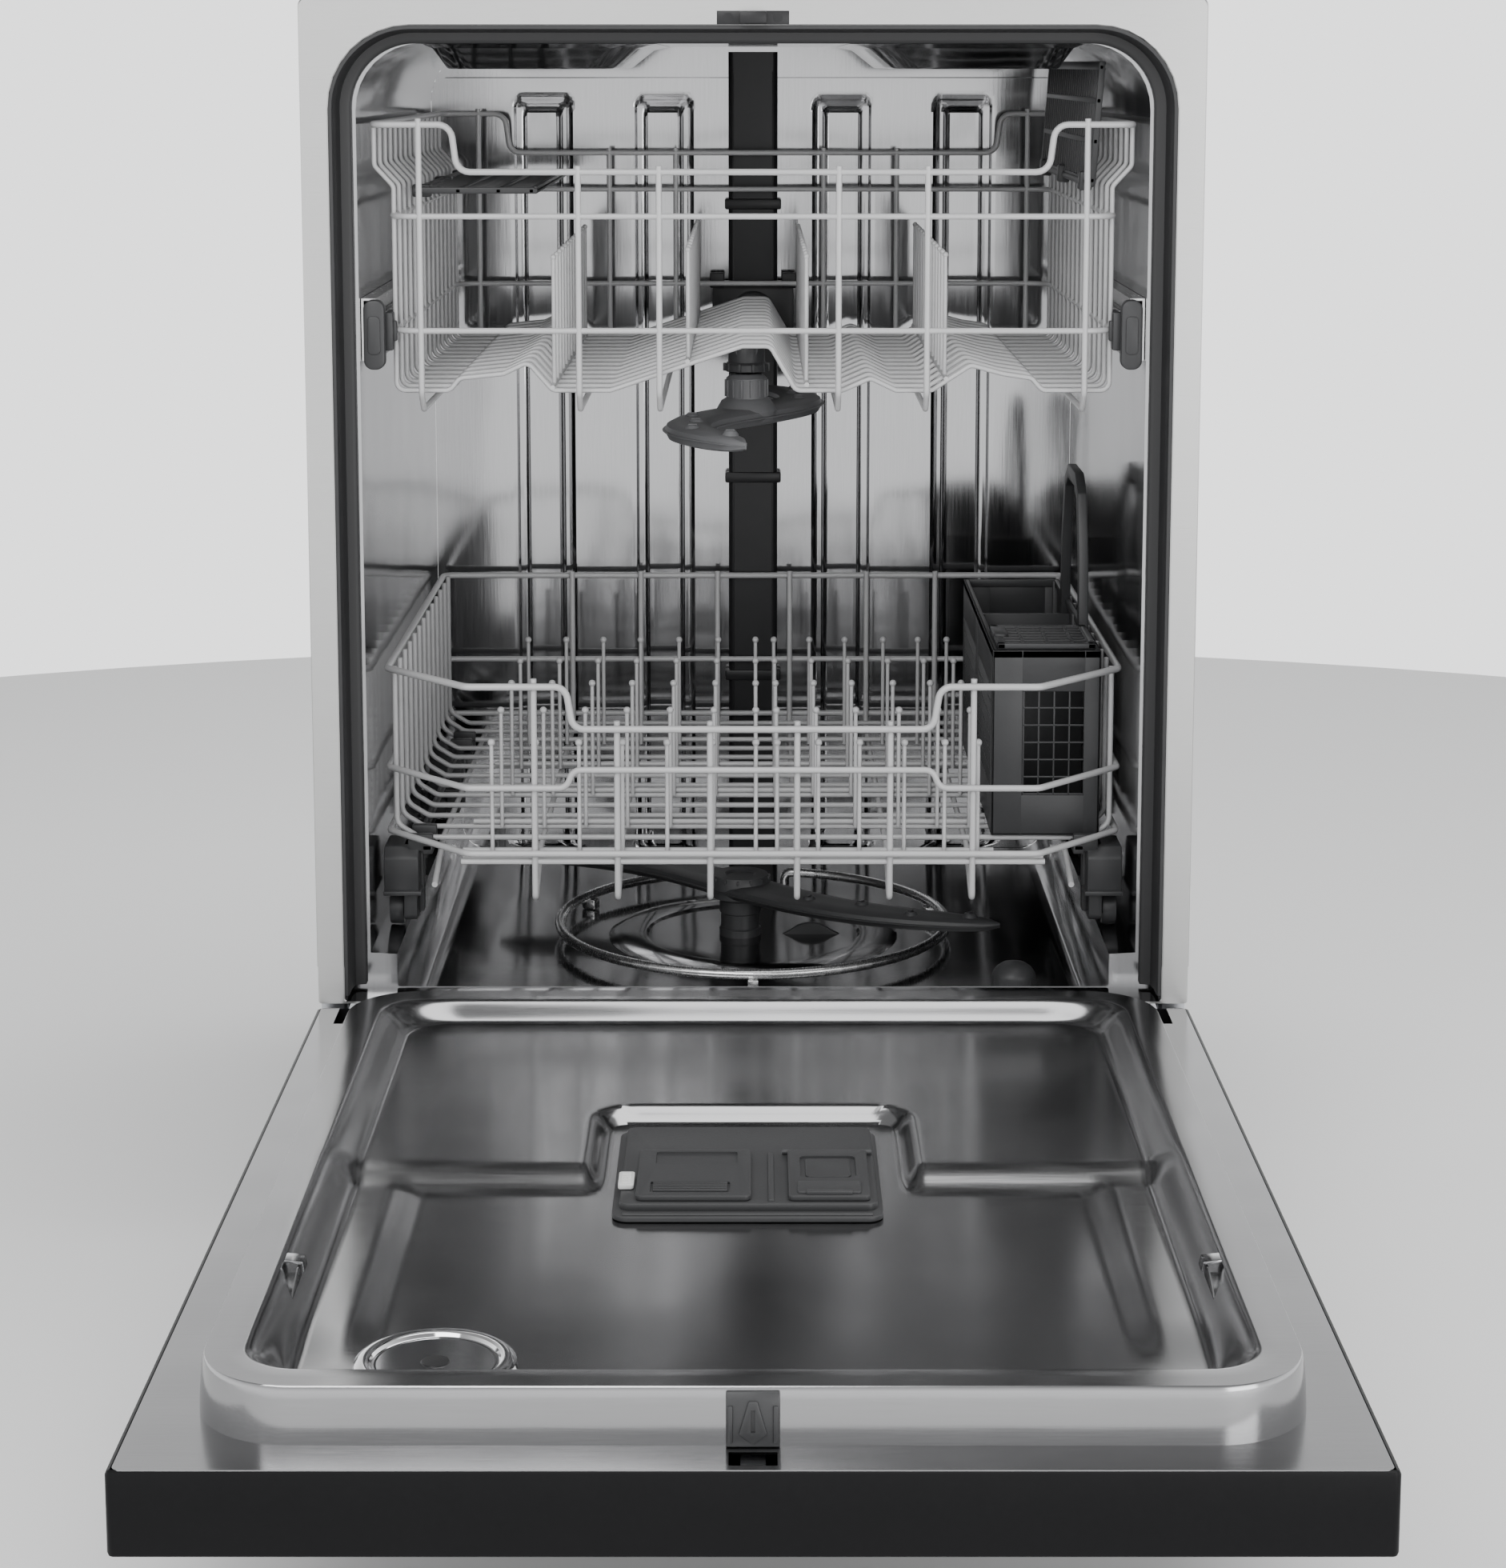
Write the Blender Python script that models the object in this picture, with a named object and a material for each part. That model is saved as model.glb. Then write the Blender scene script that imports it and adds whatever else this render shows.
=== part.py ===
"""A 24 inch built-in dishwasher, standing open with both racks home.

Metres, +Z up, +Y into the tub.  Every length below is measured in the machine's own
deck frame: Y = 0 is the face of the tub's front flange.  The root empty then moves the
whole machine so that its box stands centred on the origin.
"""
import math

import bpy
import bmesh
from mathutils import Matrix, Vector

# ---- Driving dimensions -------------------------------------------------------------
BODY_WIDTH = 0.603          # over the front flange and the door
BODY_HEIGHT = 0.864         # floor to the top of the flange
BODY_DEPTH = 0.565          # front flange face to the back of the base
GAP = 0.0004                # between two pieces that touch
SHEET = 0.0015              # tub steel

HINGE_Y = -0.023            # door hinge, ahead of the flange face
HINGE_Z = 0.152
DOOR_IN = 0.022             # inner door face, above the hinge when open
DOOR_OUT = 0.021            # outer door face, below the hinge when open
DOOR_HEEL = 0.020           # door past the hinge, towards the body
DOOR_SKIN = 0.0012
RIM_HEIGHT = 0.0285         # the liner's raised rim above its flange
RIM_WIDTH = 0.019           # flat top of the rim, a track for the lower wheels
TRAY_DROP = 0.0205          # rim top down to the tray

TUB_INSET = 0.033           # flange edge to the tub wall, above the wheel ledge
MOUTH_INSET = 0.0185        # flange edge to the seal's channel, at the sides and the top
CEILING_DROP = 0.030        # top of the flange to the tub's ceiling
BACK_SPACE = 0.020          # tub's back wall to the back of the base
LEDGE_WIDTH = 0.0185        # wheel ledge pressed into each side wall
TUB_FLOOR = 0.150
SILL_Z = 0.178
SILL_RUN = 0.036
MOUTH_DEPTH = 0.034         # depth of the seal's channel behind the flange
CORNER = 0.045              # radius of the tub's corners
ARC_STEPS = 4

BASE_FLOOR = 0.024
BASE_TOP = 0.147
BASE_FRONT = 0.050
BASE_WALL = 0.002
FOOT_RADIUS = 0.018
FOOT_PAD = 0.008
FOOT_STEM = 0.005

SUMP_Y = 0.270
SUMP_RADIUS = 0.080
SUMP_DEPTH = 0.085
FILTER_RADIUS = 0.027
FILTER_X = 0.045
COLUMN_RADIUS = 0.016
LOWER_ARM_REACH = 0.225
LOWER_ARM_Z = 0.182
HEATER_RADIUS = 0.150
HEATER_TUBE = 0.004

WIRE = 0.0022               # radius of the rack wire
RACK_FRONT = 0.0365         # rack front at home, behind the closed door's rim
UPPER_BACK_SPACE = 0.0285   # upper rack's back to the tub's back wall
UPPER_TOP_SIDE = 0.010      # upper rack's top rail to the tub wall
UPPER_SIDE = 0.023          # upper rack's body to the tub wall
UPPER_DROP = 0.0545         # tub ceiling to the upper rack's top rail
UPPER_DIP = 0.032           # heights below the upper rack's top rail
UPPER_MID = 0.062
UPPER_LOW = 0.140
UPPER_FLOOR = 0.182
UPPER_KNEE = 0.0535         # top rail's end to where its front steps down
UPPER_POST_X = 0.119
RAIL_DROP = 0.1395
RAIL_HEIGHT = 0.0228
RAIL_LIP = 0.010
RAIL_START = 0.006
RAIL_BACK_SPACE = 0.0075
SHELF_REACH = 0.088
SHELF_THICK = 0.004
SHELF_SIDE = 0.009          # shelf pivot to the rack's side wires
SHELF_DROP = 0.0445
SHELF_LEAN = math.radians(4)
MIDDLE_ARM_REACH = 0.195
MIDDLE_ARM_DROP = 0.0495    # rack floor to the arm under it
ARM_X = -0.005

LOWER_BACK_SPACE = 0.0165
LOWER_SIDE = 0.0065
LOWER_FRONT_INSET = 0.062   # half width lost at the chamfered front
LOWER_CHAMFER = 0.069
LOWER_TOP_Z = 0.3915
LOWER_DIP_Z = 0.3615
LOWER_MID_Z = 0.3195
LOWER_MID_RISE_Z = 0.3325
LOWER_FLOOR_Z = 0.2655
DIP_HALF = 0.128
WHEEL_RADIUS = 0.012
WHEEL_WIDTH = 0.010
WHEEL_FRONT = 0.075         # wheel centres from the rack's front and back
WHEEL_REAR = 0.093
AXLE_RADIUS = 0.003
AXLE_PLAY = 0.0003

BASKET_WIDTH = 0.078
BASKET_SIDE = 0.012         # basket to the lower rack's side
BASKET_Y = (0.110, 0.430)
BASKET_HEIGHT = 0.136
BASKET_WALL = 0.0025
BASKET_HANDLE = 0.112
BASKET_LID = 0.004

DISPENSER_X = (-0.079, 0.073)
DISPENSER_Y = (-0.4375, -0.293)
DISPENSER_TOP = 0.0075      # above the tray
CUP_X = (-0.060, -0.007)
CUP_Y = (-0.418, -0.352)
CUP_DEPTH = 0.030
LID_THICK = 0.003
LID_MARGIN = 0.006
CAP_X = (0.020, 0.066)
VENT_AT = (-0.157, -0.636)
VENT_RADIUS = 0.041

POCKET_HALF = 0.070         # pocket handle in the door's outer face
POCKET_FROM_TOP = 0.038
POCKET_HEIGHT = 0.045
POCKET_DEPTH = 0.024
BUTTON_X = 0.180
BUTTON_FROM_TOP = 0.050
BUTTON_RADIUS = 0.006
STRIKE_DROP = 0.0135        # top of the flange to the middle of the strike
HINGE_ARM = 0.152           # hinge pin to the far end of the door's arm
HINGE_PIN = 0.004

# ---- Derived places -----------------------------------------------------------------
HALF = BODY_WIDTH / 2
TUB_HALF = HALF - TUB_INSET
TUB_CEILING = BODY_HEIGHT - CEILING_DROP
TUB_BACK = BODY_DEPTH - BACK_SPACE
MOUTH_HALF = HALF - MOUTH_INSET
MOUTH_TOP = BODY_HEIGHT - MOUTH_INSET
DOOR_LENGTH = BODY_HEIGHT - HINGE_Z
DOOR_FAR = HINGE_Y - DOOR_LENGTH
DOOR_NEAR = HINGE_Y + DOOR_HEEL
DOOR_FACE = HINGE_Z + DOOR_IN
DOOR_UNDER = HINGE_Z - DOOR_OUT
RIM_TOP = DOOR_FACE + RIM_HEIGHT
TRAY_Z = RIM_TOP - TRAY_DROP
RIM_OUTER = TUB_HALF + 0.001
RIM_FAR = DOOR_FAR + 0.028
RIM_NEAR = HINGE_Y - (SILL_Z - HINGE_Z) - 0.007
LEDGE_HALF = TUB_HALF - LEDGE_WIDTH
WHEEL_Z = RIM_TOP + GAP + WHEEL_RADIUS
UPPER_BACK = TUB_BACK - UPPER_BACK_SPACE
UPPER_TOP_HALF = TUB_HALF - UPPER_TOP_SIDE
UPPER_HALF = TUB_HALF - UPPER_SIDE
UPPER_TOP_Z = TUB_CEILING - UPPER_DROP
UPPER_DIP_Z = UPPER_TOP_Z - UPPER_DIP
UPPER_MID_Z = UPPER_TOP_Z - UPPER_MID
UPPER_LOW_Z = UPPER_TOP_Z - UPPER_LOW
UPPER_FLOOR_Z = UPPER_TOP_Z - UPPER_FLOOR
RAIL_Z = UPPER_TOP_Z - RAIL_DROP
SHELF_PIVOT_X = UPPER_HALF - SHELF_SIDE
SHELF_PIVOT_Z = UPPER_TOP_Z - SHELF_DROP
MIDDLE_ARM_Z = UPPER_FLOOR_Z - MIDDLE_ARM_DROP
LOWER_BACK = TUB_BACK - LOWER_BACK_SPACE
LOWER_HALF = TUB_HALF - LOWER_SIDE
LOWER_FRONT_HALF = LOWER_HALF - LOWER_FRONT_INSET
BASKET_X = (LOWER_HALF - BASKET_SIDE - BASKET_WIDTH, LOWER_HALF - BASKET_SIDE)
BASKET_Z = LOWER_FLOOR_Z + WIRE + GAP
ARM_Y = (RACK_FRONT + UPPER_BACK) / 2
STRIKE_Z = BODY_HEIGHT - STRIKE_DROP
STRIKE_Y = HINGE_Y - (STRIKE_Z - HINGE_Z)
POCKET_Y = (DOOR_FAR + POCKET_FROM_TOP, DOOR_FAR + POCKET_FROM_TOP + POCKET_HEIGHT)
CENTRE_Y = (DOOR_FAR + BODY_DEPTH) / 2
SIDES = (("left", -1), ("right", 1))

# ---- Scene and materials ------------------------------------------------------------
for old in list(bpy.data.objects):
    bpy.data.objects.remove(old)

root = bpy.data.objects.new("dishwasher", None)
bpy.context.scene.collection.objects.link(root)
root.location = (0, -CENTRE_Y, 0)

COLOURS = {
    "steel": ((0.60, 0.60, 0.60, 1), 1.0, 0.25),
    "black": ((0.016, 0.016, 0.017, 1), 0.0, 0.35),
    "grey": ((0.06, 0.06, 0.065, 1), 0.0, 0.45),
    "wire": ((0.55, 0.55, 0.55, 1), 0.0, 0.40),
    "rubber": ((0.02, 0.02, 0.02, 1), 0.0, 0.70),
    "zinc": ((0.50, 0.51, 0.53, 1), 1.0, 0.45),
    "felt": ((0.05, 0.05, 0.05, 1), 0.0, 0.90),
    "white": ((0.75, 0.75, 0.75, 1), 0.0, 0.40),
}


def material(name, finish):
    """A Principled material of one of the machine's finishes."""
    colour, metallic, roughness = COLOURS[finish]
    mat = bpy.data.materials.new(name)
    mat.use_nodes = True
    shader = mat.node_tree.nodes["Principled BSDF"]
    shader.inputs["Base Color"].default_value = colour
    shader.inputs["Metallic"].default_value = metallic
    shader.inputs["Roughness"].default_value = roughness
    return mat


def link(name, mesh, finish, pivot=(0, 0, 0)):
    """Put a mesh in the scene with its origin on a pivot given in the deck frame."""
    mesh.transform(Matrix.Translation(-Vector(pivot)))
    mesh.materials.append(material(name, finish))
    part = bpy.data.objects.new(name, mesh)
    part.parent = root
    part.location = pivot
    bpy.context.scene.collection.objects.link(part)
    return part


def to_mesh(name, bm):
    bmesh.ops.recalc_face_normals(bm, faces=bm.faces)
    mesh = bpy.data.meshes.new(name)
    bm.to_mesh(mesh)
    bm.free()
    return mesh


# ---- Shapes -------------------------------------------------------------------------
def loft_mesh(name, loops):
    """Join closed loops of equal length in order, and cap the first and the last."""
    bm = bmesh.new()
    rings = [[bm.verts.new(p) for p in loop] for loop in loops]
    for a, b in zip(rings, rings[1:]):
        for i in range(len(a)):
            j = (i + 1) % len(a)
            bm.faces.new((a[i], a[j], b[j], b[i]))
    bm.faces.new(rings[0])
    bm.faces.new(rings[-1])
    return to_mesh(name, bm)


def prism_mesh(name, outline, axis, low, high):
    """Extrude a closed 2-D outline along an axis: its points are the other two axes."""
    def place(point, depth):
        a, b = point
        return {"X": (depth, a, b), "Y": (a, depth, b), "Z": (a, b, depth)}[axis]
    return loft_mesh(name, [[place(p, low) for p in outline],
                            [place(p, high) for p in outline]])


def box_mesh(name, x, y, z):
    return prism_mesh(name, [(x[0], y[0]), (x[1], y[0]), (x[1], y[1]), (x[0], y[1])],
                      "Z", z[0], z[1])


def turned_mesh(name, profile, centre, axis="Z", steps=20):
    """Turn (radius, height) points round an axis; radius 0 at both ends closes it."""
    loops = []
    for radius, height in profile:
        loop = []
        for i in range(steps):
            a = 2 * math.pi * i / steps
            u, v = max(radius, 1e-5) * math.cos(a), max(radius, 1e-5) * math.sin(a)
            point = (u, v, height) if axis == "Z" else (height, u, v)
            loop.append(Vector(centre) + Vector(point))
        loops.append(loop)
    return loft_mesh(name, loops)


def cylinder_mesh(name, radius, low, high, centre, axis="Z", steps=20):
    return turned_mesh(name, [(radius, low), (radius, high)], centre, axis, steps)


def arc(cx, cy, radius, start, steps=ARC_STEPS):
    """Points on a quarter circle that starts at an angle in degrees."""
    points = []
    for i in range(steps + 1):
        a = math.radians(start + 90 * i / steps)
        points.append((cx + radius * math.cos(a), cy + radius * math.sin(a)))
    return points


def rounded(x, y, radius):
    """A rounded rectangle as 2-D points, anticlockwise."""
    x0, x1 = x
    y0, y1 = y
    return (arc(x1 - radius, y1 - radius, radius, 0) + arc(x0 + radius, y1 - radius, radius, 90)
            + arc(x0 + radius, y0 + radius, radius, 180) + arc(x1 - radius, y0 + radius, radius, 270))


def flat_loop(half, y0, y1, radius, z):
    """A rounded rectangle lying flat at height z."""
    return [(a, b, z) for a, b in rounded((-half, half), (y0, y1), radius)]


def cut(part, cutter_mesh, operation="DIFFERENCE"):
    """Boolean with a helper that the build leaves out."""
    cutter = bpy.data.objects.new(part.name + "_tool", cutter_mesh)
    cutter.parent = root
    cutter.hide_render = True
    cutter.display_type = "WIRE"
    bpy.context.scene.collection.objects.link(cutter)
    step = part.modifiers.new(operation.title(), "BOOLEAN")
    step.operation = operation
    step.solver = "EXACT"
    step.object = cutter
    return part


def smooth(part, angle=40):
    part.data.shade_smooth()
    part.data.set_sharp_from_angle(angle=math.radians(angle))
    return part


def lattice(name, paths, finish="wire", radius=WIRE):
    """One welded wire body: the Skin modifier thickens a net of straight wires."""
    bm = bmesh.new()
    knots = {}

    def knot(point):
        key = tuple(round(c, 5) for c in point)
        if key not in knots:
            knots[key] = bm.verts.new(key)
        return knots[key]

    for path in paths:
        for a, b in zip(path, path[1:]):
            ends = (knot(a), knot(b))
            if bm.edges.get(ends) is None:
                bm.edges.new(ends)
    mesh = bpy.data.meshes.new(name)
    bm.to_mesh(mesh)
    bm.free()
    part = link(name, mesh, finish)
    skin = part.modifiers.new("Wire", "SKIN")
    skin.branch_smoothing = 0
    for i, vertex in enumerate(mesh.skin_vertices[0].data):
        vertex.radius = (radius, radius)
        vertex.use_root = i == 0
    return part


def spread(low, high, count):
    return [low + (high - low) * i / (count - 1) for i in range(count)]


def mirrored(pair, side):
    """An X span on the +X side, taken to the given side."""
    return tuple(sorted(side * v for v in pair))


# ---- Tub ----------------------------------------------------------------------------
def tub_loop(half, floor, ceiling, y, radius, ledge, foot):
    """A tub section: rounded top, a wheel ledge of the given width, rounded bottom."""
    low = half - ledge
    right = arc(half - radius, ceiling - radius, radius, 0)
    left = arc(-half + radius, ceiling - radius, radius, 90)
    points = right + left
    ledge_z = max(RIM_TOP, floor + foot + 0.004)
    points += [(-half, ledge_z), (-low, ledge_z - 0.001)]
    points += arc(-low + foot, floor + foot, foot, 180)
    points += arc(low - foot, floor + foot, foot, 270)
    points += [(low, ledge_z - 0.001), (half, ledge_z)]
    return [(a, y, b) for a, b in points]


def make_tub_shell():
    t = SHEET
    back_in = MOUTH_DEPTH + SILL_RUN
    foot = 0.020
    lip = 0.002
    loops = [
        tub_loop(TUB_HALF, TUB_FLOOR, TUB_CEILING, TUB_BACK, CORNER, LEDGE_WIDTH, foot),
        tub_loop(TUB_HALF, TUB_FLOOR, TUB_CEILING, back_in, CORNER, LEDGE_WIDTH, foot),
        tub_loop(TUB_HALF, SILL_Z, TUB_CEILING, MOUTH_DEPTH, CORNER, LEDGE_WIDTH, lip),
        tub_loop(MOUTH_HALF, SILL_Z - 0.0004, MOUTH_TOP, MOUTH_DEPTH, CORNER + 0.010, 0.0002, lip),
        tub_loop(MOUTH_HALF, SILL_Z - 0.0006, MOUTH_TOP, 0, CORNER + 0.010, 0.0002, lip),
        tub_loop(HALF, SILL_Z - 0.0024, BODY_HEIGHT, 0, 0.006, 0.0005, lip),
        tub_loop(HALF, SILL_Z - 0.0024, BODY_HEIGHT, t, 0.006, 0.0005, lip),
        tub_loop(MOUTH_HALF + t, SILL_Z - 0.0022, MOUTH_TOP + t, t, CORNER + 0.0115, 0.0005, lip),
        tub_loop(MOUTH_HALF + t, SILL_Z - 0.0021, MOUTH_TOP + t, MOUTH_DEPTH + t,
                 CORNER + 0.0115, 0.0005, lip),
        tub_loop(TUB_HALF + t, SILL_Z - 0.0018, TUB_CEILING + t, MOUTH_DEPTH + t,
                 CORNER + t, LEDGE_WIDTH, lip),
        tub_loop(TUB_HALF + t, TUB_FLOOR - t, TUB_CEILING + t, back_in + t,
                 CORNER + t, LEDGE_WIDTH, foot + t),
        tub_loop(TUB_HALF + t, TUB_FLOOR - t, TUB_CEILING + t, TUB_BACK + t,
                 CORNER + t, LEDGE_WIDTH, foot + t),
    ]
    tub = smooth(link("tub_shell", loft_mesh("tub_shell", loops), "steel"))
    hole = cylinder_mesh("sump_hole", SUMP_RADIUS + GAP, TUB_FLOOR - 0.02, TUB_FLOOR + 0.02,
                         (0, SUMP_Y, 0), steps=24)
    return cut(tub, hole)


def arch(half, top, bottom, radius, thickness):
    """An upside-down U in X and Z, of one thickness."""
    outer = [(half, bottom)] + arc(half - radius, top - radius, radius, 0)
    outer += arc(-half + radius, top - radius, radius, 90) + [(-half, bottom)]
    h, r = half - thickness, radius - thickness
    inner = [(-h, bottom)] + arc(-h + r, top - thickness - r, r, 90)[::-1]
    inner += arc(h - r, top - thickness - r, r, 0)[::-1] + [(h, bottom)]
    return outer + inner


def make_door_gasket():
    inner = 0.0025
    outline = arch(MOUTH_HALF - GAP, MOUTH_TOP - GAP, SILL_Z + 0.003, CORNER + 0.010,
                   MOUTH_HALF - TUB_HALF - inner)
    front = MOUTH_DEPTH - 0.005
    mesh = prism_mesh("door_gasket", outline, "Y", front, MOUTH_DEPTH - GAP)
    return smooth(link("door_gasket", mesh, "rubber"))


def make_sound_blanket():
    thick = 0.010
    half = TUB_HALF + SHEET + GAP + thick
    outline = arch(half, TUB_CEILING + SHEET + GAP + thick, 0.225, CORNER + thick, thick)
    mesh = prism_mesh("sound_blanket", outline, "Y", MOUTH_DEPTH + 0.012, TUB_BACK - 0.004)
    return smooth(link("sound_blanket", mesh, "felt"))


def make_conduit():
    """Flat feed pipe down the back wall, with a nose that docks the upper rack's arm."""
    wall = TUB_BACK - GAP
    mesh = prism_mesh("feed_conduit", rounded((-0.0205, 0.0205), (wall - 0.013, wall), 0.005),
                      "Z", TUB_FLOOR + GAP, TUB_CEILING - 0.004)
    part = smooth(link("feed_conduit", mesh, "black"))
    reach = wall - 0.010
    pipe_z = UPPER_FLOOR_Z + 0.0175
    outline = rounded((-0.017, 0.017), (pipe_z - 0.014, pipe_z + 0.014), 0.006)
    nose = prism_mesh("dock_nose", outline, "Y", UPPER_BACK + 0.004, reach)
    return cut(part, nose, "UNION")


def make_body_frame():
    for name, side in SIDES:
        t = 0.0012
        x = mirrored((MOUTH_HALF + SHEET + GAP, HALF - 0.001), side)
        outer, inner = (x[1], x[0]) if side > 0 else (x[0], x[1])
        s = side
        web = [(outer, 0.010), (outer, 0.034), (inner, 0.034), (inner, 0.034 - t),
               (outer - s * t, 0.034 - t), (outer - s * t, 0.010 + t),
               (inner, 0.010 + t), (inner, 0.010)]
        link("side_post_" + name, prism_mesh("side_post_" + name, web, "Z", 0.020,
                                             BODY_HEIGHT - 0.002), "zinc")
        foot = mirrored((TUB_HALF - 0.0435, TUB_HALF + 0.0015), side)
        lug = [(0.0355, BODY_HEIGHT - 0.0012), (0.0355, BODY_HEIGHT), (0.075, BODY_HEIGHT),
               (0.075, TUB_CEILING + SHEET + 0.012), (0.0738, TUB_CEILING + SHEET + 0.012),
               (0.0738, BODY_HEIGHT - 0.0012)]
        bracket = prism_mesh("worktop_bracket_" + name, lug, "X", foot[0], foot[1])
        link("worktop_bracket_" + name, bracket, "zinc")


def make_base():
    inner, outer = HALF - 0.006 - BASE_WALL, HALF - 0.006
    front, back = BASE_FRONT, BODY_DEPTH
    w = BASE_WALL
    loops = [
        flat_loop(inner, front + w, back - w, 0.012, BASE_FLOOR + w),
        flat_loop(inner, front + w, back - w, 0.012, BASE_TOP),
        flat_loop(outer, front, back, 0.014, BASE_TOP),
        flat_loop(outer, front, back, 0.014, BASE_FLOOR),
    ]
    pan = link("base_pan", loft_mesh("base_pan", loops), "black")
    for x, y in feet_places():
        cut(pan, cylinder_mesh("foot_hole", FOOT_STEM + GAP, BASE_FLOOR - 0.01,
                               BASE_FLOOR + 0.01, (x, y, 0), steps=12))
    kick = box_mesh("toe_kick", (-HALF + 0.004, HALF - 0.004),
                    (front - 0.003, front - GAP), (0.006, BASE_TOP))
    link("toe_kick", kick, "black")


def feet_places():
    x = HALF - 0.040
    return [(s * x, y) for y in (BASE_FRONT + 0.030, BODY_DEPTH - 0.040) for s in (-1, 1)]


def make_feet():
    names = ("front_left", "front_right", "rear_left", "rear_right")
    for name, (x, y) in zip(names, feet_places()):
        top = BASE_FLOOR + 0.022
        collar = BASE_FLOOR - GAP
        profile = [(FOOT_RADIUS, 0), (FOOT_RADIUS, FOOT_PAD * 0.6), (0.010, FOOT_PAD),
                   (0.010, collar), (FOOT_STEM, collar), (FOOT_STEM, top)]
        mesh = turned_mesh("foot_" + name, profile, (x, y, 0), steps=12)
        smooth(link("foot_" + name, mesh, "black", (x, y, 0)))


# ---- Wash system --------------------------------------------------------------------
def make_sump():
    r, w = SUMP_RADIUS, 0.002
    top, low = TUB_FLOOR - GAP, TUB_FLOOR - SUMP_DEPTH
    profile = [(0, low + w), (r * 0.55, low + w), (r - w, low + 0.040), (r - w, top),
               (r, top), (r, low + 0.038), (r * 0.58, low), (0, low)]
    smooth(link("sump", turned_mesh("sump", profile, (0, SUMP_Y, 0), steps=24), "grey"))

    plate_z = TUB_FLOOR - 0.012
    plate = turned_mesh("fine_filter", [(r - w - GAP, plate_z), (r - w - GAP, plate_z + 0.002)],
                        (0, SUMP_Y, 0), steps=24)
    part = link("fine_filter", plate, "steel")
    cut(part, cylinder_mesh("filter_hole", FILTER_RADIUS + GAP, plate_z - 0.01, plate_z + 0.01,
                            (FILTER_X, SUMP_Y, 0), steps=20))
    cut(part, cylinder_mesh("column_hole", COLUMN_RADIUS + GAP, plate_z - 0.01, plate_z + 0.01,
                            (-0.010, SUMP_Y, 0), steps=20))

    column = [(COLUMN_RADIUS, low + w + GAP), (COLUMN_RADIUS, LOWER_ARM_Z - 0.002),
              (0.007, LOWER_ARM_Z - 0.002), (0.007, LOWER_ARM_Z + 0.008)]
    mesh = turned_mesh("arm_column", column, (-0.010, SUMP_Y, 0), steps=16)
    smooth(link("arm_column", mesh, "grey"))

    x = FILTER_X
    cup_low = TUB_FLOOR - 0.050
    rr = FILTER_RADIUS
    cup = [(0, cup_low + w), (rr - w, cup_low + w), (rr - w, TUB_FLOOR - 0.002),
           (rr, TUB_FLOOR - 0.002), (rr, cup_low), (0, cup_low)]
    mesh = turned_mesh("coarse_filter", cup, (x, SUMP_Y, 0), steps=20)
    part = smooth(link("coarse_filter", mesh, "grey", (x, SUMP_Y, TUB_FLOOR)))
    grip = box_mesh("filter_grip", (x - rr + 0.001, x + rr - 0.001),
                    (SUMP_Y - 0.003, SUMP_Y + 0.003), (TUB_FLOOR - 0.008, TUB_FLOOR + 0.010))
    cut(part, grip, "UNION")


def s_arm(reach, half_width, bend, steps=8):
    """Outline of an S-shaped arm along Y, about the origin."""
    left, right = [], []
    for i in range(steps + 1):
        t = -1 + 2 * i / steps
        w = half_width * (1 - 0.35 * abs(t))
        x = bend * math.sin(math.pi * t)
        left.append((x - w, reach * t))
        right.append((x + w, reach * t))
    return right + left[::-1]


def make_spray_arm(name, reach, half_width, bend, x, y, low, thick, bore, hub, turn):
    """A flat S arm with a hub; a hub with a bore sits over a bearing post."""
    outline = []
    for u, v in s_arm(reach, half_width, bend):
        a, b = math.cos(turn), math.sin(turn)
        outline.append((x + u * a - v * b, y + u * b + v * a))
    mesh = prism_mesh(name, outline, "Z", low, low + thick)
    part = smooth(link(name, mesh, "grey", (x, y, low)))
    cut(part, cylinder_mesh("hub", hub[0], hub[1], hub[2], (x, y, 0), steps=16), "UNION")
    if bore:
        cut(part, cylinder_mesh("bore", bore, low - 0.01, low + 0.009, (x, y, 0), steps=16))
    return part


def make_arms():
    low = LOWER_ARM_Z
    make_spray_arm("lower_spray_arm", LOWER_ARM_REACH, 0.026, 0.022, -0.010, SUMP_Y, low, 0.012,
                   0.007 + GAP, (0.024, low - 0.001, low + 0.018), math.radians(60))
    low = MIDDLE_ARM_Z
    make_spray_arm("middle_spray_arm", MIDDLE_ARM_REACH, 0.024, 0.042, ARM_X, ARM_Y, low, 0.014,
                   0, (0.016, low + 0.002, low + 0.040), 0)
    r = 0.009
    z = UPPER_FLOOR_Z + 0.009
    pipe = cylinder_mesh("middle_feed_tube", r, 0, UPPER_BACK + 0.002 - ARM_Y, (0, 0, 0), steps=12)
    pipe.transform(Matrix.Translation((ARM_X, ARM_Y, z)) @ Matrix.Rotation(-math.pi / 2, 4, "X"))
    part = smooth(link("middle_feed_tube", pipe, "grey"))
    socket = [(0.0165, MIDDLE_ARM_Z + 0.0405), (0.0165, z + 0.004), (0.010, z + 0.010)]
    cut(part, turned_mesh("socket", socket, (ARM_X, ARM_Y, 0), steps=16), "UNION")


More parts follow.
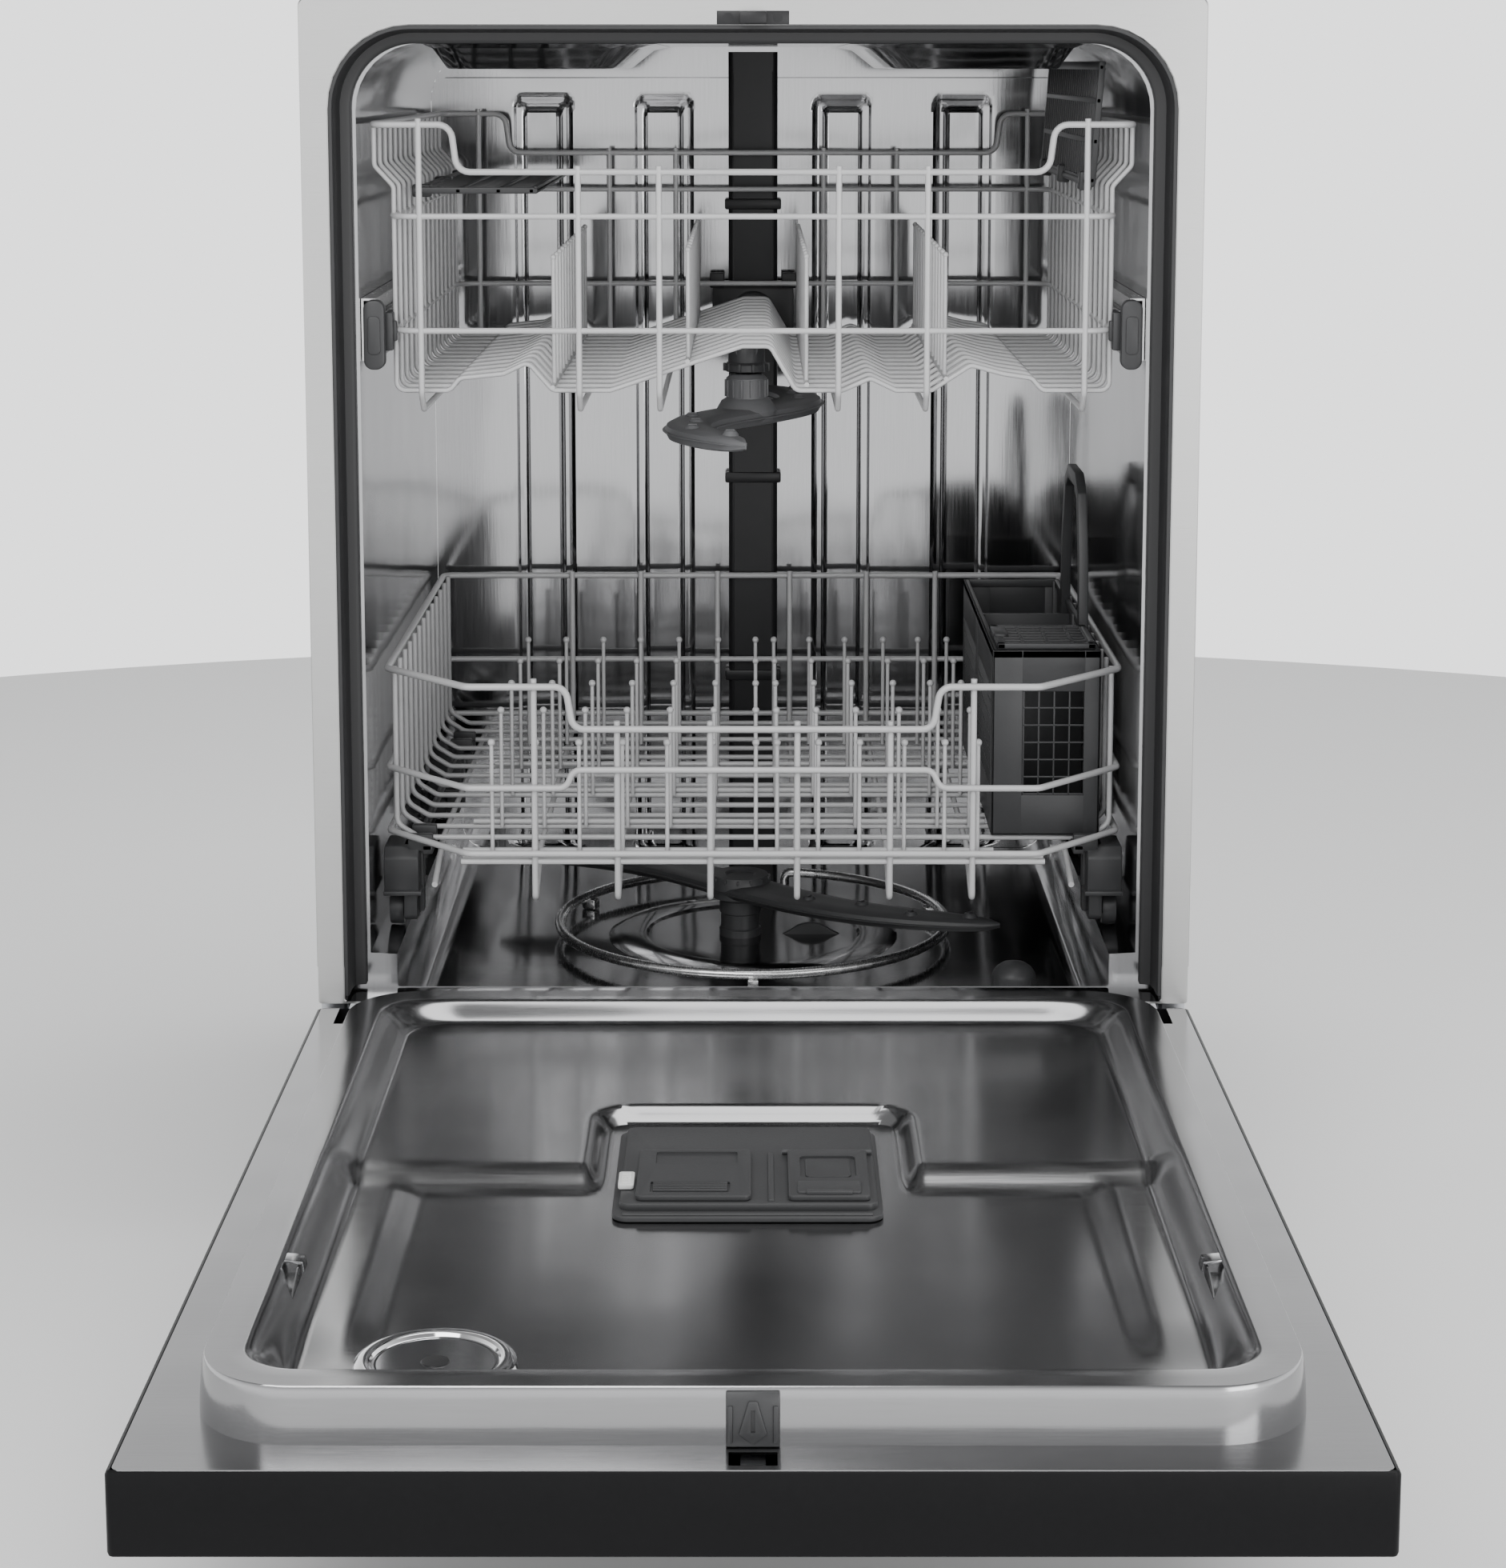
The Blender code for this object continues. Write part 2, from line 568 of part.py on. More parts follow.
def make_base_internals():
    z = BASE_FLOOR + BASE_WALL + 0.055
    x0 = -SUMP_RADIUS - 0.012
    pump = [(0.018, x0), (0.038, x0 - 0.010), (0.038, x0 - 0.050), (0.030, x0 - 0.055),
            (0.030, x0 - 0.120)]
    mesh = turned_mesh("circulation_pump", pump, (0, SUMP_Y, z), "X", 16)
    smooth(link("circulation_pump", mesh, "grey"))
    x1 = SUMP_RADIUS + 0.012
    drain = [(0.014, x1), (0.024, x1 + 0.006), (0.024, x1 + 0.035), (0.018, x1 + 0.040),
             (0.018, x1 + 0.080)]
    mesh = turned_mesh("drain_pump", drain, (0, SUMP_Y, z - 0.010), "X", 16)
    smooth(link("drain_pump", mesh, "black"))
    valve = [(0.006, 0.0), (0.012, 0.002), (0.012, 0.022), (0.016, 0.024), (0.016, 0.060)]
    mesh = turned_mesh("inlet_valve", valve, (-0.215, BASE_FRONT + 0.110, z), "X", 12)
    smooth(link("inlet_valve", mesh, "white"))
    for name, side in SIDES:
        spring = [(0.003, 0), (0.008, 0.012), (0.008, 0.150), (0.003, 0.162)]
        x = side * (HALF - 0.020)
        coil = turned_mesh("door_spring_" + name, spring, (0, 0, 0), steps=10)
        coil.transform(Matrix.Translation((x, BASE_FRONT + 0.070, BASE_TOP - 0.030))
                       @ Matrix.Rotation(-math.pi / 2, 4, "X"))
        smooth(link("door_spring_" + name, coil, "zinc"))
    ring = bmesh.new()
    count, sides = 24, 6
    rows = []
    for i in range(count):
        a = 2 * math.pi * i / count
        row = []
        for j in range(sides):
            b = 2 * math.pi * j / sides
            r = HEATER_RADIUS + HEATER_TUBE * math.cos(b)
            row.append(ring.verts.new((r * math.cos(a), SUMP_Y + r * math.sin(a),
                                       TUB_FLOOR + 0.012 + HEATER_TUBE * math.sin(b))))
        rows.append(row)
    for i in range(count):
        a, b = rows[i], rows[(i + 1) % count]
        for j in range(sides):
            k = (j + 1) % sides
            ring.faces.new((a[j], a[k], b[k], b[j]))
    smooth(link("heater_element", to_mesh("heater_element", ring), "steel"))
    fx, fy = 0.190, 0.112
    dome = [(0.016, TUB_FLOOR + GAP), (0.016, TUB_FLOOR + 0.014), (0.011, TUB_FLOOR + 0.021),
            (0.004, TUB_FLOOR + 0.024)]
    mesh = turned_mesh("float_dome", dome, (fx, fy, 0), steps=16)
    smooth(link("float_dome", mesh, "grey", (fx, fy, TUB_FLOOR)))


# ---- Door ---------------------------------------------------------------------------
def make_liner():
    t = DOOR_SKIN
    near, far = RIM_NEAR, RIM_FAR
    edge = 0.0015
    half = HALF - 0.003
    inner = RIM_OUTER - 0.0025 - RIM_WIDTH
    r = 0.050
    w = RIM_WIDTH + 0.0025

    def section(half_x, y0, y1, radius, z):
        return flat_loop(half_x, y0, y1, radius, z)

    loops = [
        section(inner - 0.004, far + w + 0.004, near - w - 0.004, r - 0.024, TRAY_Z),
        section(inner, far + w, near - w, r - 0.020, RIM_TOP),
        section(RIM_OUTER - 0.0025, far + 0.0025, near - 0.0025, r, RIM_TOP),
        section(RIM_OUTER, far, near, r + 0.002, DOOR_FACE),
        section(half, DOOR_FAR + edge, DOOR_NEAR - edge, 0.003, DOOR_FACE),
        section(half, DOOR_FAR + edge, DOOR_NEAR - edge, 0.003, DOOR_FACE - t),
        section(RIM_OUTER - t, far + t, near - t, r + 0.001, DOOR_FACE - t),
        section(RIM_OUTER - 0.0025 - t, far + 0.0025 + t, near - 0.0025 - t, r - t, RIM_TOP - t),
        section(inner + t, far + w - t, near - w + t, r - 0.020 + t, RIM_TOP - t),
        section(inner - 0.004 + t, far + w + 0.004 - t, near - w - 0.004 + t,
                r - 0.024 + t, TRAY_Z - t),
    ]
    liner = smooth(link("door_liner", loft_mesh("door_liner", loops), "steel",
                        (0, HINGE_Y, HINGE_Z)))
    x, y = DISPENSER_X, DISPENSER_Y
    m = 0.009 - GAP
    cut(liner, box_mesh("dispenser_hole", (x[0] + m, x[1] - m), (y[0] + m, y[1] - m),
                        (TRAY_Z - 0.02, TRAY_Z + 0.02)))
    for name, side in SIDES:
        cut(liner, box_mesh("hinge_notch", mirrored((HALF - 0.0250, HALF - 0.0160), side),
                            (HINGE_Y - 0.017, DOOR_NEAR + 0.01), (DOOR_FACE - 0.01, DOOR_FACE + 0.01)))
    cut(liner, box_mesh("strike_slot", (-0.0115, 0.0115), (STRIKE_Y - 0.0070, STRIKE_Y + 0.0070),
                        (DOOR_FACE - 0.01, DOOR_FACE + 0.01)))


def make_outer_panel():
    """Painted skin: a tray with both sides and the top edge folded up, open at the heel."""
    t = DOOR_SKIN
    top = DOOR_FACE - 0.0003
    tray = box_mesh("door_outer_panel", (-HALF, HALF), (DOOR_FAR, DOOR_NEAR), (DOOR_UNDER, top))
    part = link("door_outer_panel", tray, "black", (0, HINGE_Y, HINGE_Z))
    room = box_mesh("door_room", (-HALF + t, HALF - t), (DOOR_FAR + t, DOOR_NEAR + 0.01),
                    (DOOR_UNDER + t, top + 0.01))
    cut(part, room)
    button = cylinder_mesh("button_hole", BUTTON_RADIUS + 0.0005, DOOR_UNDER - 0.01, DOOR_UNDER + 0.01,
                           (BUTTON_X, DOOR_FAR + BUTTON_FROM_TOP, 0), steps=12)
    cut(part, button)
    grip = box_mesh("grip_recess", (-POCKET_HALF, POCKET_HALF), POCKET_Y,
                    (DOOR_UNDER - 0.01, DOOR_UNDER + 0.01))
    cut(part, grip)
    return part


def make_grip_cup():
    """Pocket handle let into the door's outer face near its top edge."""
    t = 0.002
    y0, y1 = POCKET_Y[0] + GAP, POCKET_Y[1] - GAP
    x = POCKET_HALF - GAP

    def rect(inset, z):
        return [(-x + inset, y0 + inset, z), (x - inset, y0 + inset, z),
                (x - inset, y1 - inset, z), (-x + inset, y1 - inset, z)]

    deep = DOOR_UNDER + POCKET_DEPTH
    loops = [rect(t, deep - t), rect(t, DOOR_UNDER), rect(0, DOOR_UNDER), rect(0, deep)]
    link("grip_pocket", loft_mesh("grip_pocket", loops), "black")


def make_power_button():
    """Round button through the door's skin, kept in by a collar behind it."""
    r, collar = BUTTON_RADIUS, BUTTON_RADIUS + 0.003
    behind = DOOR_UNDER + 0.006
    stem = [(r, DOOR_UNDER - 0.0008), (r, behind), (collar, behind), (collar, behind + 0.003)]
    x, y = BUTTON_X, DOOR_FAR + BUTTON_FROM_TOP
    mesh = turned_mesh("power_button", stem, (x, y, 0), steps=12)
    smooth(link("power_button", mesh, "grey", (x, y, DOOR_UNDER)))


def make_dispenser():
    x, y = DISPENSER_X, DISPENSER_Y
    top = TRAY_Z + DISPENSER_TOP
    under = TRAY_Z + GAP
    m = 0.009
    low = top - CUP_DEPTH - 0.002

    def rect(xs, ys, z):
        return [(xs[0], ys[0], z), (xs[1], ys[0], z), (xs[1], ys[1], z), (xs[0], ys[1], z)]

    loops = [
        rect(CUP_X, CUP_Y, top - CUP_DEPTH),
        rect(CUP_X, CUP_Y, top),
        rect(x, y, top),
        rect(x, y, under),
        rect((x[0] + m, x[1] - m), (y[0] + m, y[1] - m), under),
        rect((x[0] + m, x[1] - m), (y[0] + m, y[1] - m), low),
    ]
    link("dispenser_housing", loft_mesh("dispenser_housing", loops), "grey")
    z = (top + GAP, top + GAP + LID_THICK)
    k = LID_MARGIN
    lid = box_mesh("detergent_lid", (CUP_X[0] - k, CUP_X[1] + k), (CUP_Y[0] - k, CUP_Y[1] + k), z)
    link("detergent_lid", lid, "grey", (0, CUP_Y[1] + k, z[0]))
    hinge = (0, CUP_Y[1] + k, z[0])
    cap = box_mesh("rinse_aid_cap", CAP_X, (CUP_Y[0] - k, hinge[1]), z)
    link("rinse_aid_cap", cap, "grey", hinge)
    key_x = CUP_X[0] - k - 0.0105
    key = box_mesh("lid_release", (key_x, key_x + 0.009), (CUP_Y[0] + 0.012, CUP_Y[0] + 0.034), z)
    link("lid_release", key, "white", (key_x, CUP_Y[0] + 0.023, z[0]))


def make_door_fittings():
    vx, vy = VENT_AT
    z = TRAY_Z + GAP
    vent = [(VENT_RADIUS, z), (VENT_RADIUS, z + 0.003), (VENT_RADIUS - 0.005, z + 0.006),
            (VENT_RADIUS - 0.012, z + 0.004)]
    smooth(link("door_vent", turned_mesh("door_vent", vent, (vx, vy, 0), steps=20), "grey"))

    front, top = RIM_FAR - GAP, RIM_TOP - 0.0005
    outline = [(front, DOOR_FACE + GAP), (front + 0.0022, top), (front - 0.0010, top),
               (front - 0.0038, top - 0.0055), (front - 0.0038, DOOR_FACE + GAP)]
    cover = prism_mesh("latch_cover", outline, "X", -0.0128, 0.0128)
    link("latch_cover", cover, "grey")


def make_latch():
    """Hook inside the door and the strike it catches, screwed to the flange."""
    hook_y = STRIKE_Y + 0.0075
    hook = box_mesh("latch_hook", (-0.006, 0.006), (hook_y, hook_y + 0.0125),
                    (DOOR_FACE - 0.034, DOOR_FACE - 0.006))
    link("latch_hook", hook, "zinc", (0, hook_y, DOOR_FACE - 0.020))
    plate = box_mesh("latch_strike", (-0.024, 0.024), (-0.0007, -0.0002),
                     (STRIKE_Z - 0.0045, STRIKE_Z + 0.0045))
    strike = link("latch_strike", plate, "black")
    tongue = box_mesh("strike_tongue", (-0.009, 0.009), (-0.012, -0.0004),
                      (STRIKE_Z - 0.0040, STRIKE_Z + 0.0040))
    cut(strike, tongue, "UNION")


def round_ended(y, radius, start):
    """A half circle about the hinge, joined to a straight end at y."""
    lower, upper = (HINGE_Z - radius, HINGE_Z + radius)
    ends = [(y, lower), (y, upper)] if y > HINGE_Y else [(y, upper), (y, lower)]
    angles = [math.radians(start + 30 * i) for i in range(7)]
    return ends + [(HINGE_Y + radius * math.cos(a), HINGE_Z + radius * math.sin(a)) for a in angles]


def x_span(low, high, side):
    """An X span given by two distances in from the flange's edge."""
    return mirrored((HALF - low, HALF - high), side)


def make_hinges():
    for name, side in SIDES:
        x = x_span(0.0215, 0.0175, side)
        outline = round_ended(BASE_FRONT - 0.004, 0.012, 90)
        mesh = prism_mesh("hinge_bracket_" + name, outline, "X", x[0], x[1])
        part = link("hinge_bracket_" + name, mesh, "zinc")
        x = x_span(0.0185, 0.0100, side)
        shaft = cylinder_mesh("hinge_pin", HINGE_PIN, x[0], x[1], (0, HINGE_Y, HINGE_Z), "X", 16)
        cut(part, shaft, "UNION")
        x = x_span(0.0145, 0.0115, side)
        outline = round_ended(HINGE_Y - HINGE_ARM, 0.014, -90)
        mesh = prism_mesh("hinge_arm_" + name, outline, "X", x[0], x[1])
        arm = link("hinge_arm_" + name, mesh, "zinc", (0, HINGE_Y, HINGE_Z))
        x = x_span(0.0155, 0.0105, side)
        hole = cylinder_mesh("pin_hole", HINGE_PIN + AXLE_PLAY, x[0], x[1],
                             (0, HINGE_Y, HINGE_Z), "X", 16)
        cut(arm, hole)


# ---- Upper rack ---------------------------------------------------------------------
def upper_floor():
    """Floor wire of the upper rack across X: two wells beside a ridge over the arm."""
    h, z = UPPER_HALF, UPPER_FLOOR_Z
    return [(-h, z), (-0.165, z + 0.011), (-0.138, z), (-0.0985, z), (0, z + 0.0305),
            (0.0295, z), (0.123, z), (0.150, z + 0.017), (h, z)]


def upper_side(side):
    """Side wire from the top rail down to the floor, as (x, z)."""
    return [(side * UPPER_TOP_HALF, UPPER_TOP_Z), (side * UPPER_TOP_HALF, UPPER_DIP_Z + 0.004),
            (side * UPPER_HALF, UPPER_DIP_Z - 0.010), (side * UPPER_HALF, UPPER_MID_Z),
            (side * UPPER_HALF, UPPER_LOW_Z)]


def make_upper_rack():
    rows = spread(RACK_FRONT + WIRE, UPPER_BACK - WIRE, 8)
    section = upper_side(-1) + upper_floor() + upper_side(1)[::-1]
    paths = [[(x, y, z) for x, z in section] for y in rows]
    runs = [p for s in (-1, 1) for p in (upper_side(s)[0], upper_side(s)[3], upper_side(s)[4])]
    runs += [upper_floor()[i] for i in (0, 2, 4, 6, 8)]
    paths += [[(x, y, z) for y in rows] for x, z in runs]
    for y in (rows[0], rows[-1]):
        paths += upper_front(y)
    return lattice("upper_rack", paths)


def upper_front(y):
    """The rails and posts of the front or the back; the top rail steps down in the middle."""
    knee, post = UPPER_TOP_HALF - UPPER_KNEE, UPPER_POST_X
    right = [(post, UPPER_DIP_Z), (knee - 0.008, UPPER_DIP_Z), (knee, UPPER_TOP_Z),
             (UPPER_TOP_HALF, UPPER_TOP_Z)]
    left = [(-x, z) for x, z in right[::-1]]
    paths = [[(x, y, z) for x, z in left + right]]
    for z in (UPPER_MID_Z, UPPER_LOW_Z):
        paths.append([(x, y, z) for x in (-UPPER_HALF, -post, post, UPPER_HALF)])
    for x in (-post, post):
        paths.append([(x, y, z) for z in (UPPER_DIP_Z, UPPER_MID_Z, UPPER_LOW_Z)])
    return paths


def make_rails():
    zc, h, lip = RAIL_Z, RAIL_HEIGHT / 2, RAIL_LIP
    for name, side in SIDES:
        wall = side * (TUB_HALF - GAP)
        back = side * (TUB_HALF - 0.0020)
        open_x = side * (TUB_HALF - 0.0105)
        outline = [(wall, zc - h - lip), (wall, zc + h + lip), (open_x, zc + h + lip),
                   (open_x, zc + h + GAP), (open_x + side * 0.0015, zc + h + GAP),
                   (open_x + side * 0.0015, zc + h + lip - 0.0015),
                   (back, zc + h + lip - 0.0015), (back, zc - h - lip + 0.0015),
                   (open_x + side * 0.0015, zc - h - lip + 0.0015),
                   (open_x + side * 0.0015, zc - h - GAP), (open_x, zc - h - GAP),
                   (open_x, zc - h - lip)]
        mesh = prism_mesh("rail_outer_" + name, outline, "Y", RACK_FRONT + RAIL_START,
                          TUB_BACK - RAIL_BACK_SPACE)
        link("rail_outer_" + name, mesh, "steel")
        x = mirrored((UPPER_HALF + 0.006, TUB_HALF - 0.0030), side)
        bar = box_mesh("rail_inner_" + name, x, (RACK_FRONT, TUB_BACK - RAIL_BACK_SPACE - 0.016),
                       (zc - h, zc + h))
        link("rail_inner_" + name, bar, "steel")


def make_cup_shelves():
    y = (RACK_FRONT + 0.045, UPPER_BACK - 0.060)
    for name, side in SIDES:
        pivot = Vector((side * SHELF_PIVOT_X, 0, SHELF_PIVOT_Z))
        x = mirrored((-SHELF_REACH, 0), side)
        shelf = box_mesh("cup_shelf_" + name, x, y, (-SHELF_THICK, 0))
        if side > 0:
            turn = -(math.pi / 2 + SHELF_LEAN)
            shelf.transform(Matrix.Rotation(-turn, 4, "Y"))
        shelf.transform(Matrix.Translation(pivot))
        link("cup_shelf_" + name, shelf, "grey", pivot)


# ---- Lower rack ---------------------------------------------------------------------
def lower_ring(y_front, half, z_side, z_mid):
    """A rail round the lower rack, chamfered at the front corners, stepped in front."""
    d, s = DIP_HALF, 0.007
    back = LOWER_BACK - WIRE
    front = [(-LOWER_FRONT_HALF, y_front, z_side), (-d - s, y_front, z_side),
             (-d + s, y_front, z_mid), (-0.031, y_front, z_mid), (0.031, y_front, z_mid),
             (d - s, y_front, z_mid), (d + s, y_front, z_side), (LOWER_FRONT_HALF, y_front, z_side)]
    sides_y = lower_rows()[1:]
    right = [(half, y, z_side) for y in sides_y]
    left = [(-half, y, z_side) for y in sides_y[::-1]]
    rear = [(x, back, z_side) for x in (0.096, 0, -0.096)]
    ring = front + right + rear + left
    return ring + ring[:1]


def lower_rows():
    first = RACK_FRONT + WIRE
    return [first] + spread(first + LOWER_CHAMFER, LOWER_BACK - WIRE, 8)


def make_lower_rack():
    rows = lower_rows()
    front, half = rows[0], LOWER_HALF
    paths = [lower_ring(front, half, LOWER_TOP_Z, LOWER_DIP_Z),
             lower_ring(front, half, LOWER_MID_Z, LOWER_MID_RISE_Z)]
    xs = [-half, -0.165, -0.096, 0, 0.096, 0.165, half]
    z = LOWER_FLOOR_Z
    for y in rows[1:]:
        paths.append([(x, y, z) for x in xs])
        for side in (-half, half):
            paths.append([(side, y, LOWER_TOP_Z), (side, y, LOWER_MID_Z), (side, y, z)])
    front_half = LOWER_FRONT_HALF
    base = [(-front_half, front, z), (-0.096, front, z), (-0.031, front, z), (0.031, front, z),
            (0.096, front, z), (front_half, front, z)]
    paths.append([(-half, rows[1], z)] + base + [(half, rows[1], z)])
    for x in (-0.096, 0.096):
        paths.append([(x, y, z) for y in rows])
    for x in (-0.165, 0, 0.165):
        paths.append([(x, y, z) for y in rows[1:]])
    for side in (-half, half):
        paths.append([(side, y, z) for y in rows[1:]])
    for x in (-0.031, 0.031):
        paths.append([(x, front, LOWER_DIP_Z), (x, front, LOWER_MID_RISE_Z), (x, front, z)])
    for x in (-front_half, front_half):
        paths.append([(x, front, LOWER_TOP_Z), (x, front, LOWER_MID_Z), (x, front, z)])
    for x in (-0.096, 0, 0.096):
        paths.append([(x, rows[-1], LOWER_TOP_Z), (x, rows[-1], LOWER_MID_Z), (x, rows[-1], z)])
    return lattice("lower_rack", paths)


def wheel_places():
    return [(RACK_FRONT + WHEEL_FRONT, "front"), (LOWER_BACK - WHEEL_REAR, "rear")]


def make_wheels():
    inner = LEDGE_HALF + 0.0025
    for name, side in SIDES:
        x = mirrored((LEDGE_HALF - 0.0090, inner - 0.0005), side)
        ys = [y for y, _ in wheel_places()]
        top = LOWER_FLOOR_Z - WIRE - GAP
        outline = [(ys[0] - 0.018, top), (ys[0] - 0.018, WHEEL_Z - 0.005), (ys[0] + 0.018, WHEEL_Z - 0.005),
                   (ys[0] + 0.030, top - 0.014), (ys[1] - 0.030, top - 0.014),
                   (ys[1] - 0.018, WHEEL_Z - 0.005), (ys[1] + 0.018, WHEEL_Z - 0.005), (ys[1] + 0.018, top)]
        mesh = prism_mesh("wheel_carrier_" + name, outline, "X", x[0], x[1])
        carrier = link("wheel_carrier_" + name, mesh, "grey")
        for y, place in wheel_places():
            span = mirrored((inner - 0.002, inner + WHEEL_WIDTH - 0.001), side)
            cut(carrier, cylinder_mesh("axle", AXLE_RADIUS, span[0], span[1], (0, y, WHEEL_Z), "X", 12),
                "UNION")
            span = mirrored((inner, inner + WHEEL_WIDTH), side)
            bore = AXLE_RADIUS + AXLE_PLAY
            label = "wheel_" + place + "_" + name
            rim = cylinder_mesh(label, WHEEL_RADIUS, span[0], span[1], (0, y, WHEEL_Z), "X", 20)
            wheel = smooth(link(label, rim, "grey", (0, y, WHEEL_Z)))
            cut(wheel, cylinder_mesh("wheel_bore", bore, span[0] - 0.01, span[1] + 0.01,
                                     (0, y, WHEEL_Z), "X", 12))


def make_basket():
    x, y = BASKET_X, BASKET_Y
    z0 = BASKET_Z
    z1 = z0 + BASKET_HEIGHT
    w = BASKET_WALL

    def rect(inset, z):
        return [(x[0] + inset, y[0] + inset, z), (x[1] - inset, y[0] + inset, z),
                (x[1] - inset, y[1] - inset, z), (x[0] + inset, y[1] - inset, z)]

    loops = [rect(w, z0 + w), rect(w, z1), rect(0, z1), rect(0, z0)]
    part = link("silverware_basket", loft_mesh("silverware_basket", loops), "grey")
    mid = (y[0] + y[1]) / 2
    top = z1 + BASKET_HANDLE
    arch_out = [(mid - 0.075, z1 - 0.02), (mid + 0.075, z1 - 0.02), (mid + 0.060, top - 0.020),
                (mid + 0.040, top), (mid - 0.040, top), (mid - 0.060, top - 0.020)]
    cut(part, prism_mesh("handle", arch_out, "X", x[1] - 0.008, x[1] - 0.0005), "UNION")
    hole = [(mid - 0.052, z1 + 0.012), (mid + 0.052, z1 + 0.012), (mid + 0.044, top - 0.024),
            (mid + 0.034, top - 0.014), (mid - 0.034, top - 0.014), (mid - 0.044, top - 0.024)]
    cut(part, prism_mesh("handle_hole", hole, "X", x[1] - 0.02, x[1] + 0.01))
    lid = box_mesh("basket_lid", (x[0] + w + 0.001, x[1] - w - 0.001), (y[0] + w + 0.001, mid - 0.080),
                   (z1 + GAP, z1 + GAP + BASKET_LID))
    link("basket_lid", lid, "grey", (x[1] - w - 0.001, mid, z1 + GAP))


make_tub_shell()
make_door_gasket()
make_sound_blanket()
make_conduit()
make_body_frame()
make_base()
make_feet()
make_sump()
make_arms()
make_base_internals()
make_liner()
make_outer_panel()
make_grip_cup()
make_power_button()
make_dispenser()
make_door_fittings()
make_latch()
make_hinges()
make_upper_rack()
make_rails()
make_cup_shelves()
make_lower_rack()
make_wheels()
make_basket()
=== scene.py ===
# %% [markdown]
# # A built-in dishwasher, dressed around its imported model
#
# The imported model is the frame: it holds every size and every joint.  This script leaves
# it where it is and builds the surfaces that people look at around it: pressed steel,
# coated wire, moulded plastic and rubber.  Each cell makes one thing and prints what it made.

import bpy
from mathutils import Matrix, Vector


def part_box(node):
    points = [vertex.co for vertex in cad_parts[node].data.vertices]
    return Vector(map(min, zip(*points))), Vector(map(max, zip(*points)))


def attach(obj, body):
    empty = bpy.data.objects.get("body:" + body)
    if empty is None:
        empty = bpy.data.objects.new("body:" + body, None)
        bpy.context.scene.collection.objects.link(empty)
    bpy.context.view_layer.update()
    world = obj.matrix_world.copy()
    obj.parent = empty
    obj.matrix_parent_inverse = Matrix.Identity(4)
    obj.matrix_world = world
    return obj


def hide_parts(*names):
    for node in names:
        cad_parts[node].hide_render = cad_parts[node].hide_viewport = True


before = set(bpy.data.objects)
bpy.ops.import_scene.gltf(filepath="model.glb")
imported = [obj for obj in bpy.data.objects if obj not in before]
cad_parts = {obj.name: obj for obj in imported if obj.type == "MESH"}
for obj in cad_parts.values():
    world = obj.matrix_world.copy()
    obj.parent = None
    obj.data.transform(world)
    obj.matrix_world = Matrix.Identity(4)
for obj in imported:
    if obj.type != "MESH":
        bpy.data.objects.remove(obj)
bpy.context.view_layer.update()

# %% [markdown]
# ## Measuring in the machine's own frame
#
# A fitter measures a dishwasher from the face of its front flange, the deck.  Working from
# that line keeps the numbers short, so every shape below is drawn with Y = 0 on the deck,
# and `piece` moves the finished mesh to its place in the frame just before it is linked.

# %% Deck frame and the sizes the frame gives
from math import cos, hypot, pi, radians, sin, sqrt

import bpy
import bmesh
from mathutils import Matrix, Vector

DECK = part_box("tub_shell")[0].y
GAP = 0.0004


def extent(node):
    """Lowest and highest corner of a node of the frame, measured from the deck."""
    low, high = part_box(node)
    shift = Vector((0, DECK, 0))
    return low - shift, high - shift


TUB_HIGH = extent("tub_shell")[1]
HALF = TUB_HIGH.x
TOP = TUB_HIGH.z
PIPE_LOW, PIPE_HIGH = extent("feed_conduit")
TUB_BACK = PIPE_HIGH.y + GAP
TUB_FLOOR = PIPE_LOW.z - GAP
TUB_CEILING = PIPE_HIGH.z + 0.004
TUB_HALF = extent("rail_outer_right")[1].x + GAP
MOUTH_HALF = extent("door_gasket")[1].x + GAP
MOUTH_TOP = extent("door_gasket")[1].z + GAP
MOUTH_DEPTH = extent("door_gasket")[1].y + GAP
SILL_Z = extent("door_gasket")[0].z - 0.003
LINER_LOW, LINER_HIGH = extent("door_liner")
RIM_TOP = LINER_HIGH.z
TRAY_Z = extent("door_vent")[0].z - GAP
CORNER = 0.045
LEDGE = 0.0185
print(f"tub {2 * TUB_HALF * 1000:.0f} mm wide inside, rim of the door liner at {RIM_TOP * 1000:.1f} mm")

# %% [markdown]
# ## Small shape makers
#
# Most pieces are lofts, prisms, turnings or bevelled blocks.  Each maker returns a plain
# mesh, so that several can be put together into one piece that rides on one body.

# %% Objects in and out of the scene
def linked(name, data):
    """A new object in the scene."""
    thing = bpy.data.objects.new(name, data)
    bpy.context.scene.collection.objects.link(thing)
    return thing


def plain_mesh(thing):
    """The mesh that an object's modifiers make; the object itself goes."""
    graph = bpy.context.evaluated_depsgraph_get()
    plain = bpy.data.meshes.new_from_object(thing.evaluated_get(graph), depsgraph=graph)
    bpy.data.objects.remove(thing)
    return plain


def within(span, low, high):
    """A span drawn in at both ends."""
    return span[0] + low, span[1] - high


def about(middle, half):
    return middle - half, middle + half


print("helpers ready: linked, plain_mesh, within, about")

# %% Lofts, prisms and blocks
ARC_STEPS = 8


def to_mesh(bm, bevel=0.0, segments=2, angle=30):
    """Close a bmesh: rounded edges where they are sharp, and faces pointing out."""
    bmesh.ops.recalc_face_normals(bm, faces=bm.faces)
    if bevel:
        sharp = [e for e in bm.edges if e.is_manifold and e.calc_face_angle() > radians(angle)]
        bmesh.ops.bevel(bm, geom=sharp, offset=bevel, segments=segments, profile=0.5,
                        affect="EDGES", clamp_overlap=True)
    mesh = bpy.data.meshes.new("shape")
    bm.to_mesh(mesh)
    bm.free()
    return mesh


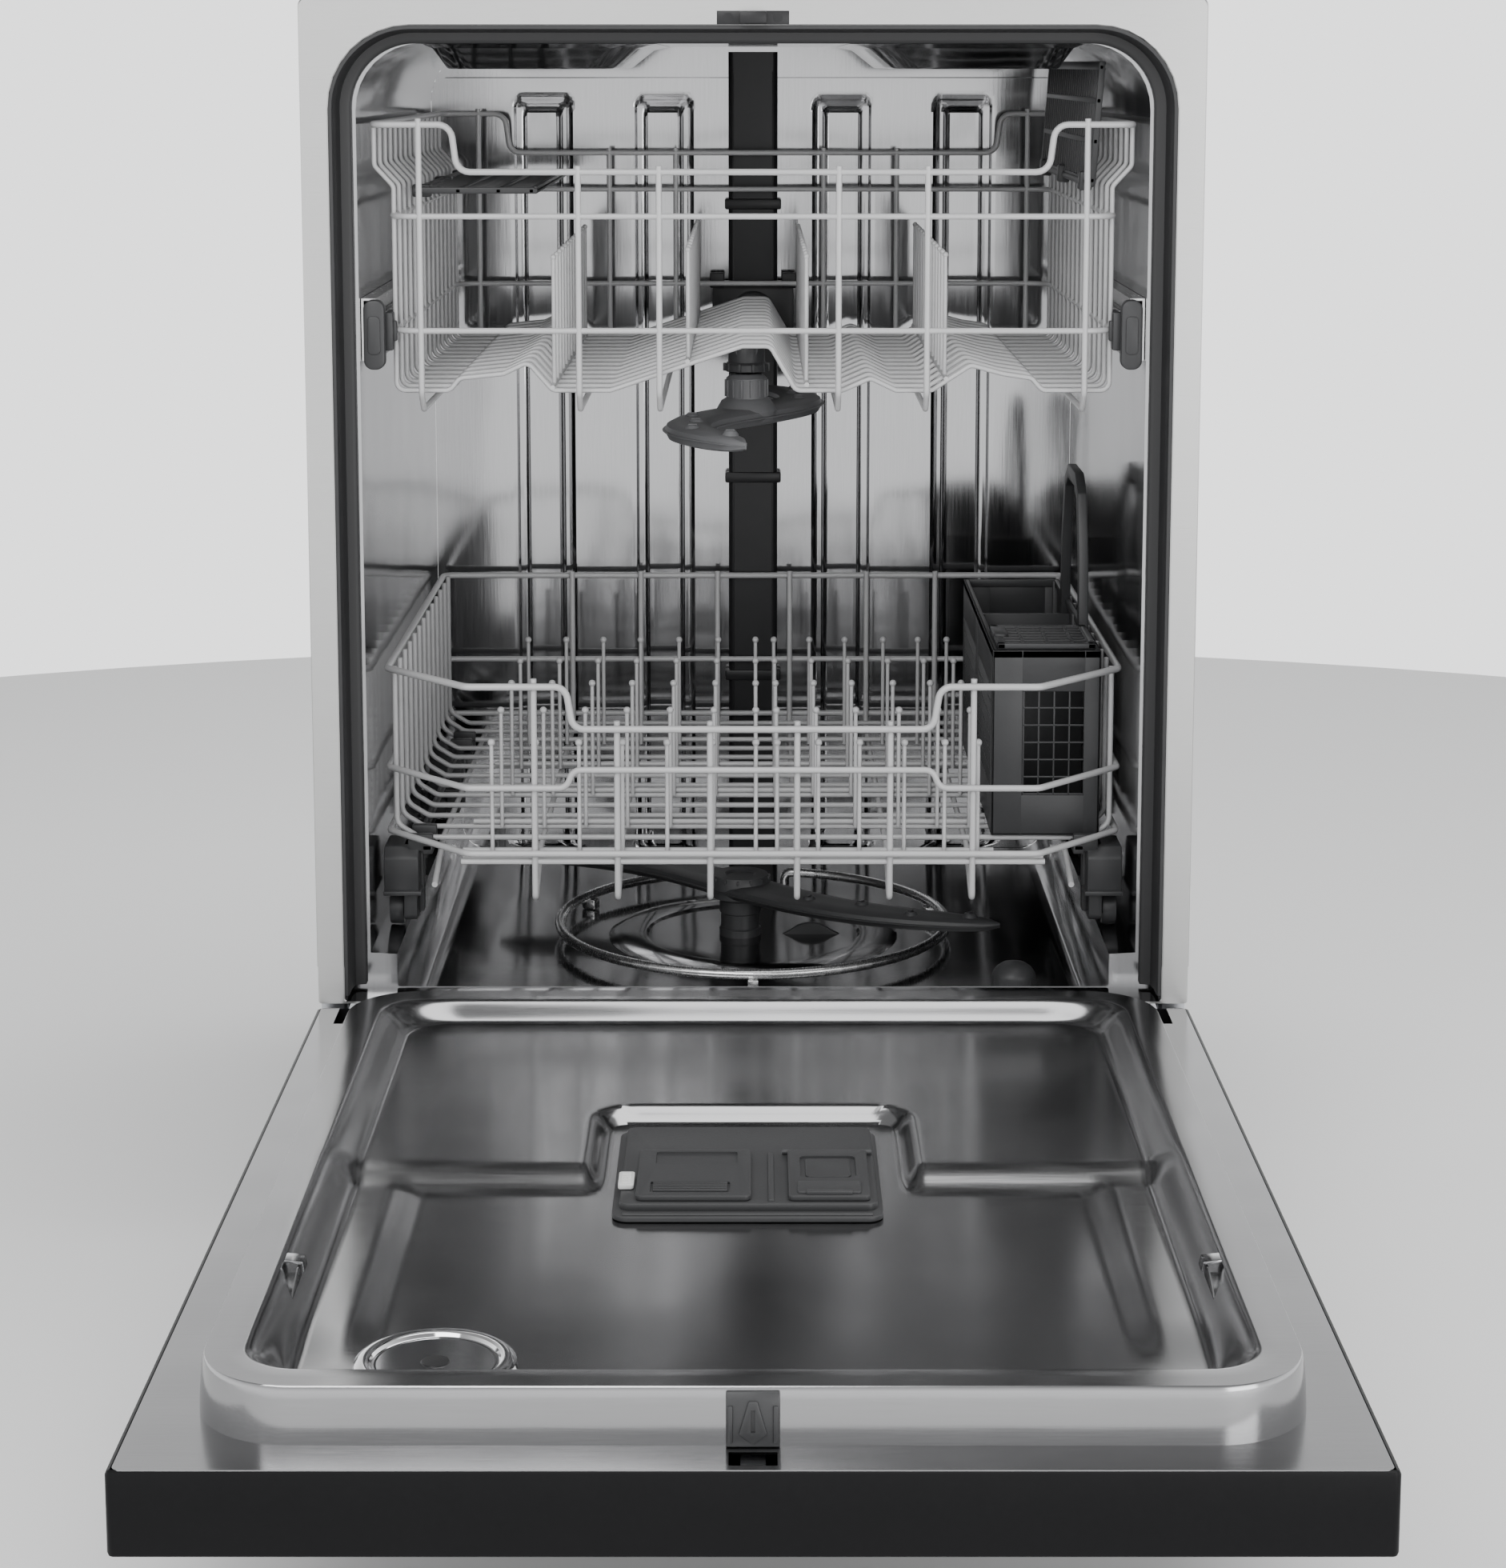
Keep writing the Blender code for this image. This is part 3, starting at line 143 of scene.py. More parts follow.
def loft(loops, bevel=0.0, ring=False):
    """Skin closed loops of equal length; the ends are capped unless they meet in a ring."""
    bm = bmesh.new()
    rows = [[bm.verts.new(p) for p in loop] for loop in loops]
    pairs = list(zip(rows, rows[1:]))
    if ring:
        pairs.append((rows[-1], rows[0]))
    for a, b in pairs:
        for i in range(len(a)):
            j = (i + 1) % len(a)
            bm.faces.new((a[i], a[j], b[j], b[i]))
    if not ring:
        bm.faces.new(rows[0])
        bm.faces.new(rows[-1])
    return to_mesh(bm, bevel)


def prism(outline, axis, low, high, bevel=0.0):
    """Extrude a closed outline along an axis; its points are the other two axes."""
    def place(point, depth):
        a, b = point
        return {"X": (depth, a, b), "Y": (a, depth, b), "Z": (a, b, depth)}[axis]
    return loft([[place(p, low) for p in outline], [place(p, high) for p in outline]], bevel)


def block(x, y, z, bevel=0.0008):
    outline = [(x[0], y[0]), (x[1], y[0]), (x[1], y[1]), (x[0], y[1])]
    return prism(outline, "Z", z[0], z[1], bevel)


def arc(cx, cy, radius, start, sweep=90, steps=ARC_STEPS):
    angles = [radians(start + sweep * i / steps) for i in range(steps + 1)]
    return [(cx + radius * cos(a), cy + radius * sin(a)) for a in angles]


def rounded(x, y, radius, steps=ARC_STEPS):
    """A rounded rectangle, anticlockwise."""
    r = radius
    return (arc(x[1] - r, y[1] - r, r, 0, steps=steps) + arc(x[0] + r, y[1] - r, r, 90, steps=steps)
            + arc(x[0] + r, y[0] + r, r, 180, steps=steps) + arc(x[1] - r, y[0] + r, r, 270, steps=steps))


def slab(x, y, radius, low, high, bevel=0.0):
    """A flat plate with rounded corners."""
    return prism(rounded(x, y, radius), "Z", low, high, bevel)


def turned(profile, centre, axis="Z", steps=48, bevel=0.0):
    """Turn (radius, height) points about an axis through a centre."""
    loops = []
    for radius, height in profile:
        loop = []
        for i in range(steps):
            a = 2 * pi * i / steps
            u, v = max(radius, 2e-5) * cos(a), max(radius, 2e-5) * sin(a)
            point = {"Z": (u, v, height), "X": (height, u, v), "Y": (v, height, u)}[axis]
            loop.append(Vector(centre) + Vector(point))
        loops.append(loop)
    return loft(loops, bevel)


def mirror_x(mesh):
    """A mirrored copy with its faces turned back to point out."""
    twin = mesh.copy()
    twin.transform(Matrix.Scale(-1, 4, (1, 0, 0)))
    twin.flip_normals()
    return twin


SIDES = (("right", lambda mesh: mesh), ("left", mirror_x))


def turned_about(mesh, point, axis, angle):
    """A mesh swung about a line through a point."""
    mesh.transform(Matrix.Translation(point) @ Matrix.Rotation(angle, 4, axis)
                   @ Matrix.Translation(-Vector(point)))
    return mesh


def spread(low, high, count):
    return [low + (high - low) * i / (count - 1) for i in range(count)]


print("shape makers ready, quarter circles in", ARC_STEPS, "steps")

# %% [markdown]
# ## Putting a piece in its place
#
# `piece` joins meshes into one object, smooths its round faces, moves it from the deck
# frame to the world, gives it its finish, and says which body it rides on and which nodes
# of the frame it stands for.

# %% piece
made = []


def piece(name, meshes, finish, body, stands_for=(), angle=32):
    bm = bmesh.new()
    for mesh in meshes:
        bm.from_mesh(mesh)
    for face in bm.faces:
        face.material_index = 0
        face.smooth = True
    mesh = bpy.data.meshes.new(name)
    bm.to_mesh(mesh)
    bm.free()
    mesh.transform(Matrix.Translation((0, DECK, 0)))
    mesh.set_sharp_from_angle(angle=radians(angle))
    mesh.materials.clear()
    mesh.materials.append(finish)
    shown = linked(name, mesh)
    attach(shown, body)
    if stands_for:
        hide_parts(*stands_for)
    made.append(name)
    print(f"{name}: {len(mesh.polygons)} faces on {body}")
    return shown


# %% [markdown]
# ## Shared surface effects
#
# Three effects turn up on nearly every finish, so each is a node group with named inputs:
# a fine grain that can be stretched into a brushed one, a lighter or darker line along
# convex edges that is a painted edge highlight as well as rubbed wear, and a thin film of
# dust on whatever faces up.  A group only gives colours, masks and heights; the shader
# itself stays in each material.

# %% Node helpers
def socket_value(tree, socket, value):
    """Link a socket to another one, or set its plain value."""
    if isinstance(value, bpy.types.NodeSocket):
        tree.links.new(value, socket)
    else:
        socket.default_value = value


def add(tree, kind, settings=None, **values):
    """A node with its settings, and with inputs given by name (spaces as underscores)."""
    node = tree.nodes.new(kind)
    for key, value in (settings or {}).items():
        setattr(node, key, value)
    for key, value in values.items():
        socket_value(tree, node.inputs[key.replace("_", " ")], value)
    return node


def calc(tree, operation, *values):
    node = tree.nodes.new("ShaderNodeMath")
    node.operation = operation
    for socket, value in zip(node.inputs, values):
        socket_value(tree, socket, value)
    return node.outputs[0]


def own_place(tree):
    return tree.nodes.new("ShaderNodeTexCoord").outputs["Object"]


def noise(tree, place, scale, detail):
    return add(tree, "ShaderNodeTexNoise", Vector=place, Scale=scale, Detail=detail).outputs[0]


def faded(tree, factor, first, second):
    """One colour mixed into another; the two colour sockets share a name, so they go by number."""
    mix = add(tree, "ShaderNodeMix", {"data_type": "RGBA"}, Factor=factor)
    socket_value(tree, mix.inputs[6], first)
    socket_value(tree, mix.inputs[7], second)
    return mix.outputs[2]


def new_tree(name, kind, inputs, outputs):
    """A node group with named sockets, and its input and output nodes."""
    tree = bpy.data.node_groups.new(name, kind)
    for label, socket_type, value in inputs:
        socket = tree.interface.new_socket(name=label, in_out="INPUT", socket_type=socket_type)
        if value is not None:
            socket.default_value = value
    for label, socket_type in outputs:
        tree.interface.new_socket(name=label, in_out="OUTPUT", socket_type=socket_type)
    return tree, tree.nodes.new("NodeGroupInput").outputs, tree.nodes.new("NodeGroupOutput").inputs


FLOAT, COLOUR, VECTOR = "NodeSocketFloat", "NodeSocketColor", "NodeSocketVector"
print("node helpers ready")

# %% Grain group
def make_grain_group():
    tree, given, result = new_tree(
        "surface_grain", "ShaderNodeTree",
        [("Colour", COLOUR, (0.5, 0.5, 0.5, 1)), ("Spread", FLOAT, 0.1), ("Roughness", FLOAT, 0.4),
         ("Roughness spread", FLOAT, 0.1), ("Fineness", FLOAT, 300.0), ("Stretch", VECTOR, (1, 1, 1)),
         ("Patch size", FLOAT, 6.0)],
        [("Colour", COLOUR), ("Roughness", FLOAT), ("Height", FLOAT)])
    place = own_place(tree)
    drawn = add(tree, "ShaderNodeMapping", Vector=place, Scale=given["Stretch"])
    fine = noise(tree, drawn.outputs[0], given["Fineness"], 3.0)
    broad = noise(tree, place, given["Patch size"], 4.0)
    both = calc(tree, "MULTIPLY_ADD", fine, 0.6, calc(tree, "MULTIPLY", broad, 0.4))
    centred = calc(tree, "SUBTRACT", both, 0.5)
    gain = calc(tree, "MULTIPLY_ADD", centred, calc(tree, "MULTIPLY", given["Spread"], 2.0), 1.0)
    tint = add(tree, "ShaderNodeVectorMath", {"operation": "SCALE"}, Vector=given["Colour"], Scale=gain)
    rough = calc(tree, "MULTIPLY_ADD", centred, calc(tree, "MULTIPLY", given["Roughness spread"], 2.0),
                 given["Roughness"])
    tree.links.new(tint.outputs[0], result["Colour"])
    tree.links.new(rough, result["Roughness"])
    tree.links.new(fine, result["Height"])
    return tree


GRAIN = make_grain_group()
print("group:", GRAIN.name, [s.name for s in GRAIN.interface.items_tree])

# %% Edge highlight and wear, and dust groups
def make_edge_highlight_and_wear_group():
    """Lighter colour along convex edges, broken by noise: a painted edge highlight that also stands for the
    rub of hands and dishes.
    """
    tree, given, result = new_tree(
        "edge_wear", "ShaderNodeTree",
        [("Colour", COLOUR, (0.5, 0.5, 0.5, 1)), ("Highlight and wear colour", COLOUR, (0.6, 0.6, 0.6, 1)),
         ("Amount", FLOAT, 0.3)], [("Colour", COLOUR), ("Mask", FLOAT)])
    # Pointiness picks out convex edges and noise breaks the line up. The colour mixed in there is a painted
    # edge highlight as well as rubbed wear.
    edge = add(tree, "ShaderNodeMapRange", {"clamp": True}, Value=tree.nodes.new(
        "ShaderNodeNewGeometry").outputs["Pointiness"], From_Min=0.51, From_Max=0.6).outputs[0]
    broken = noise(tree, own_place(tree), 70.0, 4.0)
    mask = calc(tree, "MULTIPLY", calc(tree, "MULTIPLY", edge, given["Amount"]), broken)
    tree.links.new(faded(tree, mask, given["Colour"], given["Highlight and wear colour"]), result["Colour"])
    tree.links.new(mask, result["Mask"])
    return tree


def make_dust_group():
    """A thin pale film on faces that look up."""
    tree, given, result = new_tree(
        "settled_dust", "ShaderNodeTree",
        [("Colour", COLOUR, (0.5, 0.5, 0.5, 1)), ("Roughness", FLOAT, 0.4), ("Amount", FLOAT, 0.1)],
        [("Colour", COLOUR), ("Roughness", FLOAT)])
    facing = add(tree, "ShaderNodeSeparateXYZ", Vector=tree.nodes.new(
        "ShaderNodeNewGeometry").outputs["Normal"]).outputs[2]
    up = add(tree, "ShaderNodeMapRange", {"clamp": True}, Value=facing, From_Min=0.5, From_Max=1.0).outputs[0]
    drift = noise(tree, own_place(tree), 14.0, 6.0)
    film = calc(tree, "MULTIPLY", calc(tree, "MULTIPLY", up, given["Amount"]), drift)
    tree.links.new(faded(tree, film, given["Colour"], (0.55, 0.54, 0.52, 1)), result["Colour"])
    tree.links.new(calc(tree, "ADD", given["Roughness"], film), result["Roughness"])
    return tree


EDGE_HIGHLIGHT_AND_WEAR = make_edge_highlight_and_wear_group()
DUST = make_dust_group()
print("groups:", EDGE_HIGHLIGHT_AND_WEAR.name, "and", DUST.name)

# %% [markdown]
# ## Finishes
#
# One function builds a finish from the three groups.  What is the same all over a surface
# goes straight on the shader's own sockets; only colour, roughness and height are linked.

# %% make_finish
def make_finish(name, colour, metallic, roughness, fineness, stretch=(1, 1, 1), spread=0.1,
                rough_spread=0.08, height=0.00002, patch=6.0, highlight_and_wear_colour=None, highlight_and_wear=0.4, dust=0.06,
                coat=0.0, bend=0.0, shine=0.5):
    finish = bpy.data.materials.new(name)
    finish.use_nodes = True
    tree = finish.node_tree
    shader = tree.nodes["Principled BSDF"]
    shader.inputs["Metallic"].default_value = metallic
    shader.inputs["Specular IOR Level"].default_value = shine
    shader.inputs["Coat Weight"].default_value = coat
    shader.inputs["Coat Roughness"].default_value = 0.12
    grain = tree.nodes.new("ShaderNodeGroup")
    grain.node_tree = GRAIN
    for label, value in (("Colour", (*colour, 1)), ("Spread", spread), ("Roughness", roughness),
                         ("Roughness spread", rough_spread), ("Fineness", fineness),
                         ("Stretch", stretch), ("Patch size", patch)):
        grain.inputs[label].default_value = value
    edge = tree.nodes.new("ShaderNodeGroup")
    edge.node_tree = EDGE_HIGHLIGHT_AND_WEAR
    tree.links.new(grain.outputs["Colour"], edge.inputs["Colour"])
    # By default the edge colour is half again as light as the surface: a painted edge highlight as well as
    # wear.
    edge.inputs["Highlight and wear colour"].default_value = (*(highlight_and_wear_colour or [min(1, c * 1.5 + 0.02) for c in colour]), 1)
    edge.inputs["Amount"].default_value = highlight_and_wear
    film = tree.nodes.new("ShaderNodeGroup")
    film.node_tree = DUST
    tree.links.new(edge.outputs["Colour"], film.inputs["Colour"])
    tree.links.new(grain.outputs["Roughness"], film.inputs["Roughness"])
    film.inputs["Amount"].default_value = dust
    tree.links.new(film.outputs["Colour"], shader.inputs["Base Color"])
    tree.links.new(film.outputs["Roughness"], shader.inputs["Roughness"])
    bump = add(tree, "ShaderNodeBump", Strength=1.0, Distance=height, Height=grain.outputs["Height"])
    if bend:
        waves = noise(tree, own_place(tree), 9.0, 1.0)
        bump = add(tree, "ShaderNodeBump", Strength=1.0, Distance=bend, Height=waves,
                   Normal=bump.outputs[0])
    tree.links.new(bump.outputs["Normal"], shader.inputs["Normal"])
    return finish


print("make_finish builds one material from", GRAIN.name, EDGE_HIGHLIGHT_AND_WEAR.name, DUST.name)

# %% [markdown]
# The steels differ only in which way the rolling marks run: across the flange, up and down
# the tub walls, across the door.  On the tub walls the up-and-down streaks of lighter and
# darker base colour are also painted reflection, standing in for what the polished walls
# mirror.  The plastics differ in colour and in how coarse their moulded grain is.

# %% The machine's finishes
FLANGE_STEEL = make_finish("flange_steel", (0.5, 0.5, 0.495), 1.0, 0.3, 40.0, (1, 30, 30), 0.07,
                           height=0.000012, highlight_and_wear=0.1, dust=0.0)
# The vertical streaks of lighter and darker base colour in tub_steel are painted reflection as well as grain.
TUB_STEEL = make_finish("tub_steel", (0.36, 0.36, 0.365), 1.0, 0.105, 30.0, (30, 30, 1), 0.12,
                        height=0.00001, highlight_and_wear=0.1, dust=0.0, bend=0.0012)
DOOR_STEEL = make_finish("door_steel", (0.33, 0.33, 0.335), 1.0, 0.16, 34.0, (1, 30, 30), 0.1,
                         height=0.00001, highlight_and_wear=0.15, dust=0.03, bend=0.0008)
RAIL_STEEL = make_finish("rail_steel", (0.55, 0.55, 0.55), 1.0, 0.26, 60.0, (20, 1, 20), 0.08, dust=0.0)
CHROME = make_finish("chrome", (0.72, 0.72, 0.73), 1.0, 0.09, 200.0, spread=0.03, rough_spread=0.04,
                     height=0.000003, dust=0.0)
ZINC = make_finish("zinc_plate", (0.52, 0.53, 0.55), 1.0, 0.42, 55.0, (1, 1, 3), 0.22, patch=22.0,
                   height=0.00002)
BLACK_ENAMEL = make_finish("black_enamel", (0.006, 0.006, 0.0065), 0.0, 0.36, 260.0, spread=0.2,
                           height=0.00003, highlight_and_wear=0.12, dust=0.0, shine=0.1)
BLACK_PLASTIC = make_finish("black_plastic", (0.012, 0.012, 0.013), 0.0, 0.38, 900.0, spread=0.25,
                            height=0.00004, highlight_and_wear=0.2, dust=0.01, shine=0.3)
DARK_GREY = make_finish("dark_grey_plastic", (0.036, 0.0365, 0.038), 0.0, 0.42, 900.0, spread=0.15,
                        height=0.00005, highlight_and_wear=0.3, dust=0.015, shine=0.35)
MID_GREY = make_finish("mid_grey_plastic", (0.115, 0.116, 0.12), 0.0, 0.4, 900.0, spread=0.12,
                       height=0.00005, highlight_and_wear=0.3, dust=0.02, shine=0.4)
WHITE_PLASTIC = make_finish("white_plastic", (0.62, 0.62, 0.61), 0.0, 0.38, 900.0, spread=0.05,
                            height=0.00004)
COATED_WIRE = make_finish("coated_wire", (0.46, 0.46, 0.465), 0.0, 0.33, 500.0, spread=0.06,
                          height=0.00003, coat=0.25, highlight_and_wear=0.2, dust=0.03)
RUBBER = make_finish("seal_rubber", (0.016, 0.016, 0.017), 0.0, 0.55, 700.0, spread=0.2, height=0.00005,
                     dust=0.05)
FELT = make_finish("blanket_felt", (0.035, 0.035, 0.037), 0.0, 0.92, 420.0, spread=0.6, height=0.0009,
                   rough_spread=0.05, patch=30.0, dust=0.15)
print(len(bpy.data.materials), "materials in the file")

# %% [markdown]
# ## Trees that bend wire and repeat shapes
#
# A dish rack is a few wires bent once and repeated many times.  The first tree takes bare
# lines, rounds their corners, gives them a wire's thickness and ball ends, and lays copies
# in a row.  The others repeat a small shape in a grid or a ring, and wind a spring.  Each
# ends in Realize Instances and Set Material, and `grown` turns the result into a plain mesh.

# %% Running a tree
GEOMETRY, INTEGER, MATERIAL = "NodeSocketGeometry", "NodeSocketInt", "NodeSocketMaterial"


def grown(tree, mesh, finish, **values):
    """Run a tree on a mesh with inputs given by name, and return the plain mesh it makes."""
    seed = linked("seed", mesh)
    step = seed.modifiers.new("tree", "NODES")
    step.node_group = tree
    values["Material"] = finish
    for item in tree.interface.items_tree:
        label = item.name.replace(" ", "_")
        if item.in_out == "INPUT" and label in values:
            step[item.identifier] = values[label]
    return plain_mesh(seed)


def lines(*paths):
    """A mesh of bare edges, one run for each path."""
    mesh = bpy.data.meshes.new("lines")
    points, edges = [], []
    for path in paths:
        first = len(points)
        points += [tuple(p) for p in path]
        edges += [(first + i, first + i + 1) for i in range(len(path) - 1)]
        if len(path) > 2 and (Vector(path[0]) - Vector(path[-1])).length < 1e-6:
            points.pop()
            edges[-1] = (edges[-1][0], first)
    mesh.from_pydata(points, edges, [])
    return mesh


def shape_tree(name, *inputs):
    """A tree that takes a shape and a material besides its own inputs."""
    return new_tree(name, "GeometryNodeTree", [("Geometry", GEOMETRY, None), *inputs,
                                               ("Material", MATERIAL, None)], [("Geometry", GEOMETRY)])


def close_tree(tree, shape, given, result):
    """The end that every tree shares."""
    real = add(tree, "GeometryNodeRealizeInstances", Geometry=shape)
    dressed = add(tree, "GeometryNodeSetMaterial", Geometry=real.outputs[0], Material=given["Material"])
    tree.links.new(dressed.outputs[0], result["Geometry"])
    return tree


print("grown runs a tree and returns a plain mesh")

# %% Wire tree
def swept(tree, curve, radius, sides):
    """A round wire along a curve, with its ends closed."""
    section = add(tree, "GeometryNodeCurvePrimitiveCircle", {"mode": "RADIUS"}, Resolution=sides)
    tree.links.new(radius, section.inputs["Radius"])
    return add(tree, "GeometryNodeCurveToMesh", Curve=curve, Profile_Curve=section.outputs[0],
               Fill_Caps=True).outputs[0]


def make_wire_tree():
    tree, given, result = shape_tree(
        "bent_wire", ("Wire radius", FLOAT, 0.002), ("Bend radius", FLOAT, 0.006), ("Sides", INTEGER, 10),
        ("Ball radius", FLOAT, 0.0), ("Copies", INTEGER, 1), ("Pitch", VECTOR, (0, 0.03, 0)))
    runs = add(tree, "GeometryNodeMeshToCurve", Mesh=given["Geometry"])
    bends = add(tree, "GeometryNodeFilletCurve", {"mode": "POLY"}, Curve=runs.outputs[0],
                Count=5, Radius=given["Bend radius"], Limit_Radius=True)
    wire = swept(tree, bends.outputs[0], given["Wire radius"], given["Sides"])
    ends = add(tree, "GeometryNodeCurveEndpointSelection", Start_Size=0, End_Size=1)
    ball = add(tree, "GeometryNodeMeshUVSphere", Segments=10, Rings=6, Radius=given["Ball radius"])
    tips = add(tree, "GeometryNodeInstanceOnPoints", Points=runs.outputs[0], Selection=ends.outputs[0],
               Instance=ball.outputs[0])
    both = tree.nodes.new("GeometryNodeJoinGeometry")
    tree.links.new(wire, both.inputs[0])
    tree.links.new(tips.outputs[0], both.inputs[0])
    places = add(tree, "GeometryNodeMeshLine", Count=given["Copies"], Offset=given["Pitch"])
    row = add(tree, "GeometryNodeInstanceOnPoints", Points=places.outputs[0], Instance=both.outputs[0])
    return close_tree(tree, row.outputs[0], given, result)


WIRE_TREE = make_wire_tree()


def wires(paths, radius, bend=0.006, copies=1, pitch=(0, 0.03, 0), ball=0.00001, sides=10):
    return grown(WIRE_TREE, lines(*paths), COATED_WIRE, Wire_radius=radius, Bend_radius=bend,
                 Copies=copies, Pitch=pitch, Ball_radius=ball, Sides=sides)


print("tree:", WIRE_TREE.name, "with", len(WIRE_TREE.nodes), "nodes")

# %% Grid, ring and coil trees
def make_grid_tree():
    tree, given, result = shape_tree(
        "repeat_grid", ("Copies", INTEGER, 4), ("Pitch", VECTOR, (0.01, 0, 0)), ("Rows", INTEGER, 1),
        ("Row pitch", VECTOR, (0, 0.01, 0)))
    one = add(tree, "GeometryNodeMeshLine", Count=given["Copies"], Offset=given["Pitch"])
    row = add(tree, "GeometryNodeInstanceOnPoints", Points=one.outputs[0], Instance=given["Geometry"])
    two = add(tree, "GeometryNodeMeshLine", Count=given["Rows"], Offset=given["Row pitch"])
    field = add(tree, "GeometryNodeInstanceOnPoints", Points=two.outputs[0], Instance=row.outputs[0])
    return close_tree(tree, field.outputs[0], given, result)


def make_ring_tree():
    tree, given, result = shape_tree("repeat_ring", ("Copies", INTEGER, 12), ("Centre", VECTOR, (0, 0, 0)))
    stack = add(tree, "GeometryNodeMeshLine", Count=given["Copies"], Start_Location=given["Centre"],
                Offset=(0, 0, 0))
    step = calc(tree, "DIVIDE", 2 * pi, given["Copies"])
    angle = calc(tree, "MULTIPLY", tree.nodes.new("GeometryNodeInputIndex").outputs[0], step)
    spin = add(tree, "ShaderNodeCombineXYZ", Z=angle)
    ring = add(tree, "GeometryNodeInstanceOnPoints", Points=stack.outputs[0], Instance=given["Geometry"],
               Rotation=spin.outputs[0])
    return close_tree(tree, ring.outputs[0], given, result)


def make_coil_tree():
    tree, given, result = shape_tree(
        "wound_coil", ("Turns", FLOAT, 20.0), ("Coil radius", FLOAT, 0.007), ("Wire radius", FLOAT, 0.001),
        ("Length", FLOAT, 0.14))
    turns = add(tree, "GeometryNodeCurveSpiral", Resolution=16, Rotations=given["Turns"],
                Start_Radius=given["Coil radius"], End_Radius=given["Coil radius"], Height=given["Length"])
    wound = swept(tree, turns.outputs[0], given["Wire radius"], 7)
    return close_tree(tree, wound, given, result)


GRID_TREE = make_grid_tree()
RING_TREE = make_ring_tree()
COIL_TREE = make_coil_tree()


def in_grid(mesh, finish, copies, pitch, rows=1, row_pitch=(0, 0.01, 0)):
    return grown(GRID_TREE, mesh, finish, Copies=copies, Pitch=pitch, Rows=rows, Row_pitch=row_pitch)


def in_ring(mesh, finish, copies, centre):
    """Repeat a shape, drawn about the origin, round a vertical line through a centre."""
    return grown(RING_TREE, mesh, finish, Copies=copies, Centre=centre)


print("trees:", GRID_TREE.name, RING_TREE.name, COIL_TREE.name)

# %% [markdown]
# ## Floor, light and camera
#
# A plain pale floor, two large soft lights and a pale sky show polished steel fairly: what
# it mirrors is mostly pale, with the dark of the gasket and the tub's own depth between.

# %% Floor, lights, camera
def make_floor():
    bm = bmesh.new()
    bm.faces.new([bm.verts.new((x, y, 0)) for x, y in arc(0, 0, 2.4, 0, 357, 119)])
    mesh = bpy.data.meshes.new("floor")
    bm.to_mesh(mesh)
    bm.free()
    mesh.materials.append(make_finish("pale_floor", (0.9, 0.9, 0.9), 0.0, 0.7, 3.0, spread=0.01,
                                      height=0.0, highlight_and_wear=0.0, dust=0.0))
    linked("floor", mesh)


def area_light(name, place, aim, size, power):
    data = bpy.data.lights.new(name, "AREA")
    data.shape = "RECTANGLE"
    data.size, data.size_y = size
    data.energy = power
    lamp = linked(name, data)
    lamp.location = place
    lamp.rotation_euler = (Vector(aim) - Vector(place)).to_track_quat("-Z", "Y").to_euler()


def make_camera():
    data = bpy.data.cameras.new("camera")
    data.lens = 72.78
    data.shift_y = -0.16
    data.clip_end = 50
    camera = linked("camera", data)
    camera.location = (0, -2.0412, 0.8199)
    camera.rotation_euler = (radians(90 - 8.413), 0, 0)
    bpy.context.scene.camera = camera


def make_sky():
    world = bpy.data.worlds.new("pale_sky")
    world.use_nodes = True
    tree = world.node_tree
    height = add(tree, "ShaderNodeSeparateXYZ",
                 Vector=tree.nodes.new("ShaderNodeTexCoord").outputs["Generated"])
    fade = add(tree, "ShaderNodeMapRange", Value=height.outputs["Z"], From_Min=0.12, From_Max=0.62,
               To_Min=2.1, To_Max=0.4)
    tree.nodes["Background"].inputs["Color"].default_value = (0.94, 0.945, 0.95, 1)
    tree.links.new(fade.outputs[0], tree.nodes["Background"].inputs["Strength"])
    bpy.context.scene.world = world


make_floor()
make_sky()
make_camera()
area_light("front_softbox", (-0.9, -2.6, 2.3), (0, 0.1, 0.5), (2.0, 1.4), 54)
area_light("overhead_softbox", (0.6, 0.2, 3.0), (0, 0, 0.4), (2.4, 2.4), 60)
area_light("low_fill", (1.6, -2.4, 0.7), (0, 0.2, 0.45), (1.4, 1.0), 22)
print("camera lens", bpy.context.scene.camera.data.lens)

# %% [markdown]
# ## The tub
#
# The tub is pressed from stainless sheet: a wrap with rounded corners and a wheel ledge in
# each side, a wide brushed flange round its mouth, and a back wall.  The wrap is a loft of
# the same section at several depths.  Two broad ribs are pressed down from the ceiling.

# %% Tub wrap
def tub_section(half, floor, ceiling, y, radius, ledge, foot):
    """The tub's section at one depth: rounded top, ledge in each side, rounded floor."""
    low = half - ledge
    ledge_z = max(RIM_TOP, floor + foot + 0.004)
    points = arc(half - radius, ceiling - radius, radius, 0)
    points += arc(-half + radius, ceiling - radius, radius, 90)
    points += [(-half, ledge_z), (-low, ledge_z - 0.001)]
    points += arc(-low + foot, floor + foot, foot, 180) + arc(low - foot, floor + foot, foot, 270)
    points += [(low, ledge_z - 0.001), (half, ledge_z)]
    return [(a, y, b) for a, b in points]


SHEET = 0.0015
SILL_BACK = MOUTH_DEPTH + 0.036


def cut_out(mesh, cutter):
    """A mesh with a cutter's shape taken away."""
    body, tool = linked("body", mesh), linked("tool", cutter)
    step = body.modifiers.new("cut", "BOOLEAN")
    step.solver = "EXACT"
    step.object = tool
    plain = plain_mesh(body)
    bpy.data.objects.remove(tool)
    return plain


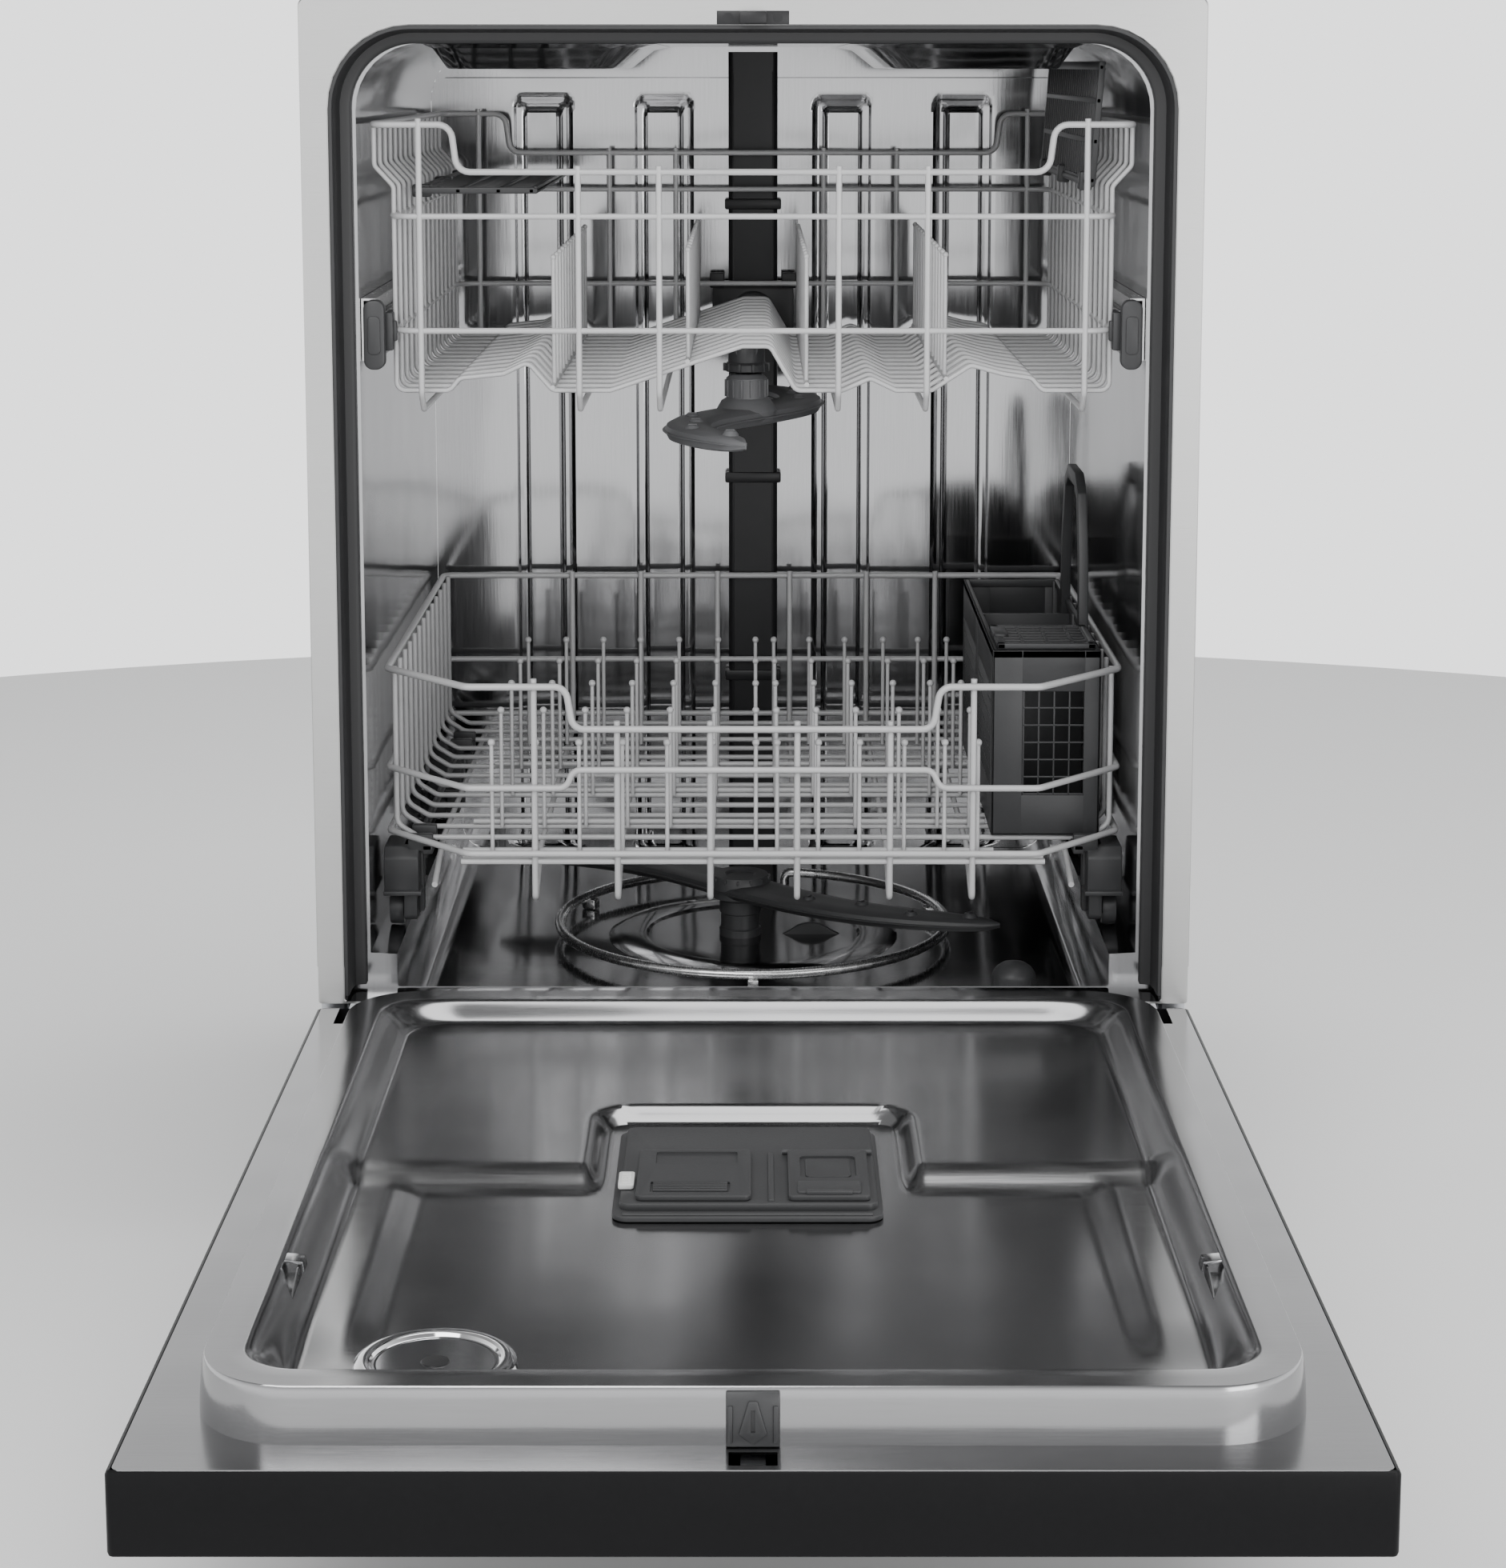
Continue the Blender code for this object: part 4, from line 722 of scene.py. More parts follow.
def tub_wrap():
    t, lip, foot, r = SHEET, 0.002, 0.02, CORNER
    back = TUB_BACK - 0.0015
    turn = 0.0007
    sections = [
        (TUB_HALF, TUB_FLOOR, TUB_CEILING, back, r, LEDGE, foot),
        (TUB_HALF, TUB_FLOOR, TUB_CEILING, SILL_BACK, r, LEDGE, foot),
        (TUB_HALF, SILL_Z, TUB_CEILING, MOUTH_DEPTH, r, LEDGE, lip),
        (MOUTH_HALF, SILL_Z - 0.0004, MOUTH_TOP, MOUTH_DEPTH, r + 0.01, 0.0002, lip),
        (MOUTH_HALF, SILL_Z - 0.0006, MOUTH_TOP, turn, r + 0.01, 0.0002, lip),
        (MOUTH_HALF + turn, SILL_Z - 0.0008, MOUTH_TOP + turn, 0, r + 0.0107, 0.0002, lip),
        (HALF - turn, SILL_Z - 0.0022, TOP - turn, 0, 0.006, 0.0004, lip),
        (HALF, SILL_Z - 0.0024, TOP, turn, 0.006, 0.0005, lip),
        (HALF, SILL_Z - 0.0024, TOP, t, 0.006, 0.0005, lip),
        (MOUTH_HALF + t, SILL_Z - 0.0022, MOUTH_TOP + t, t, r + 0.0115, 0.0005, lip),
        (MOUTH_HALF + t, SILL_Z - 0.0021, MOUTH_TOP + t, MOUTH_DEPTH + t, r + 0.0115, 0.0005, lip),
        (TUB_HALF + t, SILL_Z - 0.0018, TUB_CEILING + t, MOUTH_DEPTH + t, r + t, LEDGE, lip),
        (TUB_HALF + t, TUB_FLOOR - t, TUB_CEILING + t, SILL_BACK + t, r + t, LEDGE, foot + t),
        (TUB_HALF + t, TUB_FLOOR - t, TUB_CEILING + t, back, r + t, LEDGE, foot + t),
    ]
    return loft([tub_section(*sizes) for sizes in sections], ring=True)


SUMP_LOW, SUMP_HIGH = extent("sump")
SUMP_Y = (SUMP_LOW.y + SUMP_HIGH.y) / 2
SUMP_RADIUS = SUMP_HIGH.x
wrap = cut_out(tub_wrap(), turned([(SUMP_RADIUS + GAP, TUB_FLOOR - 0.02),
                                   (SUMP_RADIUS + GAP, TUB_FLOOR + 0.02)],
                                  (0, SUMP_Y, 0)))
print("tub wrap:", len(wrap.polygons), "faces")

# %% Ceiling ribs, floor dish and the tub piece
def ceiling_rib():
    """A broad tapered rib pressed down from the ceiling, on the right."""
    def level(grow, z):
        return [(x, y, z) for x, y in rounded((0.098 - grow, 0.214 + grow * 0.5),
                                              (0.105 - grow, 0.47 + grow), 0.02)]
    top = TUB_CEILING - 0.0002
    return loft([level(0.031, top), level(0.018, top - 0.003), level(0.002, top - 0.016),
                 level(0, top - 0.017), level(-0.006, top - 0.0172)][::-1])


floor_dish = turned([(SUMP_RADIUS + 0.001, TUB_FLOOR + 0.0005), (SUMP_RADIUS + 0.003, TUB_FLOOR + 0.0022),
                     (SUMP_RADIUS + 0.022, TUB_FLOOR + 0.003), (SUMP_RADIUS + 0.032, TUB_FLOOR + 0.0002),
                     (SUMP_RADIUS + 0.001, TUB_FLOOR + 0.0002)], (0, SUMP_Y, 0), steps=64)
rib = ceiling_rib()
tub = piece("tub_wrap", [wrap, rib, mirror_x(rib), floor_dish], TUB_STEEL, "cabinet",
            ["tub_shell"], angle=24)
tub.data.materials.append(FLANGE_STEEL)
for face in tub.data.polygons:
    if abs(face.center.y - DECK) < SHEET and abs(face.normal.y) > 0.5:
        face.material_index = 1

# %% [markdown]
# ## The back wall
#
# Four channels with rounded tops are pressed into the back wall.  The channels follow a
# rule, so a tree makes them: the distance from the middle is folded twice, so that one
# rounded outline serves all four, and two smooth steps across that outline push the sheet
# back.  The grid it works on is drawn to the tub's rounded section.

# %% Pressed wall tree
def make_pressing_tree():
    tree, given, result = shape_tree(
        "pressed_channels", ("Pair centre", FLOAT, 0.125), ("Half spacing", FLOAT, 0.0505),
        ("Half width", FLOAT, 0.0247), ("Top height", FLOAT, 0.7925), ("Top radius", FLOAT, 0.007),
        ("Depth", FLOAT, 0.003))
    place = tree.nodes.new("GeometryNodeInputPosition")
    axes = add(tree, "ShaderNodeSeparateXYZ", Vector=place.outputs[0])

    def less(a, b):
        return calc(tree, "SUBTRACT", a, b)

    def size(a):
        return calc(tree, "ABSOLUTE", a)

    folded = size(less(size(axes.outputs[0]), given["Pair centre"]))
    across = size(less(folded, given["Half spacing"]))
    u = less(across, less(given["Half width"], given["Top radius"]))
    v = less(axes.outputs[2], less(given["Top height"], given["Top radius"]))
    corner = add(tree, "ShaderNodeCombineXYZ", X=calc(tree, "MAXIMUM", u, 0.0),
                 Y=calc(tree, "MAXIMUM", v, 0.0))
    outside = add(tree, "ShaderNodeVectorMath", {"operation": "LENGTH"}, Vector=corner.outputs[0])
    inside = calc(tree, "MINIMUM", calc(tree, "MAXIMUM", u, v), 0.0)
    distance = less(calc(tree, "ADD", outside.outputs["Value"], inside), given["Top radius"])
    steps = []
    for start, end in ((0.0, -0.003), (-0.008, -0.0115)):
        ramp = add(tree, "ShaderNodeMapRange", {"interpolation_type": "SMOOTHSTEP"}, Value=distance,
                   From_Min=start, From_Max=end, To_Min=0.0, To_Max=1.0)
        steps.append(ramp.outputs[0])
    push = calc(tree, "MULTIPLY", calc(tree, "ADD", steps[0], calc(tree, "MULTIPLY", steps[1], 1.4)),
                given["Depth"])
    offset = add(tree, "ShaderNodeCombineXYZ", Y=push)
    moved = add(tree, "GeometryNodeSetPosition", Geometry=given["Geometry"], Offset=offset.outputs[0])
    return close_tree(tree, moved.outputs[0], given, result)


PRESSING_TREE = make_pressing_tree()


def half_at(z):
    """Half width of the tub's section at a height."""
    foot = 0.02
    if z > TUB_CEILING - CORNER:
        rise = z - TUB_CEILING + CORNER
        return TUB_HALF - CORNER + sqrt(max(CORNER ** 2 - rise ** 2, 0))
    if z < TUB_FLOOR + foot:
        drop = TUB_FLOOR + foot - z
        return TUB_HALF - LEDGE - foot + sqrt(max(foot ** 2 - drop ** 2, 0))
    return TUB_HALF if z > RIM_TOP - 0.0005 else TUB_HALF - LEDGE


def wall_grid(y, columns=250, rows=190):
    """A sheet at depth y, drawn to the tub's section."""
    heights = sorted(spread(TUB_FLOOR, TUB_CEILING, rows) + [RIM_TOP - 0.0006, RIM_TOP])
    bm = bmesh.new()
    grid = []
    for z in heights:
        half = half_at(z)
        grid.append([bm.verts.new((half * (2 * i / columns - 1), y, z)) for i in range(columns + 1)])
    for a, b in zip(grid, grid[1:]):
        for i in range(columns):
            bm.faces.new((a[i], a[i + 1], b[i + 1], b[i]))
    mesh = bpy.data.meshes.new("wall")
    bm.to_mesh(mesh)
    bm.free()
    return mesh


def thickened(mesh, thickness):
    """A sheet given a wall behind it, with its rim closed."""
    sheet = linked("sheet", mesh)
    step = sheet.modifiers.new("wall", "SOLIDIFY")
    step.thickness = thickness
    step.offset = -1
    return plain_mesh(sheet)


pressed = grown(PRESSING_TREE, wall_grid(TUB_BACK - 0.0006), TUB_STEEL)
fold_z = 0.8085
fold = block((-TUB_HALF + 0.012, TUB_HALF - 0.012), (TUB_BACK - 0.0016, TUB_BACK - 0.0004),
             (fold_z, fold_z + 0.0008), 0.0002)
piece("tub_back_wall", [thickened(pressed, 0.0009), fold], TUB_STEEL, "cabinet", angle=40)

# %% [markdown]
# ## The seal and the feed pipe
#
# The rubber seal lines the channel behind the flange and ends in a soft lip that meets the
# door's rim.  It is one section carried round an arch.  The feed pipe is a flat moulding
# clipped to the back wall, with a dock where the upper rack's arm plugs in.

# %% Door seal
def seal():
    half, top, low = MOUTH_HALF - 0.0002, MOUTH_TOP - 0.0002, SILL_Z + 0.003
    radius = CORNER + 0.01
    section = [(0, 0.0012), (0.0022, 0.0012), (0.003, 0.0026), (0.003, 0.018), (0.004, 0.025),
               (0.0044, 0.0278), (0.009, 0.0286), (0.0112, 0.0292), (0.0116, 0.03), (0.0116, 0.0335),
               (0, 0.0337)]
    stations = [((half, low), (-1, 0)), ((half, (low + top) / 2), (-1, 0))]
    for cx, start in ((half - radius, 0), (-half + radius, 90)):
        for i in range(17):
            a = radians(start + 90 * i / 16)
            stations.append(((cx + radius * cos(a), top - radius + radius * sin(a)), (-cos(a), -sin(a))))
    stations += [((-half, (low + top) / 2), (1, 0)), ((-half, low), (1, 0))]
    return loft([[(p[0] + n * d[0], y, p[1] + n * d[1]) for n, y in section] for p, d in stations])


piece("door_seal", [seal()], RUBBER, "cabinet", ["door_gasket"], angle=50)

# %% Feed pipe
def feed_pipe():
    wall = TUB_BACK - 0.0008
    half = PIPE_HIGH.x
    shell = slab((-half, half), (wall - 0.013, wall), 0.005, TUB_FLOOR + GAP, TUB_CEILING - 0.004)
    crease = [block(about(x, 0.0006), (wall - 0.0136, wall - 0.012), (0.18, TUB_CEILING - 0.02), 0.0003)
              for x in (-0.0165, 0.0165)]
    clips = [block((-0.0235, 0.0235), (wall - 0.0145, wall - 0.001), (z, z + 0.009), 0.0015)
             for z in (0.3, 0.47, 0.7)]
    front = PIPE_LOW.y
    dock = [turned([(0.015, front), (0.019, front + 0.002), (0.02, wall - 0.008)], (0, 0, 0.6135), "Y")]
    plate = prism(rounded((-0.034, 0.034), (0.588, 0.641), 0.008), "Y", front + 0.003, wall - 0.012, 0.0012)
    ears = [block((s * 0.03 - 0.006, s * 0.03 + 0.006), (front + 0.001, front + 0.006),
                  (0.635, 0.648), 0.0012)
            for s in (-1, 1)]
    return [shell, plate] + crease + clips + dock + ears


piece("feed_pipe", feed_pipe(), BLACK_PLASTIC, "cabinet", ["feed_conduit"])

# %% [markdown]
# ## The upper rack
#
# The rack hangs between two slides.  A heavy rail runs round the top and dips at the front
# and the back so that tall glasses clear it.  Fifteen light wires run down one side, under
# the dishes and up the other, and their floor is waved so that cups tilt and drain.  Heavier
# wires run front to back and hook under the floor, and four rows of tines stand on it.

# %% Upper rack sizes
WIRE = 0.0022
UPPER_LOW, UPPER_HIGH = extent("upper_rack")
U_FRONT, U_BACK = UPPER_LOW.y + WIRE, UPPER_HIGH.y - WIRE
U_TOP_HALF = UPPER_HIGH.x - WIRE
U_TOP = UPPER_HIGH.z - WIRE
U_HALF = U_TOP_HALF - 0.013
U_DIP, U_MID, U_LOW, U_FLOOR = U_TOP - 0.032, U_TOP - 0.062, U_TOP - 0.14, U_TOP - 0.182
HEAVY, LIGHT, THIN = 0.0023, 0.0017, 0.0015


def ring_at(half, z, front, back, knee=None, dip=None):
    """A rail round the rack; with a knee it dips at the front and the back."""
    def cross(y, sign):
        if knee is None:
            return [(-sign * half, y, z), (sign * half, y, z)]
        k, slope = knee, 0.004
        return [(-sign * half, y, z), (-sign * k, y, z), (-sign * (k - slope), y, dip),
                (sign * (k - slope), y, dip), (sign * k, y, z), (sign * half, y, z)]
    path = cross(front, 1) + cross(back, -1)
    middle = (-half, (front + back) / 2, z)
    return [middle] + path + [middle]


print(f"upper rack {1000 * (U_BACK - U_FRONT):.0f} mm deep, {2000 * U_TOP_HALF:.0f} mm wide")

# %% Upper rack wires
def upper_floor_wave():
    """Floor of one cross wire as (x, height above the floor)."""
    return [(-0.2455, 0), (-0.209, 0), (-0.202, 0.0085), (-0.172, 0.0115), (-0.155, 0.0195), (-0.138, 0),
            (-0.0985, 0), (-0.0075, 0.0305), (0.012, 0.0305), (0.0295, 0), (0.0615, 0), (0.081, 0.0085),
            (0.0985, 0), (0.123, 0), (0.15, 0.0175), (0.172, 0.0115), (0.192, 0.0085), (0.1995, 0),
            (0.2455, 0)]


def upper_rib():
    side = [(U_TOP_HALF, U_TOP), (U_TOP_HALF, U_DIP + 0.004), (U_HALF, U_DIP - 0.01)]
    path = [(-x, z) for x, z in side] + [(x, U_FLOOR + z) for x, z in upper_floor_wave()] + side[::-1]
    return [(x, U_FRONT + 0.012, z) for x, z in path]


def upper_hoop(x, top):
    """A heavy wire from the top rail, under the floor, and up at the back."""
    under = U_FLOOR - 0.013
    return [(x, U_FRONT - 0.0005, top + 0.004), (x, U_FRONT - 0.0005, under + 0.012),
            (x, U_FRONT + 0.012, under), (x, U_BACK - 0.012, under), (x, U_BACK, under + 0.012),
            (x, U_BACK, top + 0.004)]


RIBS = 15
rib_pitch = (U_BACK - U_FRONT - 0.024) / (RIBS - 1)
upper = [
    wires([ring_at(U_TOP_HALF, U_TOP, U_FRONT, U_BACK, 0.205, U_DIP)], HEAVY, 0.01),
    wires([ring_at(U_HALF + 0.001, U_MID, U_FRONT, U_BACK)], 0.0021, 0.016),
    wires([ring_at(U_HALF + 0.001, U_LOW, U_FRONT, U_BACK)], 0.0021, 0.02),
    wires([upper_rib()], LIGHT, 0.006, copies=RIBS, pitch=(0, rib_pitch, 0), sides=8),
    wires([upper_hoop(x, U_TOP) for x in (-0.227, 0.227)]
          + [upper_hoop(x, U_DIP) for x in (-0.119, -0.064, 0.0585, 0.119)], 0.0021, 0.006),
]
print("rib pitch", round(rib_pitch * 1000, 1), "mm")

# %% Upper rack tines
TINES = 13
tine_pitch = (U_BACK - U_FRONT - 0.06) / (TINES - 1)
for x, base in ((-0.138, 0.0), (-0.045, 0.018), (0.037, 0.002), (0.133, 0.006)):
    foot = U_FLOOR + base + 0.002
    upper.append(wires([[(x, U_FRONT + 0.03, foot), (x, U_FRONT + 0.03, 0.688 + base * 0.3)]], THIN,
                       copies=TINES, pitch=(0, tine_pitch, 0), ball=0.0021, sides=8))
    upper.append(wires([[(x, U_FRONT + 0.01, foot), (x, U_BACK - 0.01, foot)]], LIGHT))
piece("upper_rack_wires", upper, COATED_WIRE, "upper_rack", ["upper_rack"], angle=60)

# %% [markdown]
# ## Slides, end caps and the pipe under the upper rack
#
# Each rack rail is a bright bar in a steel channel; its front end carries a tall moulded cap
# that a finger can find.  The arm's feed pipe runs under the floor wires to the dock.

# %% Slides and caps
RAIL_LOW, RAIL_HIGH = extent("rail_inner_right")


def slide_bar():
    mid, half = (RAIL_LOW.z + RAIL_HIGH.z) / 2, (RAIL_HIGH.z - RAIL_LOW.z) / 2
    x0, x1 = RAIL_LOW.x, RAIL_HIGH.x
    section = [(x1, mid + half), (x0 + 0.002, mid + half), (x0, mid + half - 0.002), (x0, mid + 0.006),
               (x0 + 0.0025, mid + 0.004), (x0 + 0.0025, mid - 0.004), (x0, mid - 0.006),
               (x0, mid - half + 0.002), (x0 + 0.002, mid - half), (x1, mid - half)]
    return prism(section, "Y", RAIL_LOW.y + 0.004, RAIL_HIGH.y, 0.0004)


def end_cap():
    """Tall cap on the bar's front end, with the clip that holds the rack's wires."""
    x0, x1 = 0.251, 0.2655
    face = prism(rounded((x0, x1), (0.6135, 0.661), 0.0062), "Y", RAIL_LOW.y - 0.0065, RAIL_LOW.y
                 + 0.004, 0.0016)
    finger = prism(rounded((x0 + 0.003, x1 - 0.003), (0.624, 0.65), 0.003), "Y", RAIL_LOW.y - 0.0078,
                   RAIL_LOW.y - 0.005, 0.0006)
    clip = block((0.2462, 0.252), (RAIL_LOW.y + 0.002, RAIL_LOW.y + 0.034), (0.626, 0.652), 0.001)
    hook = block((0.244, 0.248), (RAIL_LOW.y + 0.006, RAIL_LOW.y + 0.012), (0.632, 0.646), 0.001)
    return [face, finger, clip, hook]


for word, flip in SIDES:
    piece("slide_bar_" + word, [flip(slide_bar())], RAIL_STEEL, "upper_rack", ["rail_inner_" + word])
    piece("slide_cap_" + word, [flip(m) for m in end_cap()], DARK_GREY, "upper_rack")

# %% Feed pipe under the rack
ARM_LOW, ARM_HIGH = extent("middle_spray_arm")
ARM_X = (ARM_LOW.x + ARM_HIGH.x) / 2
ARM_Y = (ARM_LOW.y + ARM_HIGH.y) / 2
TUBE_LOW, TUBE_HIGH = extent("middle_feed_tube")
pipe_z = TUBE_HIGH.z - 0.009


def rack_pipe():
    run = turned([(0.0088, ARM_Y - 0.012), (0.0088, TUBE_HIGH.y - 0.024), (0.0105, TUBE_HIGH.y - 0.022),
                  (0.0105, TUBE_HIGH.y - 0.014), (0.0088, TUBE_HIGH.y - 0.012), (0.0088, TUBE_HIGH.y)],
                 (ARM_X, 0, pipe_z), "Y", 32)
    socket = turned([(0.0125, TUBE_LOW.z + 0.0002), (0.0165, TUBE_LOW.z + 0.0012),
                     (0.0165, TUBE_LOW.z + 0.006),
                     (0.014, TUBE_LOW.z + 0.008), (0.014, pipe_z), (0.0105, pipe_z + 0.006),
                     (0.004, pipe_z + 0.0085)], (ARM_X, ARM_Y, 0), "Z", 40)
    lugs = in_ring(block((0.0155, 0.0178), (-0.0012, 0.0012),
                         (TUBE_LOW.z + 0.001, TUBE_LOW.z + 0.007), 0.0004),
                   DARK_GREY, 10, (ARM_X, ARM_Y, 0))
    return [run, socket, lugs]


piece("rack_feed_pipe", rack_pipe(), DARK_GREY, "upper_rack", ["middle_feed_tube"])

# %% [markdown]
# ## Spray arms
#
# A spray arm is two moulded shells welded along a seam, bent in an S so that its jets drive
# it round.  Its section is a flattened hexagon that narrows to a round tip, and the jets are
# small raised cones with a slot, set along the arm.

# %% Spray arm
def s_arm(reach, half_width, bend, low, thick, steps=44):
    """Two welded shells along an S-shaped line, about the origin."""
    loops = []
    for i in range(steps + 1):
        t = -1 + 2 * i / steps
        tip = sqrt(max(1 - abs(t) ** 7, 0.0))
        w = max(half_width * (1 - 0.35 * abs(t)) * tip, 0.0006)
        h = thick * (0.35 + 0.65 * tip) / 2
        x, y = bend * sin(pi * t), reach * t
        slope = bend * pi * cos(pi * t) / reach
        nx, ny = 1 / hypot(1, slope), -slope / hypot(1, slope)
        mid = low + thick / 2
        section = [(1.0, 0.0), (1.0, 0.1), (0.9, 0.14), (0.84, 0.6), (0.62, 0.94), (0.3, 1.0), (-0.3, 1.0),
                   (-0.62, 0.94), (-0.84, 0.6), (-0.9, 0.14), (-1.0, 0.1), (-1.0, 0.0), (-0.9, -0.12),
                   (-0.78, -0.75), (-0.45, -1.0), (0.45, -1.0), (0.78, -0.75), (0.9, -0.12)]
        loops.append([(x + nx * w * a, y + ny * w * a, mid + h * b) for a, b in section])
    return loft(loops)


def jet(reach, bend, t, across, top):
    """A raised cone with a slot across it, set on the arm at a share t of its reach."""
    x, y = bend * sin(pi * t) + across, reach * t
    cone = turned([(0.0062, top - 0.0015), (0.0052, top + 0.0006), (0.0038, top + 0.0022),
                   (0.0026, top + 0.0024), (0.002, top + 0.0012)], (x, y, 0), steps=18)
    slot = block(about(x, 0.0032), about(y, 0.0006), (top + 0.0015, top + 0.003), 0.0002)
    return [cone, slot]


def spray_arm(reach, half_width, bend, low, thick, hub, ribs, finish):
    top = low + thick
    parts = [s_arm(reach, half_width, bend, low, thick)]
    for t, across in ((-0.9, 0.002), (-0.72, -0.006), (-0.52, 0.005), (-0.33, -0.004), (0.33, 0.004),
                      (0.52, -0.005), (0.72, 0.006), (0.9, -0.002)):
        parts += jet(reach, bend, t, across, top - 0.0004)
    parts.append(turned(hub, (0, 0, 0)))
    radius, z0, z1 = ribs
    parts.append(in_ring(block((radius - 0.001, radius + 0.0012), (-0.0009, 0.0009), (z0, z1), 0.0003),
                         finish, 14, (0, 0, 0)))
    return parts


def at(meshes, x, y, turn=0.0):
    for mesh in meshes:
        mesh.transform(Matrix.Translation((x, y, 0)) @ Matrix.Rotation(turn, 4, "Z"))
    return meshes


low = ARM_LOW.z
hub_top = ARM_HIGH.z
arm = spray_arm(0.195, 0.0235, 0.042, low, 0.014,
                [(0.01, low + 0.001), (0.021, low + 0.004), (0.023, low + 0.012), (0.019, low + 0.019),
                 (0.0155, low + 0.021), (0.0155, hub_top - 0.004), (0.012, hub_top - 0.0006)],
                (0.0155, low + 0.022, hub_top - 0.005), MID_GREY)
piece("middle_arm", at(arm, ARM_X, ARM_Y), MID_GREY, "middle_spray_arm", ["middle_spray_arm"], angle=38)

COLUMN_LOW, COLUMN_HIGH = extent("arm_column")
column_x = (COLUMN_LOW.x + COLUMN_HIGH.x) / 2
low = extent("lower_spray_arm")[0].z + 0.001
arm = spray_arm(0.223, 0.0255, 0.022, low, 0.0115,
                [(0.0095, low - 0.0008), (0.0235, low - 0.0002), (0.0238, low + 0.012),
                 (0.0215, low + 0.0165),
                 (0.012, low + 0.0168), (0.01, low + 0.015)], (0.0225, low + 0.012, low + 0.0155), DARK_GREY)
piece("lower_arm", at(arm, column_x, SUMP_Y, radians(60)), DARK_GREY, "lower_spray_arm",
      ["lower_spray_arm"], angle=38)

# %% [markdown]
# ## Cup shelves
#
# A moulded shelf with a scalloped slat for each cup folds out of the way on each side.  The
# left one is down and the right one is up, so one shelf is drawn lying flat and the other is
# the same shelf swung about its pivot.

# %% Cup shelf
SHELF_LOW, SHELF_HIGH = extent("cup_shelf_left")
SHELF_Y0, SHELF_Y1 = SHELF_LOW.y, SHELF_HIGH.y
PIVOT_X, PIVOT_Z = SHELF_LOW.x, SHELF_HIGH.z
REACH = SHELF_HIGH.x - SHELF_LOW.x


def shelf_slat(x0, x1, y, z):
    """One slat with two shallow scallops along its top."""
    steps = 18
    outline = []
    for i in range(steps + 1):
        s = i / steps
        outline.append((x0 + (x1 - x0) * s, z - 0.0016 * abs(sin(2 * pi * s))))
    outline += [(x1, z - 0.0038), (x0, z - 0.0038)]
    return prism(outline, "Y", y - 0.0016, y + 0.0016, 0.0004)


def cup_shelf():
    """The shelf lying to the right of a pivot on the left wall."""
    x0, x1, z = PIVOT_X, PIVOT_X + REACH - 0.001, PIVOT_Z
    count = 24
    pitch = (SHELF_Y1 - SHELF_Y0 - 0.016) / (count - 1)
    slats = in_grid(shelf_slat(x0 + 0.004, x1 - 0.003, SHELF_Y0 + 0.008, z), DARK_GREY, count, (0, pitch, 0))
    rails = [block((a, b), (SHELF_Y0, SHELF_Y1), (z - 0.0039, z - 0.0002), 0.0008)
             for a, b in ((x0 + 0.001, x0 + 0.007), (x0 + 0.03, x0 + 0.034), (x0 + 0.058, x0 + 0.062),
                          (x1 - 0.006, x1))]
    ends = [block((x0 + 0.003, x1 - 0.002), (y, y + 0.005), (z - 0.0039, z + 0.0006), 0.0009)
            for y in (SHELF_Y0, SHELF_Y1 - 0.005)]
    lip = block((x1 - 0.003, x1), (SHELF_Y0 + 0.004, SHELF_Y1 - 0.004), (z - 0.003, z + 0.0012), 0.0009)
    rod = turned([(0.003, SHELF_Y0 + 0.006), (0.003, SHELF_Y1 - 0.006)], (x0 + 0.003, 0, z - 0.002), "Y", 16)
    clips = [block((x0 - 0.003, x0 + 0.01), (y, y + 0.014), (z - 0.0075, z + 0.0015), 0.0015)
             for y in (SHELF_Y0 + 0.03, (SHELF_Y0 + SHELF_Y1) / 2, SHELF_Y1 - 0.044)]
    return [slats, lip, rod] + rails + ends + clips


piece("cup_shelf_down", cup_shelf(), DARK_GREY, "cup_shelf_left", ["cup_shelf_left"])
raised = [turned_about(mirror_x(m), (-PIVOT_X, 0, PIVOT_Z), "Y", radians(94)) for m in cup_shelf()]
piece("cup_shelf_up", raised, DARK_GREY, "cup_shelf_right", ["cup_shelf_right"])

# %% [markdown]
# ## The lower rack
#
# The lower rack rolls on the door's rim, so its front corners are cut back to clear the
# rim's round corners.  Its rails step down in the middle to let large plates in, and the
# front wires drop below the floor in hooks before they turn back under the rack.

# %% Lower rack sizes and rails
LOWER_LOW, LOWER_HIGH = extent("lower_rack")
L_FRONT, L_BACK = LOWER_LOW.y + WIRE, LOWER_HIGH.y - WIRE
L_HALF = LOWER_HIGH.x - WIRE
L_TOP = LOWER_HIGH.z - WIRE
L_FLOOR = LOWER_LOW.z + WIRE
L_DIP, L_MID, L_RISE, L_LOW = L_TOP - 0.03, L_TOP - 0.072, L_TOP - 0.059, L_TOP - 0.119
FRONT_HALF, CHAMFER = 0.2, 0.069


def lower_ring(z, mid=None):
    """A rail with cut corners; with a second height it steps in the middle of the front."""
    knee, slope = 0.128, 0.0025
    front = [(-FRONT_HALF, L_FRONT, z), (FRONT_HALF, L_FRONT, z)]
    if mid is not None:
        front[1:1] = [(-knee - slope, L_FRONT, z), (-knee + slope, L_FRONT, mid),
                      (knee - slope, L_FRONT, mid), (knee + slope, L_FRONT, z)]
    middle = (-L_HALF, (L_FRONT + L_BACK) / 2, z)
    return [middle, (-L_HALF, L_FRONT + CHAMFER, z)] + front + [
        (L_HALF, L_FRONT + CHAMFER, z), (L_HALF, L_BACK, z), (-L_HALF, L_BACK, z), middle]


